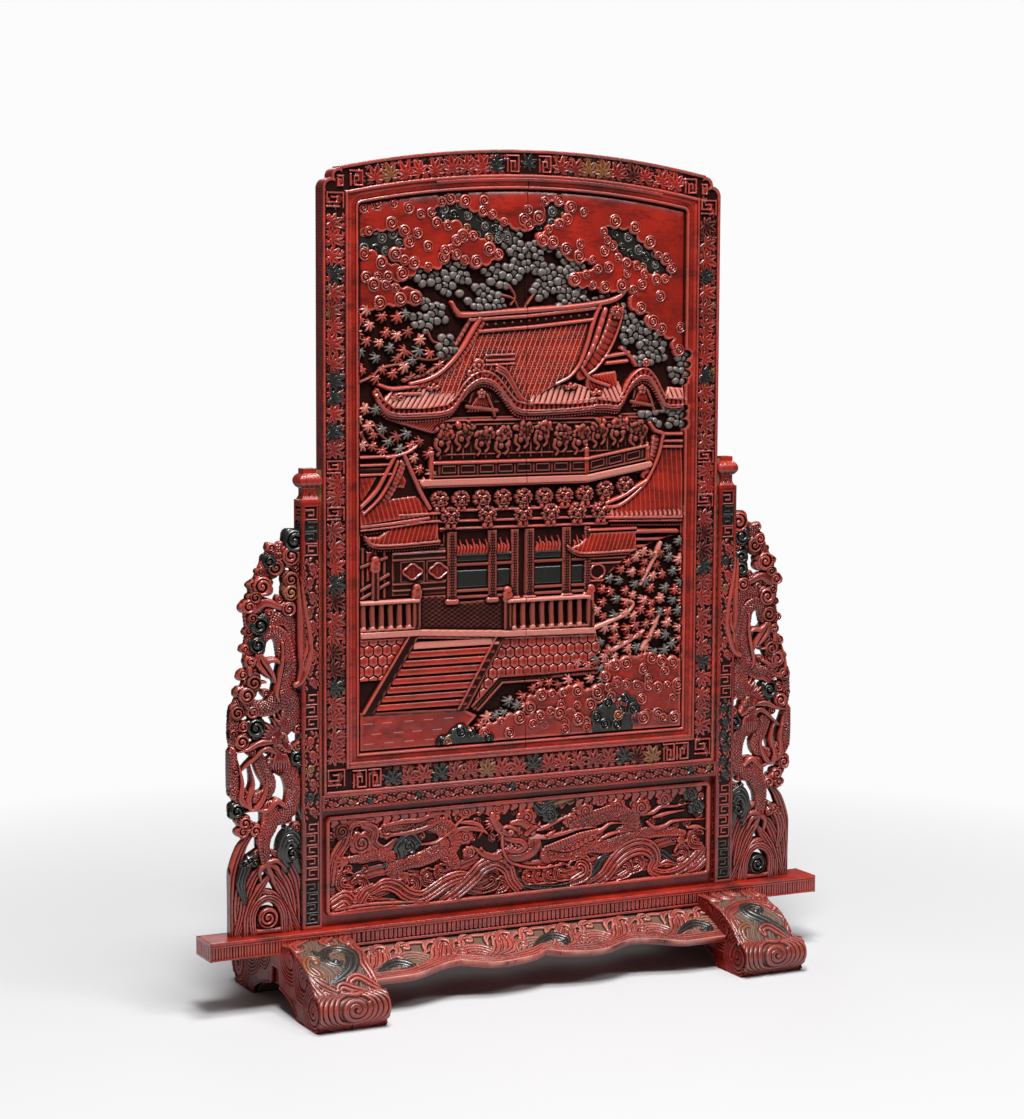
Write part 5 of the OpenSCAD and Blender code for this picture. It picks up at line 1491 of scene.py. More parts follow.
def makeBoards():
    r = paintBoards()
    r.cavity = cavityOf(r.h, finely(board["step"]), 6.0)
    place = facing(board["frontY"])
    rows = [r.v[0], *(r.v[np.abs(r.v - z).argmin()] for z in (410, 594)), r.v[-1]]
    for side, name in sides:
        for k, level in enumerate(("court", "hall", "sky")):
            part = r.part(r.u[0] if side < 0 else -1, 1 if side < 0 else r.u[-1], rows[k], rows[k + 1])
            us, vs = np.meshgrid(part.u, part.v)
            crack = board["crack"] * (0.75 + 0.3 * np.sin(vs / 37) * np.sin(vs / 11 + 1))
            field = np.minimum(sightField(us, vs) + 1.2, side * us - crack)
            plate(f"{name}Board.{level}", part, place, pictureLacquer, "screen", "picture_lacquer",
                  [f"{name}_board"] if level == "hall" else (), field, depth=12.0)


makeBoards()
print("boards made")


# Key fret: square meanders along a strip, in cells as wide as the strip is high
def keyFret(r, u0, u1, v0, v1, top, tint=red, width=1.3, upright=False):
    along, across = ((v0, v1), (u0, u1)) if upright else ((u0, u1), (v0, v1))
    n = max(int(round((along[1] - along[0]) / (0.8 * (across[1] - across[0])))), 1)
    cell = (along[1] - along[0]) / n
    high = across[1] - across[0]
    for k in range(n):
        hook = [(0, 0.0), (0, 1.0), (0.8, 1.0), (0.8, 0.3), (0.36, 0.3), (0.36, 0.66)]
        if k % 2:
            hook = [(a, 1 - b) for a, b in hook]
        path = [(along[0] + (k + a) * cell, across[0] + b * high) for a, b in hook + [(0.36, hook[-1][1])]]
        r.fret([(b, a) for a, b in path] if upright else path, width, top, tint)
    ends = [[(along[0], across[0]), (along[1], across[0])], [(along[0], across[1]), (along[1], across[1])]]
    for line in ends:
        r.fret([(b, a) for a, b in line] if upright else line, width, top, tint)


# Running scroll: a wavy stem, a thick curl on each side in turn and comma leaves that fill the corners
def runningScroll(r, u0, u1, v0, v1, base, rise, seed, upright=False, pitch=1.05, greens=0.15):
    rng = np.random.default_rng(seed)
    along, across = ((v0, v1), (u0, u1)) if upright else ((u0, u1), (v0, v1))
    mid, half = (across[0] + across[1]) / 2, (across[1] - across[0]) / 2
    n = max(int(round((along[1] - along[0]) / (2 * half * pitch))), 1)
    cell = (along[1] - along[0]) / n

    def strand(points, width, tint):
        path = np.asarray(points)
        r.ribbon(path[:, ::-1] if upright else path, np.multiply(width, half), base, rise, tint, flat=True,
                over=True)
    s = np.linspace(along[0], along[1], 10 * n + 1)
    coils = []
    for k in range(n):
        side = 1 if k % 2 else -1
        at, to = along[0] + (k + 0.5) * cell, mid - side * 0.22 * half
        tint = green if rng.random() < greens else ochre if rng.random() < 0.04 else red
        for a, b, c in ((-0.5, -0.5, 0.5), (-0.36, -0.95, -0.2), (0.14, -1.0, 0.25), (0.36, 0.25, -0.5),
                (-0.62, 0.72, 0.4), (-0.2, 0.98, 0.2), (0.18, 0.9, -0.3)):
            p = [(at + (a + q) * cell, mid + side * (b + c * w) * half) for q, w in ((0, 0), (0.1, 0.08),
                    (0.22, 0.5), (0.26, 0.9))]
            strand(through(p, 4), [0.08, 0.26, 0.2, 0.1], tint if rng.random() < 0.5 else red)
        coils.append((coil(at, to, 0.64 * half, 1.2, side * 1.6 + math.pi, -side, 0.25), tint))
    strand(np.stack([s, mid + 0.7 * half * np.cos(math.pi * (s - along[0]) / cell)], 1), 0.16, red)
    for path, tint in coils:
        strand(path, [0.16, 0.22, 0.22, 0.28], tint)


# Screen frame
member = {"width": 26.0, "outX": 212.0, "low": 198.0, "faceY": -8.5, "thick": 17.0, "ground": -1.9,
        "leaf": 13.2, "pitch": 16.5, "lobeZ": 760.0, "joint": 0.16, "rib": 2.6, "seed": 30}


def outlineField(us, vs):
    arch = board["archR"] - np.hypot(us, vs - board["archZ"])
    out, lobeZ = member["outX"], member["lobeZ"]
    a = np.abs(us)
    f = np.minimum(out - a, lobeZ - vs)
    lobe = 10 - np.hypot(a - (out - 10), vs - lobeZ)
    upperLobe = 8 - np.hypot(a - (out - 17), vs - lobeZ - 11)
    for more in (lobe, upperLobe, np.minimum(out - 10 - a, lobeZ + 10 - vs), out - 17 - a):
        f = np.maximum(f, more)
    return np.minimum(np.minimum(arch, f), vs - member["low"])


leafMix = [(red, 0.8), (green, 0.05), (ochre, 0.04), (brown, 0.11)]


def leafRow(r, start, end, seed, base=None):
    rng = np.random.default_rng(seed)
    start, end = np.asarray(start, float), np.asarray(end, float)
    length = np.hypot(*(end - start))
    d = (end - start) / length
    n = np.array([-d[1], d[0]])
    count = max(int(round(length / member["pitch"])), 1)
    base = member["ground"] if base is None else base
    tints, odds = zip(*leafMix)
    # Small leaves along both edges, then the large ones over them
    for k in range(2 * count):
        spot = start + d * (k + 0.5) * length / (2 * count)
        for s in (-1, 1):
            turn = math.atan2(s * n[0], s * n[1]) + rng.uniform(-0.7, 0.7)
            r.leaf(*(spot + s * n * rng.uniform(4.5, 7.5)), rng.uniform(5, 6.5), turn, base, -0.5 - base,
                   tints[rng.choice(len(tints), p=odds)], lobes=5, fat=0.26, spread=1.6)
    for k in range(count):
        spot = start + d * ((k + 0.5) * length / count + rng.uniform(-1.5, 1.5)) - n * rng.uniform(2.5, 4.5)
        turn = math.atan2(n[0], n[1]) + rng.uniform(-0.45, 0.45)
        tint = green if k % 6 == 3 else tints[rng.choice(len(tints), p=odds)]
        r.leaf(*spot, member["leaf"] * rng.uniform(0.95, 1.12), turn, base + rng.uniform(0.1, 0.3),
                -0.25 - base, tint, lobes=7, fold=0.6, fat=0.31, spread=2.1)


def paintMember(r, inner=True):
    _, us, vs = r.everywhere()
    out = outlineField(us, vs)
    sight = -sightField(us, vs)
    f = np.minimum(out, sight + 0 * out) if inner else out
    band = np.interp(f, [-1, 0, 0.35, 1.3, 2.3, 2.7, 3.1, 3.6], [-0.5, -0.45, -0.08, 0, -0.1, -0.5, -1.3,
            member["ground"]])
    r.h[:] = band
    r.tint[:] = np.where(f > 3.3, brown, red)
    r.keep = f > 3.2


# Square hooks of fillets in a block of the frame
def frettedBlock(r, u0, u1, v0, v1, top=-0.15, dark=False):
    r.pit(box(u0, v0, u1, v1), member["ground"], brown, 20)
    w, h = u1 - u0, v1 - v0
    upright = h > w
    long, short = max(w, h), min(w, h)
    n = max(int(round(long / max(short, 9))), 1)
    for k in range(3 * n if short > 9 else 0):
        spot = (0.5 + 0.35 * math.sin(5 * k + u0)) * short, (k + 0.5) / (3 * n) * long
        r.leaf(*((u0 + spot[0], v0 + spot[1]) if upright else (u0 + spot[1], v0 + spot[0])), 6.5, 2.1 * k,
                member["ground"], 1.3, red, lobes=5, fat=0.26, spread=1.7)
    for k in range(n):
        for hook in (
                [(0.06, 0.06), (0.06, 0.94), (0.94, 0.94), (0.94, 0.36), (0.38, 0.36), (0.38, 0.66),
                 (0.66, 0.66)],
                [(0.26, 0.1), (0.94, 0.1)]):
            path = [((k + (a if k % 2 else 1 - a)) * long / n, b * short) for a, b in hook]
            path = [(v0 + a, u0 + b) if upright else (u0 + a, v0 + b) for a, b in path]
            r.fret([(b, a) for a, b in path] if upright else path, 1.25, top, green if dark else red)


def ribbedWall(axis, reach):
    def shape(ur, vr, share):
        wave = 0.5 * (1 - np.abs(np.sin(math.pi * (vr if axis == "v" else ur) / member["rib"])) ** 0.7)
        if axis == "v":
            return np.where(np.abs(ur) > reach, ur - np.sign(ur) * wave, ur), vr
        return ur, np.where(vr > reach, vr - wave, vr)
    return shape


def makeFrame():
    s = finely(0.55)
    place = facing(member["faceY"])
    rows = (0.0, 0.07, 0.085, 0.5, 0.915, 0.93, 1.0)
    for side, name in sides:
        u = sorted((side * 185.6, side * 212.4))
        r = Relief(steps(u[0], u[1], s), steps(197.6, 800, s), member["ground"], brown)
        paintMember(r)
        mid = side * 199.0
        leafRow(r, (mid, 452), (mid, 226), member["seed"] + side)
        leafRow(r, (mid, 738), (mid, 512), member["seed"] + 3 + side)
        for low, high, dark in ((455, 468, False), (498, 511, False), (742, 757, False), (205, 222, False)):
            frettedBlock(r, *sorted((side * 190, side * 208.4)), low, high, dark=dark)
        leafRow(r, (mid, 470), (mid, 496), member["seed"] + 8 + side)
        frettedBlock(r, *sorted((side * 191, side * 197)), 762, 772)
        us, vs = np.meshgrid(r.u, r.v)
        f = np.minimum(outlineField(us, vs), side * us - 186.0 - member["joint"])
        plate(f"{name}Stile", r, place, frameLacquer, "screen", "carved_lacquer", [f"{name}_stile"], f,
                depth=member["thick"], wallRows=rows, wallShape=ribbedWall("v", 211))
    for low, high, name, node in ((755, 800.5, "topRail", "top_rail"), (197.6, 224.6, "bottomRail",
            "bottom_rail")):
        r = Relief(steps(-186.4, 186.4, s), steps(low, high, s), member["ground"], brown)
        paintMember(r)
        if name == "topRail":
            lift = lambda x: math.sqrt((board["archR"] - 13) ** 2 - x * x) + board["archZ"]
            for k, (a, b) in enumerate(((-168, -26), (26, 168))):
                for j in range(3):
                    x0, x1 = a + j * (b - a) / 3, a + (j + 1) * (b - a) / 3
                    leafRow(r, (x0, lift(x0)), (x1, lift(x1)), 50 + 3 * k + j)
            for x in (-17, 17):
                frettedBlock(r, x - 7, x + 7, lift(x) - 8.5, lift(x) + 8.5)
            r.leaf(0, lift(0), 11, 0.3, member["ground"], 1.7, green, fat=0.27, spread=2.5)
            for x in (-178, 178):
                frettedBlock(r, x - 7, x + 7, lift(x) - 8, lift(x) + 7)
        else:
            leafRow(r, (-150, 211), (150, 211), 61)
            for x0, x1 in ((-183, -168), (-167, -153), (153, 167), (168, 183)):
                frettedBlock(r, x0, x1, 202, 220)
        us, vs = np.meshgrid(r.u, r.v)
        field = np.minimum(outlineField(us, vs), np.minimum(186.0 - member["joint"] - np.abs(us),
                -sightField(us, vs) + 0 * us))
        wall = ribbedWall("u", 770) if name == "topRail" else None
        plate(name, r, place, frameLacquer, "screen", "carved_lacquer", [node], field, depth=member["thick"],
              wallRows=rows, wallShape=wall)


makeFrame()
print("frame made")


# Thin rounded beads that hold the boards
bead = {"width": 3.0, "frontY": -8.25, "backY": -5.6, "inset": 1.5}


def makeBead(name, path, nodes):
    p = np.asarray(path, float)
    n = normals(p)
    rim = [(-1, -1), (-1, 0.3), (-0.75, 0.8), (-0.35, 1), (0.35, 1), (0.75, 0.8), (1, 0.3), (1, -1)]
    rings = []
    for across, out in rim:
        xz = p + n * across * bead["width"] / 2
        y = (bead["frontY"] + bead["backY"]) / 2 - out * (bead["backY"] - bead["frontY"]) / 2
        rings.append(np.stack([xz[:, 0], np.full(len(p), y), xz[:, 1]], 1))
    xyz = np.stack(rings, 1).reshape(-1, 3)
    k = len(rim)
    ids = np.arange(len(p) * k).reshape(len(p), k)
    nxt = np.roll(ids, -1, 1)
    quads = np.stack([ids[:-1], ids[1:], nxt[1:], nxt[:-1]], -1).reshape(-1, 4)
    uv = np.repeat(np.linspace(0, 1, len(p)), k), np.tile(np.linspace(0, 0.1, k), len(p))
    mesh = makeMesh(name, xyz, quads, np.stack(uv, 1), np.zeros((len(xyz), 4)), np.full(len(xyz), 0.25),
            [ids[0], ids[-1][::-1]])
    mesh.set_sharp_from_angle(angle=math.radians(50))
    addPiece(name, mesh, plainLacquer, "screen", "red_lacquer", *nodes)


def makeBeads():
    x, r = (board[key] - bead["inset"] for key in ("sightX", "sightR"))
    low = board["sightZ"] + bead["inset"]
    top = lambda a: board["archZ"] + math.sqrt(r * r - a * a)
    makeBead("leftBead", [(-x, z) for z in np.linspace(713, low + 1.6, 40)], ["left_bead"])
    makeBead("rightBead", [(x, z) for z in np.linspace(low + 1.6, top(x) - 2, 40)], ["right_bead"])
    makeBead("topBead", [(a, top(a)) for a in np.linspace(146, -96.7, 60)], ["top_bead"])
    makeBead("bottomBead", [(a, low) for a in np.linspace(-x - 1.4, x + 1.4, 60)], ["bottom_bead"])


makeBeads()


# Posts, their caps and the middle rail
post = {"inX": 214.4, "width": 20.0, "depth": 19.0, "low": 72.0, "high": 473.0, "grooveZ": 198.0,
        "groove": 7.0, "grooveDepth": 5.0, "corner": 0.9, "ground": -1.3}
post["midX"] = post["inX"] + post["width"] / 2


def paintPostFace(r, u0, w, seed, blocks=True):
    r.pit(box(u0 + 2.0, post["low"] + 4, u0 + w - 2.0, post["high"] - 4), post["ground"], brown, 12)
    a, b = u0 + 2.6, u0 + w - 2.6
    if not blocks:
        keyFret(r, a, b, 76, 470, -0.3, red, 1.1, True)
        return
    for low, high, tint in ((424, 468, red), (262, 296, red), (120, 174, red), (78, 117, green)):
        keyFret(r, a, b, low, high, -0.25, tint, 1.2, True)
    r.tint[np.ix_((r.v > 438) & (r.v < 455), (r.u > u0 + 2) & (r.u < u0 + w - 2))] = green
    runningScroll(r, a, b, 300, 420, post["ground"], 1.15, seed, True)
    runningScroll(r, a, b, 178, 258, post["ground"], 1.15, seed + 1, True, greens=0.4)


def makePosts():
    s = finely(0.6)
    at, total, faces = rectSection(post["width"], post["depth"], post["corner"])
    for side, name in sides:
        us = steps(0, total, s)[:-1]
        r = Relief(us, steps(post["low"], post["high"], s), 0.0, red)
        inner = "right" if side < 0 else "left"
        for k, (face, (u0, w)) in enumerate(faces.items()):
            paintPostFace(r, u0, w, 200 + 10 * k + side, face in ("front", "back") or face != inner)
        u0, w = faces[inner]
        mid, half = u0 + w / 2, post["groove"] / 2
        r.pit(box(mid - half, post["grooveZ"], mid + half, post["high"] + 5), -post["grooveDepth"], brown, 40)
        centre = side * post["midX"]

        def place(us, vs, h):
            x, y, nx, ny = at(us)
            return centre + x + nx * h, y + ny * h, vs
        tubeSheet(f"{name}Post", r, place, frameLacquer, "stand", "carved_lacquer", [f"{name}_post"])


cap = {"low": 473.0, "neck": 485.0, "roll": 500.0, "top": 504.0, "waist": 3.3, "out": 1.1, "step": 3.3,
        "reed": 1.55}


def makeCaps():
    s = finely(0.42)
    at, total, faces = rectSection(post["width"], post["depth"], post["corner"])
    for side, name in sides:
        r = Relief(steps(0, total, s)[:-1], steps(cap["low"], cap["top"], s), 0.0, red)
        mid, radius = (cap["neck"] + cap["roll"]) / 2, (cap["roll"] - cap["neck"]) / 2
        z = r.v
        neck = -cap["waist"] * np.clip((z - cap["low"] - 0.8) / 5.5, 0, 1) ** 0.6
        roll = cap["out"] - radius + np.sqrt(np.clip(radius ** 2 - (z - mid) ** 2, 0, None))
        body = np.where(z < cap["neck"], neck, np.where(z <= cap["roll"], np.maximum(roll, -cap["step"]),
                -cap["step"]))
        body = np.where(np.abs(z - cap["low"] - 1.2) < 1.2, 0.0, body)
        profile = body[:, None] + 0 * r.h
        onRoll = ((z > cap["neck"] + 1.5) & (z < cap["roll"] - 1))[:, None]
        flute = 0.45 * (np.abs(np.sin(math.pi * r.u / cap["reed"])) ** 0.7 - 1)[None, :]
        r.h[:] = np.where(onRoll, flute, 0)
        dashes = onRoll & (z < cap["neck"] + 4.2)[:, None] & (np.abs(np.sin(math.pi * r.u / cap["reed"]))
                > 0.6)[None, :]
        r.tint[dashes] = brown
        r.startCuts()
        for u0, w in faces.values():
            c = (u0 + w / 2, cap["low"] + 7.4)
            r.groove(coil(*c, 3.0, 1.6, 0.4), 0.55, 0.8, brown)
            for sgn in (-1, 1):
                r.groove([(c[0] + sgn * 4.4, c[1] + 2), (c[0] + sgn * 6.5, c[1] - 2.4)], 0.55, 0.7, brown)
        u0, w = faces["right" if side < 0 else "left"]
        slot = (np.abs(r.u - u0 - w / 2) < post["groove"] / 2 + 0.25)[None, :] & np.ones(r.h.shape, bool)
        profile[slot] = -post["grooveDepth"] - 0.2
        r.h[slot] = 0
        centre = side * post["midX"]

        def place(us, vs, h):
            x, y, nx, ny = at(us)
            shrinkX, shrinkY = 1 + profile / (post["width"] / 2), 1 + profile / (post["depth"] / 2)
            inSlot = slot & (profile < -post["grooveDepth"])
            x = np.where(inSlot, x + nx * profile, x * shrinkX)
            y = np.where(inSlot, y, y * shrinkY)
            return centre + x + nx * h, y + ny * h, vs
        tubeSheet(f"{name}PostCap", r, place, plainLacquer, "stand", "carved_lacquer", [f"{name}_post_cap"])


rail = {"half": 214.3, "low": 183.0, "high": 198.0, "depth": 19.0, "corner": 0.8, "ground": -1.3}


def makeRail():
    s = finely(0.6)
    height = rail["high"] - rail["low"]
    at, total, faces = rectSection(height, rail["depth"], rail["corner"])
    r = Relief(steps(0, total, s)[:-1], steps(-rail["half"], rail["half"], s), 0.0, red)
    for face in ("front", "back"):
        u0, w = faces[face]
        r.pit(box(u0 + 1.9, -rail["half"] + 3, u0 + w - 1.9, rail["half"] - 3), rail["ground"], brown, 12)
        runningScroll(r, u0 + 2.3, u0 + w - 2.3, -rail["half"] + 4, rail["half"] - 4, rail["ground"], 1.15,
                240, True, 1.15, 0.2)
    u0, w = faces["front"]
    for x0, x1 in ((-196, -178), (-172, -163)):
        chip = (r.v > -x1) & (r.v < -x0)
        r.tint[np.ix_(chip, (r.u > u0 + w - 3.2) & (r.u < u0 + w))] = ochre
    place = lying(at, (rail["high"] + rail["low"]) / 2)
    tubeSheet("middleRail", r, place, frameLacquer, "stand", "carved_lacquer", ["middle_rail"])


makePosts()
makeCaps()
makeRail()
print("posts, caps and middle rail made")


# Parts of the dragons, used on the brackets and the panel
def turned(x, z, k, a, points, hand=1):
    c, s = math.cos(a), math.sin(a)
    return [(x + k * (hand * p * c - q * s), z + k * (hand * p * s + q * c)) for p, q in points]


def flame(r, points, w, base, rise, tint=red):
    r.bend(points, [0.55 * w, w, 0.8 * w, 0.45 * w, 0.15], base, rise, tint, lambda s, off,
            q: -0.35 * np.exp(-(q * 4) ** 2))


def body(r, points, w, base, rise, pitch=3.3, fringe=1, tint=red, over=False):
    path = through(points)
    r.ribbon(path, w, base, rise, tint, scales(pitch, 1.3), over=over)
    if not fringe:
        return
    w = spread(w, len(path))
    edge = path + fringe * normals(path) * w[:, None] * 0.72
    r.ribbon(edge, w * 0.36, base + 0.55 * rise, 1.0, red, ticks(3.1, 1.0))


def claw(r, x, z, size, aim, base, rise=1.6):
    r.dome(x, z, 0.42 * size, base, rise)
    for k in (-1.5, -0.5, 0.5, 1.5):
        a = aim + 0.5 * k
        tip = [(x + 0.25 * size * math.cos(a), z + 0.25 * size * math.sin(a)),
               (x + 0.75 * size * math.cos(a + 0.12 * k), z + 0.75 * size * math.sin(a + 0.12 * k)),
               (x + 1.1 * size * math.cos(a - 0.25), z + 1.1 * size * math.sin(a - 0.25))]
        r.bend(tip, [0.16 * size, 0.13 * size, 0.03 * size], base, rise)


def dragonHead(r, x, z, k, a, base, hand=1):
    to = lambda *points: turned(x, z, k, a, points, hand)
    for j, ang in enumerate(np.linspace(-2.2, 1.5, 15)):
        reach = 1.5 + 0.35 * (j % 2)
        c, s = math.cos(ang), math.sin(ang)
        flame(r, to((0.45 * c + 0.3, 0.5 * s), (0.3 + reach * 0.62 * c, reach * 0.6 * s),
                (0.3 + reach * c, reach * 0.8 * s - 0.12)), 0.14 * k, base, 1.5)
    for p, rr, up, tint in (((0.15, 0.05), 0.72, 1.9, red), ((-0.45, -0.02), 0.5, 2.1, red),
            ((-0.82, 0.05), 0.34, 2.4, red), ((-0.98, 0.2), 0.17, 3.2, red), ((-0.72, 0.26), 0.15, 3.3, red),
            ((-0.18, 0.34), 0.27, 3.2, red), ((0.22, 0.4), 0.22, 3.0, red), ((-0.16, 0.24), 0.14, 3.9, brown),
            ((0.5, -0.25), 0.3, 2.6, red)):
        c = to(p)[0]
        r.dome(*c, rr * k, base + up - 1.7, 1.7, tint)
    r.bend(to((-1.05, -0.12), (-0.7, -0.22), (-0.3, -0.2), (0.15, -0.42), (0.35, -0.2)), 0.12 * k, base + 1.9,
            1.2, red)
    r.bend(to((-0.8, -0.62), (-0.4, -0.66), (0.05, -0.6), (0.35, -0.35)), [0.1 * k, 0.17 * k, 0.15 * k],
            base + 1.1, 1.5, red)
    for p in ((-0.75, -0.36), (-0.5, -0.4), (-0.25, -0.42)):
        r.dome(*to(p)[0], 0.07 * k, base + 1.5, 1.4, paleAndHighlight)
    r.dome(*to((-0.35, -0.47))[0], 0.1 * k, base + 1.0, 0.4, brown, 3.0, a)
    for s in (0, 0.28):
        flame(r, to((0.2 + s, 0.5), (0.5 + s, 1.0), (1.1 + s, 1.25 - s), (1.8, 1.5 - 1.4 * s)), 0.15 * k,
                base + 1.2, 1.4)
    r.bend(to((-0.1, 0.42), (0.1, 0.62), (0.35, 0.52)), 0.09 * k, base + 2.4, 1.2, ochre)


def curl(r, a, z, size, base, rise, tint=red, turn=0.0, hand=1):
    for j, (reach, rr) in enumerate(((0.55, 0.62), (0.5, 0.55), (0.6, 0.5))):
        b = turn + j * 2.2
        r.dome(a + reach * size * math.cos(b), z + reach * size * math.sin(b), rr * size, base - 0.8, rise,
                tint)
    r.spiral(a, z, 0.86 * size, base + 0.35 * rise, 0.8 * rise, 1.45, turn, hand, tint, 1.2)


# Brackets: distance out from the post across, height above the floor up
bracket = {"thin": 2.0, "low": 72.0, "high": 449.0, "reach": 70.0, "over": 14.0, "hole": -3.0}


def paintBracket(r, right):
    dark = (lambda side: green if side == right else red)
    r.slab([(0, 72), (69, 72), (69, 92), (66, 116), (63, 140), (57, 163), (47, 168), (42, 150), (36, 141),
            (24, 140), (15, 143), (4, 130), (0, 116)], -0.5, tint=brown)
    folds = (
            ([(68, 73), (68, 100), (66, 130), (58, 154), (47, 168)], [3, 5, 5.5, 5, 2]),
            ([(1, 73), (2, 100), (6, 122), (16, 140), (30, 150)], [3, 5, 6, 5, 2]),
            ([(61, 73), (62, 100), (58, 124), (50, 142), (38, 154)], [4, 5.5, 6, 5, 2]),
            ([(8, 73), (9, 96), (14, 116), (22, 130), (30, 140)], [4, 5, 5.5, 4, 2]),
            ([(64, 73), (58, 92), (54, 112), (46, 128), (36, 138)], [3, 5, 6, 5, 2]),
            ([(3, 74), (12, 92), (18, 108), (26, 122), (34, 132)], [3, 4.5, 5, 4, 2]),
            ([(54, 73), (53, 90), (48, 104), (40, 116), (32, 126)], [4, 5, 5, 4.5, 2]),
            ([(12, 73), (15, 88), (21, 100), (29, 109), (38, 112)], [4, 4.5, 4.5, 4, 2]),
            ([(48, 74), (49, 90), (44, 101), (34, 106), (24, 102), (18, 90), (17, 74)],
             [3.5, 4, 4, 4, 4, 4, 3.5]))
    for k, (path, w) in enumerate(folds):
        r.bend(path, w, 0.6 + 0.35 * k, 2.6, red, reeds(3, 1.3), over=True)
    r.dome(33, 86, 11.5, 2.0, 1.6, green if right else brown)
    r.spiral(33, 87, 10, 3.6, 1.8, 2.0, 0.5, 1, green if right else red)
    r.ribbon([(18, 75), (48, 75)], 2.2, 2.8, 1.8)
    r.bend([(56, 104), (60, 122), (55, 138), (46, 148)], [2, 5, 5.5, 2], 4.0, 2.4,
            green if not right else red, reeds(3, 1.2), over=True)
    for j in range(3):
        curl(r, 56 - 5 * j, 140 + 2.5 * (j % 2), 4.6, 4.2, 1.6, dark(False), j)
        curl(r, 57 - 6 * j, 170 + 5 * (j % 2), 6.5, 2.5, 2.4, red, j)
    for rr, up in ((15, 0), (11, 0.9), (7, 1.6)):
        r.ribbon([(10 + rr * 0.75 * math.cos(t), 148 + rr * 1.3 * math.sin(t)) for t in np.linspace(-1.2, 2.6,
                20)], 2.6, 2.2 + up, 2.2, green)
    curl(r, 9, 146, 8, 2.6, 2.4, green, 1)
    r.bend([(0, 128), (5, 140), (6, 158), (14, 170)], [3, 4, 3, 2], 2.4, 2.0, green)
    # Lower leg and its claws
    body(r, [(30, 190), (30, 176), (35, 164), (36, 152), (34, 138)], [8, 8, 6, 4.5], 2.2, 3.4)
    for path in ([(34, 138), (41, 132), (40, 122)], [(34, 138), (30, 128), (26, 119)],
            [(34, 138), (25, 134), (19, 124)], [(33, 139), (24, 140), (15, 132)]):
        r.bend(path, [2.6, 2.4, 0.8], 3.6, 2.2)
    # Lower coil with belly plates, then flames and claws beside it
    body(r, [(28, 232), (16, 230), (9, 218), (6, 204), (9, 190), (20, 181), (30, 184)], [7, 8, 8, 8, 8, 7],
            1.8, 3.6, fringe=0)
    r.bend([(9, 228), (3.5, 214), (3, 198), (8, 186)], 3.4, 3.0, 1.8, red, ticks(6.4, 1.6))
    body(r, [(40, 236), (36, 226), (30, 214), (33, 204), (44, 200)], [6, 6.5, 6, 5], 1.6, 3.4)
    curl(r, 63, 190, 8, 2.0, 2.6, dark(False), 1)
    curl(r, 55, 178, 7, 2.2, 2.4, red, 2)
    body(r, [(66, 246), (66, 228), (64, 208), (58, 196)], [4, 5, 5, 3], 1.5, 3.2)
    for path in (
            [(63, 240), (58, 218), (59, 200), (50, 192)],
            [(50, 232), (47, 214), (52, 200), (50, 190)],
            [(35, 226), (34, 210), (40, 196), (46, 190)],
            [(56, 188), (44, 190), (34, 188), (24, 196), (15, 190)]):
        flame(r, path[::-1], 3.0, 4.0, 2.4)
    # Head, its whisker and the curls round it
    curl(r, 44, 266, 10.5, 2.6, 2.8, green, 0.3)
    curl(r, 3.5, 235, 8.5, 2.8, 2.8, green, 1.2)
    curl(r, 58, 254, 8.5, 2.4, 2.6, red, 2.2)
    curl(r, 62, 281, 8.0, 2.0, 2.6, brown, 1.2)
    curl(r, 47, 281, 7.0, 2.2, 2.6, red, 0.2)
    body(r, [(12, 300), (9, 286), (10, 272), (18, 262)], [8, 9, 9, 8], 1.8, 3.2)
    dragonHead(r, 20, 252, 12.5, 0.75, 2.8, 1)
    flame(r, [(27, 252), (40, 252), (52, 247), (66, 244)], 3.0, 4.2, 2.2)
    flame(r, [(22, 240), (34, 246), (48, 236), (60, 226)], 2.6, 4.0, 2.0)
    for s in np.linspace(-1, 1, 7):
        flame(r, [(20 + 5 * s, 240), (20 + 8 * s, 230), (20 + 6 * s, 220 + 4 * abs(s))], 1.3, 4.6, 1.6)
    # Middle coil, claws and the ribbons that lie over the post
    body(r, [(52, 290), (38, 284), (26, 288), (17, 300), (12, 316), (14, 334), (18, 348), (27, 354),
            (36, 348), (38, 338)], [5, 7, 8, 8.5, 8.5, 8, 7, 6, 5, 4], 1.8, 3.6)
    body(r, [(12, 330), (6, 342), (5, 356), (12, 366), (24, 366), (34, 360)], [8, 8, 7.5, 7, 6, 4], 1.2, 3.0,
            fringe=-1)
    r.bend([(18, 344), (18, 328), (21, 312), (24, 298), (22, 290)], [1.2, 1.8, 2.2, 1.2], 4.8, 2.2)
    r.bend([(6, 304), (0, 308), (-5, 318), (-9, 334), (-8, 352), (-5, 368), (-2, 386), (0, 404)],
            [2.4, 2.6, 2.4, 2.2, 1.9, 1.6, 0.5], 7.6, 1.6)
    r.bend([(2, 308), (0, 322), (1, 340), (1, 362), (2, 384), (3, 402)], [2.2, 2.4, 2.2, 2.4, 1.6, 0.6], 7.0,
            1.8)
    r.bend([(-1, 326), (-5, 336), (-5, 346)], [1.2, 1.6, 0.5], 7.6, 1.4)
    for path in ([(42, 336), (42, 326), (36, 318), (30, 312)], [(42, 336), (34, 328), (24, 328), (17, 322)],
            [(44, 330), (50, 322), (46, 310), (34, 308)], [(40, 334), (33, 324), (27, 314), (24, 306)]):
        r.bend(path, [2.6, 2.6, 2.0, 0.8], 3.8, 2.2)
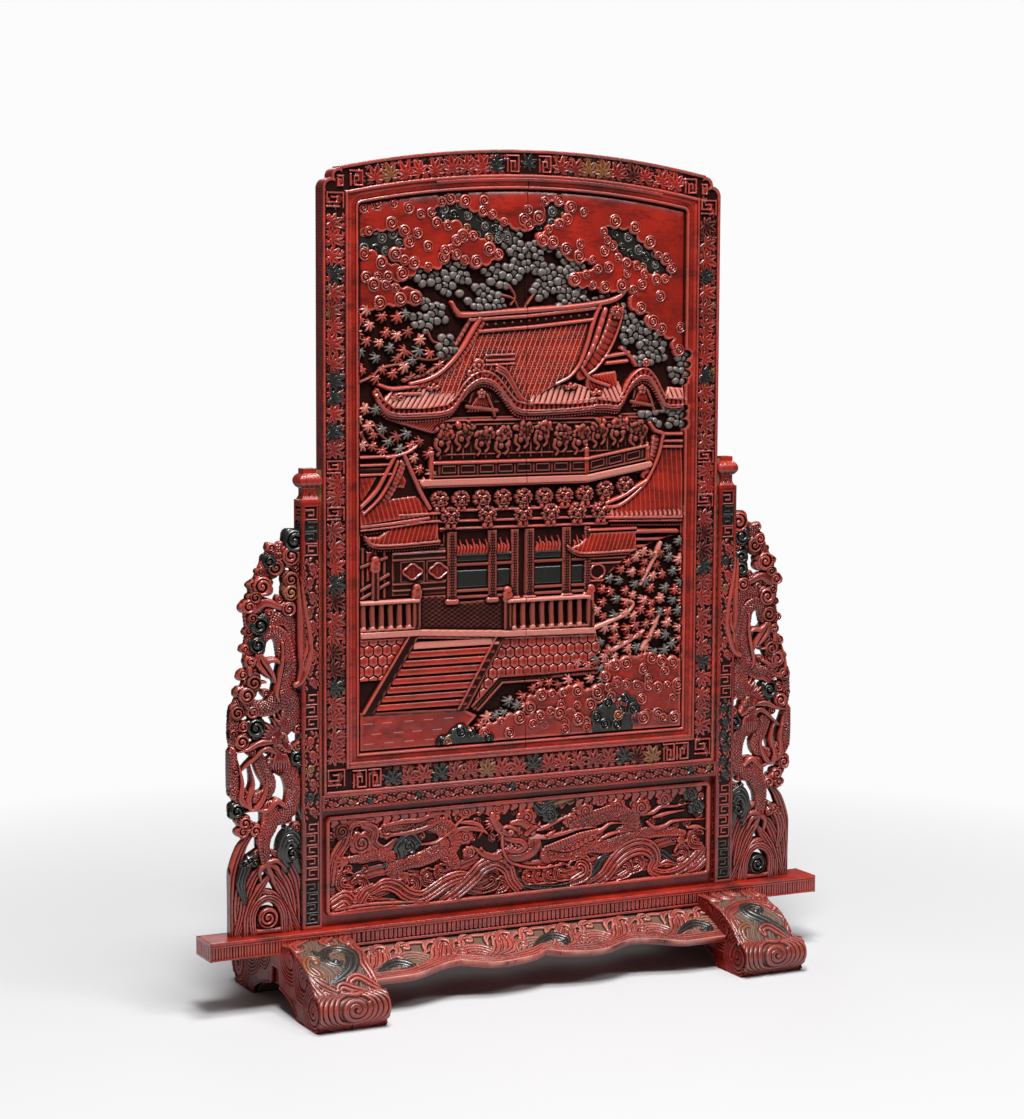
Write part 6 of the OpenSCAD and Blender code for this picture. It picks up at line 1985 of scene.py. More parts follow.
    for a, z, size, tint in ((42, 343, 8.5, green if not right else brown),
            (40, 361, 9.5, green if not right else red), (46, 308, 8, brown), (53, 297, 8.5, red),
            (49, 328, 5.5, red), (50, 379, 7, red), (37, 397, 10, red), (24, 414, 8.5, brown),
            (30, 420, 6.5, dark(False)), (9, 424, 9.5, dark(True)), (5, 438, 11, dark(False)),
            (9, 402, 8, dark(True) if right else brown), (9, 390, 8, ochre if not right else green),
            (11, 375, 7.5, red), (47, 368, 5, brown), (44, 387, 6, brown)):
        curl(r, a, z, size * 1.12, 2.4 + 0.05 * size, 2.6, tint, a)
    rng = np.random.default_rng(17)
    for a, z in [(56, 316), (54, 340), (50, 356), (40, 376), (30, 400), (19, 424), (20, 384), (30, 372),
            (56, 268), (66, 262), (48, 244), (64, 226), (66, 208), (56, 206), (38, 252), (12, 400), (20, 296),
            (2, 246), (2, 262), (6, 322), (34, 298), (60, 300), (28, 432), (38, 410), (46, 398), (4, 414),
            (60, 182), (12, 178), (4, 170)]:
        curl(r, a, z, rng.uniform(4.2, 6), rng.uniform(0.8, 1.8), 2.4, red if rng.random() < 0.7 else brown,
                a)
    r.bend([(12, 375), (22, 378), (34, 382), (46, 376)], [3.5, 3, 4, 5], 2.6, 2.4)
    body(r, [(18, 434), (28, 424), (36, 408), (42, 392), (49, 376), (48, 356), (50, 336), (48, 316),
            (56, 298), (64, 280), (66, 262), (64, 246)], [4, 6, 6, 6, 5, 4.5, 4.5, 5, 5.5, 5, 4.5, 4], 0.6,
            2.8, fringe=-1)
    if right:
        for path in ([(36, 296), (50, 290), (49, 305), (46, 318)], [(40, 286), (58, 280), (63, 292),
                (56, 318)], [(34, 280), (44, 276), (40, 300)]):
            flame(r, path, 2.6, 3.4, 2.4)


def makeBrackets():
    s = finely(0.6)
    for side, name in sides:
        r = Relief(steps(-bracket["over"], bracket["reach"], s), steps(bracket["low"] - 1, bracket["high"],
                s), bracket["hole"], red)
        _, us, vs = r.everywhere()
        paintBracket(r, side > 0)
        keep = np.minimum(vs - bracket["low"], 0 * us + 99)
        over = (us < 0.4) & (r.h < 7.0)
        field = np.where(over, -1.0, np.minimum(r.h + 0.01, keep + 0 * r.h))
        r.h = np.where(over, np.minimum(r.h, 2.0), np.clip(r.h, bracket["hole"], 9.2))
        if side < 0:
            flipped = Relief(-r.u[::-1], r.v)
            flipped.h, flipped.tint, field = r.h[:, ::-1].copy(), r.tint[:, ::-1].copy(), field[:, ::-1]
            r = flipped
        origin = side * (post["inX"] + post["width"])
        back = Relief(r.u, r.v)
        back.h, back.tint = -2 * bracket["thin"] - r.h, r.tint
        place = lambda us, vs, h: (origin + us, -bracket["thin"] - h, vs)
        plate(f"{name}Bracket", r, place, dragonLacquer, "stand", "dragon_lacquer", [f"{name}_spandrel"],
                field, back, depth=4.0)


bar = {"half": 329.5, "low": 54.0, "high": 72.0, "depth": 37.5, "corner": 0.8, "reed": 4.7, "end": 1.4}


# A breaking wave: strands run in from a tail and curl over side by side, with claws of foam on the crest
def breaker(r, x, v, size, hand, turn=0.0, low=-1.9, top=-0.15, strands=5, tint=red, claws=3, tail=2.1):
    to = lambda points: turned(x, v, size, turn, points, hand)
    at = lambda radius, a: (radius * math.cos(a), 0.12 + radius * math.sin(a))
    for k in range(strands):
        share = k / (strands - 1)
        radius = 1.02 - 0.78 * share
        path = [(-tail + 0.5 * share, -1.0 + 0.3 * share), (-0.9, -0.98 + 0.5 * share)] + [at(radius, a)
                for a in (-1.25, -0.5, 0.3, 1.1, 1.75)]
        path += [at(0.8 * radius, 2.3)] if k else []
        w = 0.4 / strands * size
        r.ribbon(through(to(path), 5), [0.3 * w, w, 1.15 * w, 1.1 * w, w, 0.7 * w], low,
                (top - low) * (0.82 + 0.18 * math.cos(2.6 * k)), tint, over=True)
    for k in range(claws):
        a = 2.5 - 0.72 * k
        path = [at(0.92, a - 0.75), at(1.13, a - 0.4), at(1.24, a - 0.05), at(1.16, a + 0.24),
                at(1.0, a + 0.2)]
        r.ribbon(through(to(path), 5), np.multiply((0.05, 0.1, 0.11, 0.09, 0.06), size), low, top - low, tint,
                over=True)
        r.dome(*to([at(1.02, a + 0.16)])[0], 0.12 * size, low, top - low, tint)
    r.dome(*to([at(0.2, 2.0)])[0], 0.16 * size, low, top - low, tint)


# Strands that flow side by side along a path
def flow(r, path, width, count, low=-1.9, top=-0.15, tint=red):
    path = through(path)
    side = normals(path)
    w = spread(width, len(path))[:, None]
    share = 1 + 0.45 * np.cos(2.3 * np.arange(count) + count)
    share /= share.sum()
    for k, part in enumerate(share):
        middle = 2 * (share[:k].sum() + part / 2) - 1
        r.ribbon(path + side * w * middle, 1.04 * part * w[:, 0], low,
                (top - low) * min(1, 0.55 + 0.45 * part * count), tint, over=True)


def arcs(r, u, v, radii, a0, a1, width, low, top, tint=red):
    for radius in radii:
        a = np.linspace(a0, a1, 14)
        r.ribbon(np.stack([u + radius * np.cos(a), v + radius * np.sin(a)], 1),
                [0.6 * width, width, 0.6 * width], low, top - low, tint, over=True)


# A tongue of foam: strands that end in a ball
def hook(r, path, width, low, top, tint=red, count=2):
    flow(r, path, width, count, low, top, tint)
    r.dome(*path[-1], 0.62 * np.max(width), low, top - low, tint)


# A puff of cloud: lobes round a spiral
def puff(r, x, z, size, top, tint=red, turn=0.0):
    for k in range(7):
        a = turn + k * 2 * math.pi / 7
        r.dome(x + 0.72 * size * math.cos(a), z + 0.6 * size * math.sin(a), 0.42 * size, top - 2.2, 2.1, tint,
                flat=3)
    r.spiral(x, z, 0.8 * size, top - 0.2, 0.5, 2.1, turn, 1 if x > 0 else -1, tint, 0.6)


# Dragon panel
panel = {"halfX": 209.4, "low": 82.0, "high": 177.0, "frontY": -8.0, "thick": 13.0, "corner": 6.0,
        "ground": -4.2}


def roundRect(us, vs, x, low, high, corner):
    mid, half = (low + high) / 2, (high - low) / 2
    a, b = np.abs(us) - (x - corner), np.abs(vs - mid) - (half - corner)
    return corner - np.hypot(np.clip(a, 0, None), np.clip(b, 0, None)) - np.clip(np.maximum(a, b), None, 0)


def paintPanel(r):
    _, us, vs = r.everywhere()
    f = roundRect(us, vs, panel["halfX"], panel["low"], panel["high"], panel["corner"])
    r.h[:] = np.interp(f, [-1, 0, 0.5, 1.3, 2.6, 3.2, 3.9, 4.4], [-1, -0.6, -0.15, 0, -0.05, -0.4, -1.6,
            panel["ground"]])
    r.tint[:] = np.where(f > 4, brown, red)
    r.keep = f > 3.4
    b = panel["ground"]
    for k, z in enumerate((92, 104, 115)):
        flow(r, [(x, z + 6 * math.sin(x / 17 + 2.1 * k)) for x in range(-204, 205, 10)], 5.5, 3, b, b + 1.3)
    spots, more = scatter(box(-204, 122, 204, 168), 13, 77)
    for k, (x, z) in enumerate(spots):
        curl(r, x, z, more.uniform(4, 6), b + more.uniform(-0.4, 0.3), 1.4, red if more.random() < 0.75
                else brown, x)
    # Clouds along the top: a fringe of slanting lobes, bands and puffs
    for x in range(-200, 204, 9):
        r.bend([(x - 3, 176), (x, 172), (x - 2, 167 + 1.5 * math.sin(x))], [4.6, 5, 2.6], b + 0.6, 2.6,
                over=True)
    for path, w, n, t in (
            ([(-204, 112), (-200, 136), (-190, 152), (-184, 168), (-160, 170)], [5, 6, 6, 5, 3], 4, red),
            ([(-172, 166), (-160, 160), (-162, 148), (-150, 140), (-136, 150)], [3, 5, 6, 5, 2], 4, red),
            ([(-150, 126), (-138, 122), (-132, 132), (-134, 142), (-122, 150), (-112, 142)],
             [2, 4, 5, 6, 6, 3], 3, green),
            ([(10, 172), (18, 164), (26, 168), (44, 172), (66, 174)], [2, 6, 6, 5, 2], 3, green)):
        flow(r, path, w, n, b + 0.6, -0.9, t)
    flow(r, [(30, 168), (40, 171), (54, 173)], [1, 3.4, 1.5], 1, b, -0.7, ochre)
    for x, z, s, t in ((-193, 162, 9, brown), (-173, 149, 12, red), (-147, 158, 8, red),
            (-124, 142, 9.5, green), (-64, 169, 7, red), (-64, 145, 8, red), (-60, 130, 6.5, red),
            (2, 158, 10, red), (28, 158, 8.5, green), (50, 151, 7.5, red), (67, 159, 8.5, red),
            (103, 160, 9, red), (130, 157, 10, red), (157, 163, 8, red), (187, 166, 8, green),
            (194, 152, 9, green), (-98, 168, 6, red), (-30, 169, 6, red), (84, 168, 6, red)):
        puff(r, x, z, s, -0.9, t, x)
    # The dragon's body, from the far loops to the near ones
    body(r, [(-150, 160), (-130, 160), (-112, 163), (-98, 158)], [3, 5, 6, 7], b + 0.4, 2.2, 2.4, over=True)
    body(r, [(-190, 134), (-172, 134), (-156, 136), (-142, 132)], [2.5, 5, 6, 6], b + 1.0, 2.3, 2.4,
            over=True)
    body(r, [(-100, 160), (-88, 156), (-80, 144), (-84, 132), (-74, 118)], [7, 9, 11, 10, 5], b + 1.0, 2.8,
            2.6, over=True)
    body(r, [(-88, 140), (-98, 133), (-112, 128), (-126, 126), (-142, 121), (-138, 115), (-126, 112)],
            [8, 8, 7, 6, 6, 5, 4], b + 1.4, 2.6, 2.4, over=True)
    body(r, [(54, 146), (76, 150), (98, 154), (112, 150), (116, 140), (106, 134)], [6, 8, 8, 8, 7, 5],
            b + 0.6, 2.6, 2.4, over=True)
    body(r, [(26, 119), (44, 124), (64, 131), (84, 136)], [9, 9, 7, 4], b + 1.0, 2.8, 2.4, over=True)
    r.bend([(30, 115), (46, 119), (62, 126), (78, 133)], [3.5, 4.4, 4, 2], b + 2.0, 2.0, red, ticks(5.4, 1.2),
            over=True)
    body(r, [(28, 120), (44, 116), (58, 118), (74, 123), (92, 122), (114, 127), (136, 131), (158, 131),
            (180, 127)], [4, 4.5, 4.5, 6, 7, 6.5, 6, 5.5, 3], b + 1.2, 2.5, 2.4, -1, over=True)
    for k in range(5):
        r.dome(126 - 1.2 * abs(k - 2), 134 + 4.4 * k, 4, b + 0.8, 2.0, flat=3)
    claw(r, -191, 133, 12, math.pi + 0.2, b + 1.6, 2.2)
    claw(r, -128, 112, 9, -1.9, b + 2.0, 1.9)
    claw(r, 78, 124, 9, 0.4, b + 2.2, 1.6)
    claw(r, 176, 120, 10, -1.2, b + 2.0, 1.9)
    # Waves: swept strands, breakers along their crests and green water between them
    greenWater = [(-9, 109), (-8, 97), (9, 89), (38, 86), (63, 89), (77, 98), (86, 109), (102, 114)]
    for path, w, n, t in (
            (greenWater, [2, 4, 4.5, 3, 4.5, 5, 4, 1], 3, green),
            ([(-106, 86), (-92, 92), (-78, 99), (-66, 103)], [2, 4.5, 4.5, 2], 3, green),
            ([(146, 112), (156, 108), (168, 99), (184, 96)], [2, 4, 4, 2], 3, green)):
        flow(r, path, w, n, b, -1.2, t)
    for x, z, s, hand, t in ((-190, 112, 9, -1, red), (-174, 108, 8, 1, red), (-164, 98, 8, -1, red),
            (-120, 103, 8.5, 1, red), (-104, 108, 8, -1, red), (-90, 112, 7, -1, red), (-36, 98, 9, 1, brown),
            (-24, 94, 7, 1, red), (5, 98, 7, -1, red), (16, 98, 7.5, -1, red), (28, 98, 8, -1, red),
            (40, 99, 8, -1, red), (62, 99, 12, 1, red), (112, 96, 9, 1, red), (126, 100, 8, 1, red),
            (178, 104, 8, 1, red), (193, 118, 9, -1, red)):
        breaker(r, x, z, s, hand, 0.1, b, -0.7, strands=4, tint=t, claws=3, tail=1.3)
    for path, w, n in (
            ([(-204, 92), (-190, 98), (-180, 90), (-170, 101), (-160, 106)], [7, 8, 7, 6, 4], 5),
            ([(-165, 100), (-150, 107), (-137, 104), (-125, 95), (-111, 91), (-98, 96), (-85, 103),
             (-71, 107), (-60, 106)], [3, 6, 7, 7, 7, 7, 7, 6, 4], 5),
            ([(-200, 86), (-170, 88), (-140, 87), (-110, 85)], 3.5, 2),
            ([(-90, 84), (-73, 92), (-58, 103), (-45, 114), (-31, 117), (-19, 110), (-14, 98), (-5, 87)],
             [4, 7, 8, 8, 7, 7, 6, 5], 5),
            ([(70, 84), (88, 92), (99, 104), (114, 115), (131, 118), (143, 112), (147, 102), (143, 93),
             (155, 87), (173, 88), (188, 95), (198, 104), (204, 110)], [4, 7, 8, 9, 9, 8, 6, 5, 5, 6, 7, 6,
             4], 5),
            ([(150, 96), (160, 98), (172, 95)], [1, 4.5, 1], 3),
            ([(180, 86), (194, 90), (205, 98)], [2, 5, 5], 3)):
        flow(r, path, w, n, b + 0.4, -0.5)
    for x, z in ((138, 113), (143, 107), (141, 119), (131, 122), (-22, 117), (-31, 121), (-14, 111)):
        r.dome(x, z, 2.8, b + 1.6, 2.3)
    # Flames and whiskers
    for path, w in (
            ([(-150, 164), (-130, 166), (-112, 166), (-96, 171), (-82, 168), (-79, 158)], 2.6),
            ([(-141, 154), (-119, 155), (-102, 159), (-90, 164), (-79, 158)], 2.6),
            ([(-77, 153), (-60, 153), (-46, 150), (-38, 144)], 2.8),
            ([(-70, 160), (-56, 158), (-46, 152), (-50, 142)], 2.4),
            ([(-111, 142), (-95, 143), (-80, 152), (-66, 164), (-50, 168), (-41, 165)], 1.5),
            ([(6, 146), (18, 146), (31, 150), (42, 154), (56, 158)], 2.4),
            ([(14, 146), (17, 153)], 1.8),
            ([(8, 139), (24, 137), (42, 139), (60, 142), (80, 142)], 2.6),
            ([(24, 138), (34, 143)], 1.9),
            ([(76, 134), (86, 139), (95, 144), (110, 143)], 2.2),
            ([(84, 130), (98, 134), (114, 135)], 2.0),
            ([(131, 150), (143, 151), (153, 156), (168, 155), (186, 157)], 2.2),
            ([(144, 146), (162, 149), (180, 150)], 2.0),
            ([(137, 142), (146, 135), (157, 136), (166, 140), (184, 140), (204, 139)], 2.4),
            ([(184, 132), (196, 132), (205, 128)], 2.0)):
        flame(r, path, w, b + 2.2, 1.9)
    paintHead(r, b)
    np.clip(r.h, b, 0, out=r.h)


# The dragon's head: nose, muzzle, brow and eye, an open jaw, and spines round the cheek and chin
def paintHead(r, b):
    def spines(x, z, near, far, low, high, count, w=1.5):
        for k, a in enumerate(np.radians(np.linspace(low, high, count))):
            reach = far * (1 - 0.12 * (k % 2))
            r.ribbon([(x + near * math.cos(a), z + near * math.sin(a)), (x + reach * math.cos(a + 0.12),
                    z + reach * math.sin(a + 0.12))], [w, 0.2], b + 1.4, 2.0, over=True)
    r.dome(-5, 139, 15.5, b - 0.2, 1.7, red, 1.2, flat=6)
    spines(-3, 134, 11, 22, -165, 8, 19)
    spines(-1, 136, 6, 15, -150, 15, 13, 1.2)
    spines(-35, 139, 14, 22, -150, -52, 12)
    spines(-31, 157, 4, 14, 100, 235, 9)
    spines(-22, 146, 3, 11, 190, 260, 5)
    for path, w, top in (
            ([(-54, 133), (-44, 126), (-32, 122), (-22, 125), (-17, 131)], [1.2, 3.4, 4.2, 3.6, 2], -0.7),
            ([(-24, 124), (-10, 119), (6, 122), (14, 131), (10, 140)], [2, 4.4, 5, 4.6, 2.4], -0.6),
            ([(-35, 161), (-30, 153), (-24, 146), (-18, 141)], [4.2, 4.4, 4.6, 4], -0.5),
            ([(-24, 141), (-13, 137), (-4, 135), (0, 130), (-5, 126), (-15, 127), (-21, 129)],
             [2, 3, 3.2, 3.6, 3.2, 2.6, 1.6], -0.2),
            ([(-14, 154), (-4, 154), (5, 148), (10, 140)], [2.4, 4.4, 4.6, 3], -0.1),
            ([(2, 142), (8, 147), (17, 148)], [3, 3.4, 1], -0.5),
            ([(-26, 148), (-20, 151), (-12, 149), (-6, 143)], [1.2, 2, 2.2, 1.6], -0.1)):
        r.bend(path, w, b + 0.8, top - b - 0.8, over=True)
    spines(-2, 148, 4, 9, 160, 250, 7, 1.0)
    for x, z in ((-35, 164), (-30, 161)):
        r.dome(x, z, 3.2, b + 2, 2.1)
    r.dome(-15, 145, 3.4, b + 1.6, 2.2, paleAndHighlight)
    r.dome(-15.5, 145, 1.6, b + 3.0, 1.1, brown)
    for x, z in ((-15, 133.5), (-10, 132.5), (-16, 130), (-11, 129)):
        r.dome(x, z, 1.1, b + 1.4, 2.0, paleAndHighlight)
    r.bend([(6, 137), (14, 138), (26, 136)], [1.5, 3.4, 0.6], b + 1.6, 2.2, paleAndHighlight, lambda s, off,
            q: -0.5 * np.abs(q), over=True)
    r.bend([(-25, 143), (-24, 129), (-17, 117), (-1, 110), (18, 107), (40, 108)], [1.6, 1.5, 1.5, 1.4, 1.2,
            0.8], b + 2.3, 1.8, over=True)


def makePanel():
    s = finely(0.65)
    r = Relief(steps(-210, 210, s), steps(panel["low"] - 0.6, panel["high"] + 0.6, s), 0.0, red)
    paintPanel(r)
    us, vs = np.meshgrid(r.u, r.v)
    field = roundRect(us, vs, panel["halfX"], panel["low"], panel["high"], panel["corner"])
    plate("dragonPanel", r, facing(panel["frontY"]), pictureLacquer, "stand", "carved_lacquer",
            ["dragon_panel"], field, depth=panel["thick"])
    r = Relief(steps(-216, 216, 6), steps(bar["high"] - 2, rail["low"] + 2, 6), 0.0, red)
    # A fixed hollow cavity value darkens the hidden tongue: painted shade, with some dust
    r.cavity = np.full(r.h.shape, -0.3)
    plate("dragonPanel.tongue", r, facing(-2.5), pictureLacquer, "stand", "carved_lacquer", depth=5.0)


makeBrackets()
makePanel()
print("brackets and panel made")


def makeBar():
    s = finely(0.62)
    height = bar["high"] - bar["low"]
    at, total, faces = rectSection(height, bar["depth"], bar["corner"])
    front, top, back, under = (faces[k][0] for k in ("front", "right", "back", "left"))
    us = np.concatenate([steps(0, top, s), steps(top, back, 3.0)[1:], steps(back, under, s)[1:],
            steps(under, total, 4.0)[1:-1]])
    half = bar["half"] - bar["end"]
    r = Relief(us, steps(-half, half, s), 0.0, red)
    for start, sign in ((front, 1), (back, -1)):
        z = (r.u - start)[None, :] * sign + (0 if sign > 0 else height - 2 * bar["corner"])
        x = r.v[:, None]
        outside = np.abs(x) > foot["midX"]
        on = (z > np.where(outside, 1.6, 2.4)) & (z < 12.6)
        share = (x / np.where(outside, 0.6 * bar["reed"], bar["reed"])) % 1 - 0.5
        low = np.where(outside, 1.6, 5.0 - 2.0 * np.sqrt(np.clip(1 - (share / 0.38) ** 2, 0, 1)))
        reed = (np.abs(share) < 0.36) & (z > low - 0.4) & (z < 12.2)
        slit = (np.abs(share) < 0.14) & (z > 5.2) & (z < 12.0) & ~outside
        r.h[on & (np.abs(r.h) < 1e-6)] = -1.0
        r.h[reed & on] = -0.25
        r.h[slit & on] = -0.5
        line = (z > 13.5) & (z < 14.3)
        r.h[line & (r.h > -0.1)] = -0.5
        r.tint[on & ~reed] = brown
    chip = np.ix_(r.v < -half + 11, (r.u > front - 1) & (r.u < front + 1.3))
    r.tint[chip] = ochre
    place = lying(at, (bar["high"] + bar["low"]) / 2)
    tubeSheet("baseBar", r, place, plainLacquer, "stand", "red_lacquer", ["base_bar"])
    for side, name in sides:
        r = Relief(steps(-bar["depth"] / 2 + 0.4, bar["depth"] / 2 - 0.4, s),
                steps(bar["low"] + 0.4, bar["high"] - 0.4, s), 0.0, red)
        _, us, vs = r.everywhere()
        on = (vs > 57) & (vs < 68) & (np.abs(us) < 16.5)
        r.h[:] = np.where(on, -1.0 * (np.abs(np.sin(math.pi * us / bar["reed"])) < 0.5), 0.0)
        end = lambda us, vs, h: (side * (bar["half"] + h), side * us, vs)
        plate(f"{name}BarEnd", r, end, plainLacquer, "stand", "red_lacquer", depth=bar["end"] + 0.4)


foot = {"midX": 224.5, "width": 70.5, "reach": 112.0, "top": 66.0, "roll": 16.0, "rollZ": 19.0,
        "archHalf": 56.0, "archH": 17.0, "waist": 5.0, "barHalf": 18.75}


def footHalf():
    r, h = foot["reach"], foot["top"]
    top = bezier((foot["barHalf"] - 2, h), (0.38 * r, h), (0.66 * r, h - 10), (0.79 * r, h - 28), 24)
    a = np.radians(np.linspace(62, -48, 26))
    roll = np.stack([r - foot["roll"] + foot["roll"] * np.cos(a), foot["rollZ"] + foot["roll"] * np.sin(a)],
            1)
    circle = (foot["archHalf"] ** 2 + foot["archH"] ** 2) / (2 * foot["archH"])
    b = np.linspace(math.atan2(circle - foot["archH"], foot["archHalf"]), math.pi / 2, 16)
    arch = np.stack([circle * np.cos(b), foot["archH"] - circle + circle * np.sin(b)], 1)
    return np.vstack([[(0, h)], top, [(0.84 * r, h / 2), (0.9 * r, foot["rollZ"] + foot["roll"])], roll,
            [(0.89 * r, 0)], arch])


# Strokes on the feet: the first number runs from the bar over the back to the roll, the second across
footHooks = {
    "left": [
        ([(12, -4), (20, -16), (30, -30), (40, -31), (41, -25)], red),
        ([(12, 20), (19, 11), (27, 3), (35, 5), (35, 12)], red),
        ([(12, 36), (20, 27), (30, 23), (37, 27), (34, 33)], red),
        ([(104, 36), (95, 26), (87, 15), (91, 5), (98, 6)], red),
        ([(104, 20), (100, 8), (95, -3), (99, -9)], red),
    ],
    "right": [
        ([(12, -24), (22, -33), (34, -31), (38, -24), (33, -20)], red),
        ([(12, -6), (22, -17), (32, -17), (37, -9), (31, -4)], red),
        ([(12, 10), (20, -2), (28, -1), (31, 6)], red),
        ([(12, 36), (24, 25), (36, 25), (40, 32)], red),
        ([(104, 26), (96, 18), (88, 8), (91, -1), (97, 1)], red),
    ],
}
footFlows = {
    "left": [
        ([(30, 34), (44, 30), (56, 33), (70, 29), (84, 31), (102, 34)], [4, 5.5, 6, 6, 5.5, 4], 3, red),
        ([(52, -34), (66, -33), (80, -31), (92, -24), (101, -10), (105, 4)], [3, 4.5, 6, 7, 6, 4], 4, red),
        ([(84, -36), (96, -32), (106, -24)], [3, 5.5, 5], 3, red),
        ([(44, -12), (50, 0), (46, 16), (52, 24)], [2, 4, 4, 2], 3, brown),
        ([(92, -17), (86, -2), (75, 13), (59, 20), (47, 15), (45, 3), (53, -7), (64, -7), (70, 1),
         (65, 7)], [0.8, 4, 6.5, 7, 6.5, 5.5, 5, 4.4, 3.4, 2.4], 3, green),
        ([(44, -16), (50, -12), (56, -14)], [2, 3, 1.4], 2, green),
        ([(80, -12), (83, -22), (75, -31), (62, -30), (55, -23), (59, -17), (66, -19)],
         [0.8, 2.6, 3.4, 3.8, 3.4, 2.8, 1.8], 2, ochre),
    ],
    "right": [
        ([(12, 24), (28, 18), (40, 23), (50, 16), (60, 3)], [5, 6, 7, 6, 3], 4, red),
        ([(46, -36), (62, -30), (80, -32), (96, -30), (108, -25)], [3, 6, 7, 6, 4], 4, red),
        ([(72, -34), (60, -24), (53, -10), (48, 6), (51, 20), (57, 29)], [3, 6.5, 7.5, 6.5, 5, 4], 4, red),
        ([(106, 31), (94, 22), (82, 9), (69, -4), (59, -5), (55, 5), (61, 13), (69, 9)],
         [2, 5, 7, 7.5, 6.5, 5, 4, 2.6], 3, green),
        ([(90, -6), (83, -15), (88, -25), (99, -25), (103, -16)], [1.2, 3.2, 4, 3.4, 1.8], 2, ochre),
    ],
}


def paintFoot(r, name, along, hand):
    to = lambda path: [(along(a), v) for a, v in path]
    for k in range(6):
        v = -30 + 12 * k
        flow(r, to([(8, v), (32, v + 6 * math.sin(1.7 * k)), (54, v - 7), (78, v + 7),
                (98, v + 3 * math.sin(2 * k)), (116, v)]), [5, 6, 6.5, 6.5, 6, 6], 4, -3.2, -1.7,
                red if k in (0, 5) else brown)
    for path, w, n, tint in footFlows[name]:
        flow(r, to(path), w, n, -3.1, -0.6, tint)
    for path, tint in footHooks[name]:
        hook(r, to(path), [2.6, 4.2, 4.4, 3.8, 3.0], -3.1, -0.08, tint, 2)
    r.dome(along(65), 1 if name == "left" else 6, 3.2, -2.2, 2.1, green)
    r.dome(along(64), -20 if name == "left" else 30, 3, -2.2, 2.1, ochre if name == "left" else red)
    # The roll: a spiral in the middle and arms round it
    mid = along(129)
    at, _, _ = r.window(mid - 26, mid + 26, -40, 40)
    r.h[at], r.tint[at] = -3.1, red
    t = np.linspace(-1.5, 1.5, 16)
    for k in range(5):
        for v in (-1, 1):
            path = np.stack([mid + (25.5 - 1.7 * k) * np.sin(t), v * (40.5 - 5.3 * k) * np.cos(t)], 1)
            r.ribbon(path, [1.5, 2.5, 1.5], -3.1, 2.9, over=True)
    r.dome(mid, 0, 16.5, -3.3, 0.6, flat=8, over=True)
    r.ribbon(coil(mid, 1, 14.2, 2.2, 1.2, hand, 0.16), [2.7, 2.9, 2.8, 2.6, 2.4], -3.0, 2.9, over=True)
    r.bend(to([(110, -35), (107, -24), (108, -10), (112, 4), (107, 18), (109, 35)]), [2.4, 3.2, 2.4, 2.6, 3.2,
            2.4], -2.6, 2.5, over=True)


# How much narrower the feet are behind the rolls
def pinch(y, z):
    y = np.abs(y)
    return 2.3 * np.clip((y - 20) / 14, 0, 1) * np.clip((97 - y) / 7, 0, 1) * np.clip((z - 18) / 12, 0, 1)


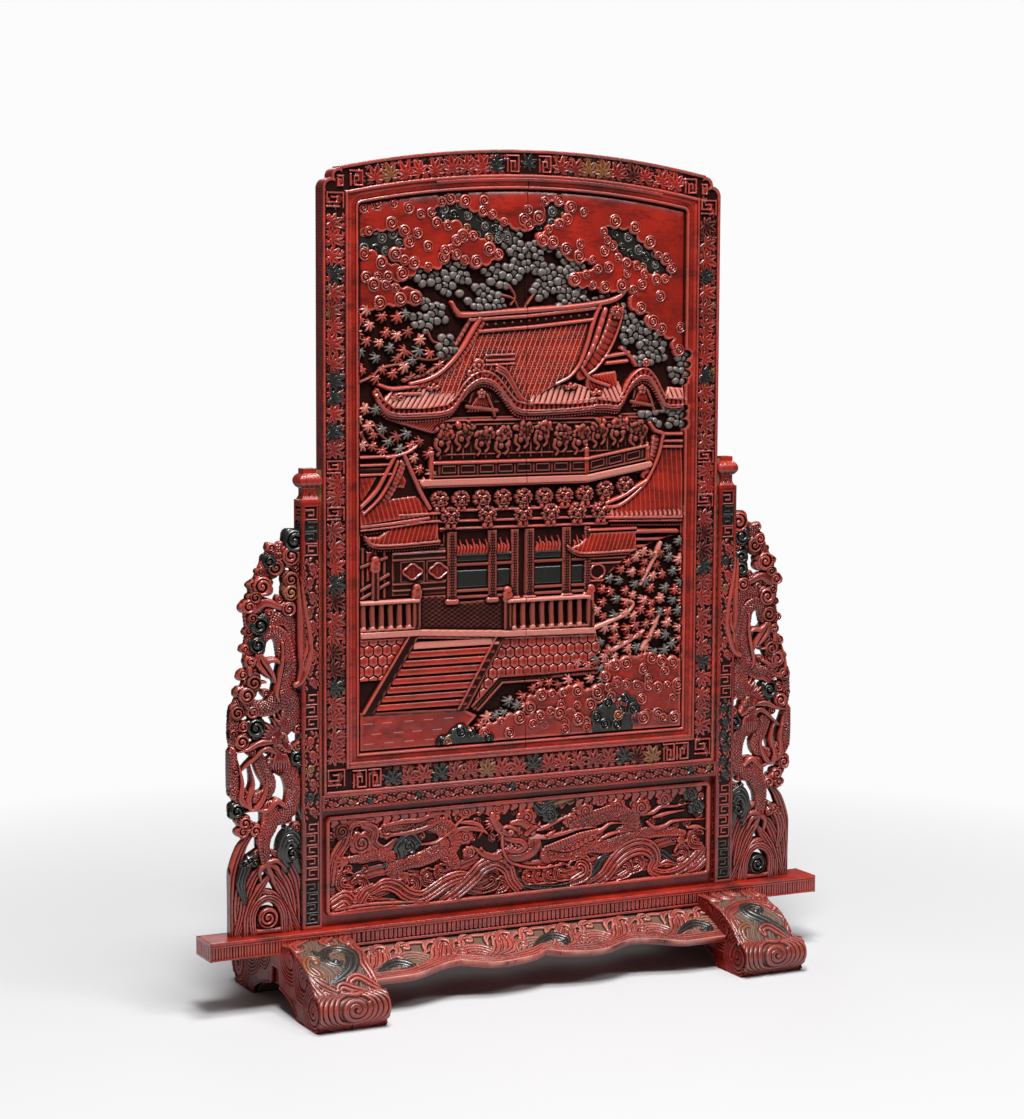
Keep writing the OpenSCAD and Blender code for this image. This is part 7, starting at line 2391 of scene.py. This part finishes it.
def makeFeet():
    s = finely(0.68)
    half = footHalf()
    outline = np.vstack([half, (half * (-1, 1))[::-1]])
    ring = np.vstack([outline, outline[:1]])
    keep = np.concatenate([[True], np.hypot(*np.diff(ring, axis=0).T) > 1e-6])
    ring = ring[keep]
    run = np.concatenate([[0], np.cumsum(np.hypot(*np.diff(ring, axis=0).T))])
    total = run[-1]
    d = np.stack([np.interp((run + 1.2) % total, run, ring[:, k]) - np.interp((run - 1.2) % total, run,
            ring[:, k]) for k in (0, 1)], 1)
    d /= np.hypot(d[:, 0], d[:, 1])[:, None]
    normal = np.stack([-d[:, 1], d[:, 0]], 1)
    for side, name in sides:
        centre = side * foot["midX"]
        r = Relief(steps(0, total, s)[:-1], steps(-35.1, 35.1, s), -3.2, brown)
        for front in (True, False):
            paintFoot(r, name, (lambda a: total - a) if front else (lambda a: a), 1 if front else -1)
        over = np.clip(np.abs(r.v) - 33.0, 0, 2) / 2.1
        r.h = np.clip(r.h, -3.2, -0.06) - 1.8 * (1 - np.sqrt(1 - over ** 2))[:, None]

        def place(us, vs, h):
            u = us % total
            y, z = (np.interp(u, run, ring[:, k]) for k in (0, 1))
            ny, nz = (np.interp(u, run, normal[:, k]) for k in (0, 1))
            slim = 1 - np.where((z < foot["archH"] + 1) & (np.abs(y) < foot["archHalf"] + 0.5), foot["waist"],
                    pinch(y, z)) / 35.25
            deep = h * np.clip((z - 0.3) / 4, 0, 1)
            return centre + vs * slim, y + ny * deep, np.clip(z + nz * deep, 0, None)
        tubeSheet(f"{name}Foot", r, place, waveLacquer, "stand", "wave_lacquer", [f"{name}_foot"],
                capped=False)
        for out in (-1, 1):
            q = Relief(steps(-113, 113, s), steps(-0.6, 67, s), -1.2, red)
            at, us, vs = q.everywhere()
            nearest = np.argmin((out * us[..., None] - ring[:, 0]) ** 2 + (vs[..., None] - ring[:, 1]) ** 2,
                    -1)
            brim = np.interp(run[nearest] % total, r.u, r.h[-1 if out > 0 else 0]) * np.clip((ring[nearest,
                    1] - 0.3) / 4, 0, 1)
            f = 0.15 + brim - polygonDistance(us, vs, outline)
            hollow = np.minimum(0.16 * foot["archHalf"] + np.interp(vs, [0, 4, 12, 38], [47, 25, 3.4, 0])
                    - np.abs(us), 38 - vs)
            for y in (-1, 1):
                for x, z, radius, turn in ((34, 52, 8, 2.0), (64, 41, 9.5, 0.5), (94, 19, 12, 3.6)):
                    arcs(q, y * x, z, (radius + 13.6, radius + 10.2, radius + 6.8, radius + 3.4), 0, 6.28,
                            1.8, -1.6, -0.2)
                    q.ribbon(coil(y * x, z, radius, 1.9, y * turn, y, 0.2), [2.6, 2.5, 2.2, 2.4], -1.6, 1.5,
                            over=True)
            q.raiseTo(at, np.where(f < 0.9, -0.25, -9), red)
            q.h = np.clip(q.h, -1.6, 0) - pinch(us, vs)
            q.h = np.where(hollow > 0, -foot["waist"], q.h)
            flat = lambda us, vs, h: (centre + out * (foot["width"] / 2 + h), out * us, np.clip(vs, 0, None))
            # The side plates take the darker lacquer: painted shade on the sides
            plate(f"{name}FootSide.{'outer' if out == side else 'inner'}", q, flat, shadedSideLacquer, "stand",
                    "wave_lacquer", field=f, depth=1.9)


apron = {"slope": 22.0, "top": 54.0, "frontY": 18.75, "width": 53.0, "half": 192.25, "thick": 7.0,
        "ground": -2.5, "tuck": 6.2}


def apronEdge():
    h, w = apron["half"], apron["width"]
    first = bezier((0.06 * h, -0.84 * w), (0.13 * h, -0.9 * w), (0.26 * h, -0.98 * w), (0.34 * h, -0.91 * w),
            10)
    second = bezier((0.54 * h, -0.76 * w), (0.64 * h, -0.84 * w), (0.7 * h, -0.97 * w), (0.78 * h, -w), 10)
    side = np.vstack([[(0, -0.74 * w)], first, [(0.41 * h, -0.82 * w), (0.48 * h, -0.74 * w)], second,
            [(h, -w)]])
    return np.vstack([(side * (-1, 1))[::-1], side[1:]])


def makeAprons():
    s = finely(0.62)
    line = apronEdge()
    outline = np.vstack([line, [(apron["half"], apron["tuck"]), (-apron["half"], apron["tuck"])]])
    r = Relief(steps(-apron["half"] - 0.5, apron["half"] + 0.5, s), steps(-apron["width"] - 1,
            apron["tuck"] + 1, s), apron["ground"], brown)
    _, us, vs = r.everywhere()
    f = -polygonDistance(us, vs, outline)
    low = apron["ground"]
    for k in range(7):
        wave = 1.0 + 3.6 * k + 0.14 * k * k * np.sin(line[:, 0] / 11 + 0.9 * k)
        r.ribbon(line + np.stack([0 * line[:, 0], wave], 1), [1.7, 1.9, 1.7, 2.0, 1.7], low, 1.6,
                brown if k in (3, 5) else red, over=True)
    for x in (-138, -73, -8, 57, 122, 187):
        arcs(r, x, -42, (25, 21, 17, 13, 9), 0.1, 3.04, 1.95, low, -0.7, brown if x in (-138, -8, 187)
                else red)
    for k, x in enumerate((-172, -106, -41, 25, 90, 155)):
        bent = 3 * math.sin(2.4 * k)
        r.bend([(x - 34, -5), (x - 22, -2.4), (x - 8, -3.4), (x + 4, -1.4)], [1.2, 2.2, 2.4, 1.6], low, 2.0,
                over=True)
        flow(r, [(x - 44, -45), (x - 22, -43), (x - 6, -33), (x + 1, -20), (x + 6 + bent, -8)],
                [3, 6, 9, 10, 8], 5, low, -0.3)
        flow(r, [(x - 12, -38), (x + 6, -31), (x + 12, -20), (x + 14 + bent, -10)], [2, 4, 4.6, 3.6], 2, low,
                -0.2)
        for u, v, size in ((-4, -10, 1.05), (9, -9, 1.2), (22, -13, 1.05), (33, -8, 0.95), (20, -26, 0.85)):
            curve = [(-9, -11), (-7, -2), (-1, 3.4), (5, 1), (4.6, -5), (1, -4.4)]
            hook(r, [(x + u + size * a, v + 2.6 + size * b) for a, b in curve], [1.2, 2.5, 2.9, 2.6, 2.2,
                    2.0], low, -0.08, count=1)
    for x, v in ((-158, -34), (12, -22), (168, -30)):
        flow(r, [(x - 24, v - 10), (x - 10, v - 1), (x + 4, v + 4), (x + 15, v - 3), (x + 10, v - 10),
                (x + 4, v - 6)], [1, 4.6, 6, 5, 3.6, 2], 3, low, -0.12, green)
    for k in range(4):
        r.ribbon(line + np.stack([0 * line[:, 0], 1.2 + 3.1 * k + 0.5 * np.sin(line[:, 0] / 9 + k)], 1),
                1.75 - 0.1 * k, -1.9, 1.8 - 0.15 * k, over=True)
    r.tint[f < 1.4] = red
    a = math.radians(apron["slope"])
    r.h = np.minimum(np.clip(r.h, -2.7, -0.06), -0.08 - vs * math.tan(a))
    for side, name in ((-1, "front"), (1, "rear")):
        def place(us, vs, h):
            y = -apron["frontY"] + vs * math.cos(a) - h * math.sin(a)
            z = apron["top"] + vs * math.sin(a) + h * math.cos(a)
            return -side * us, -side * y, z
        plate(f"{name}Apron", r, place, apronLacquer, "stand", "wave_lacquer", [f"{name}_apron"], f,
                depth=apron["thick"])


makeBar()
makeFeet()
makeAprons()
print("bar, feet and aprons made")
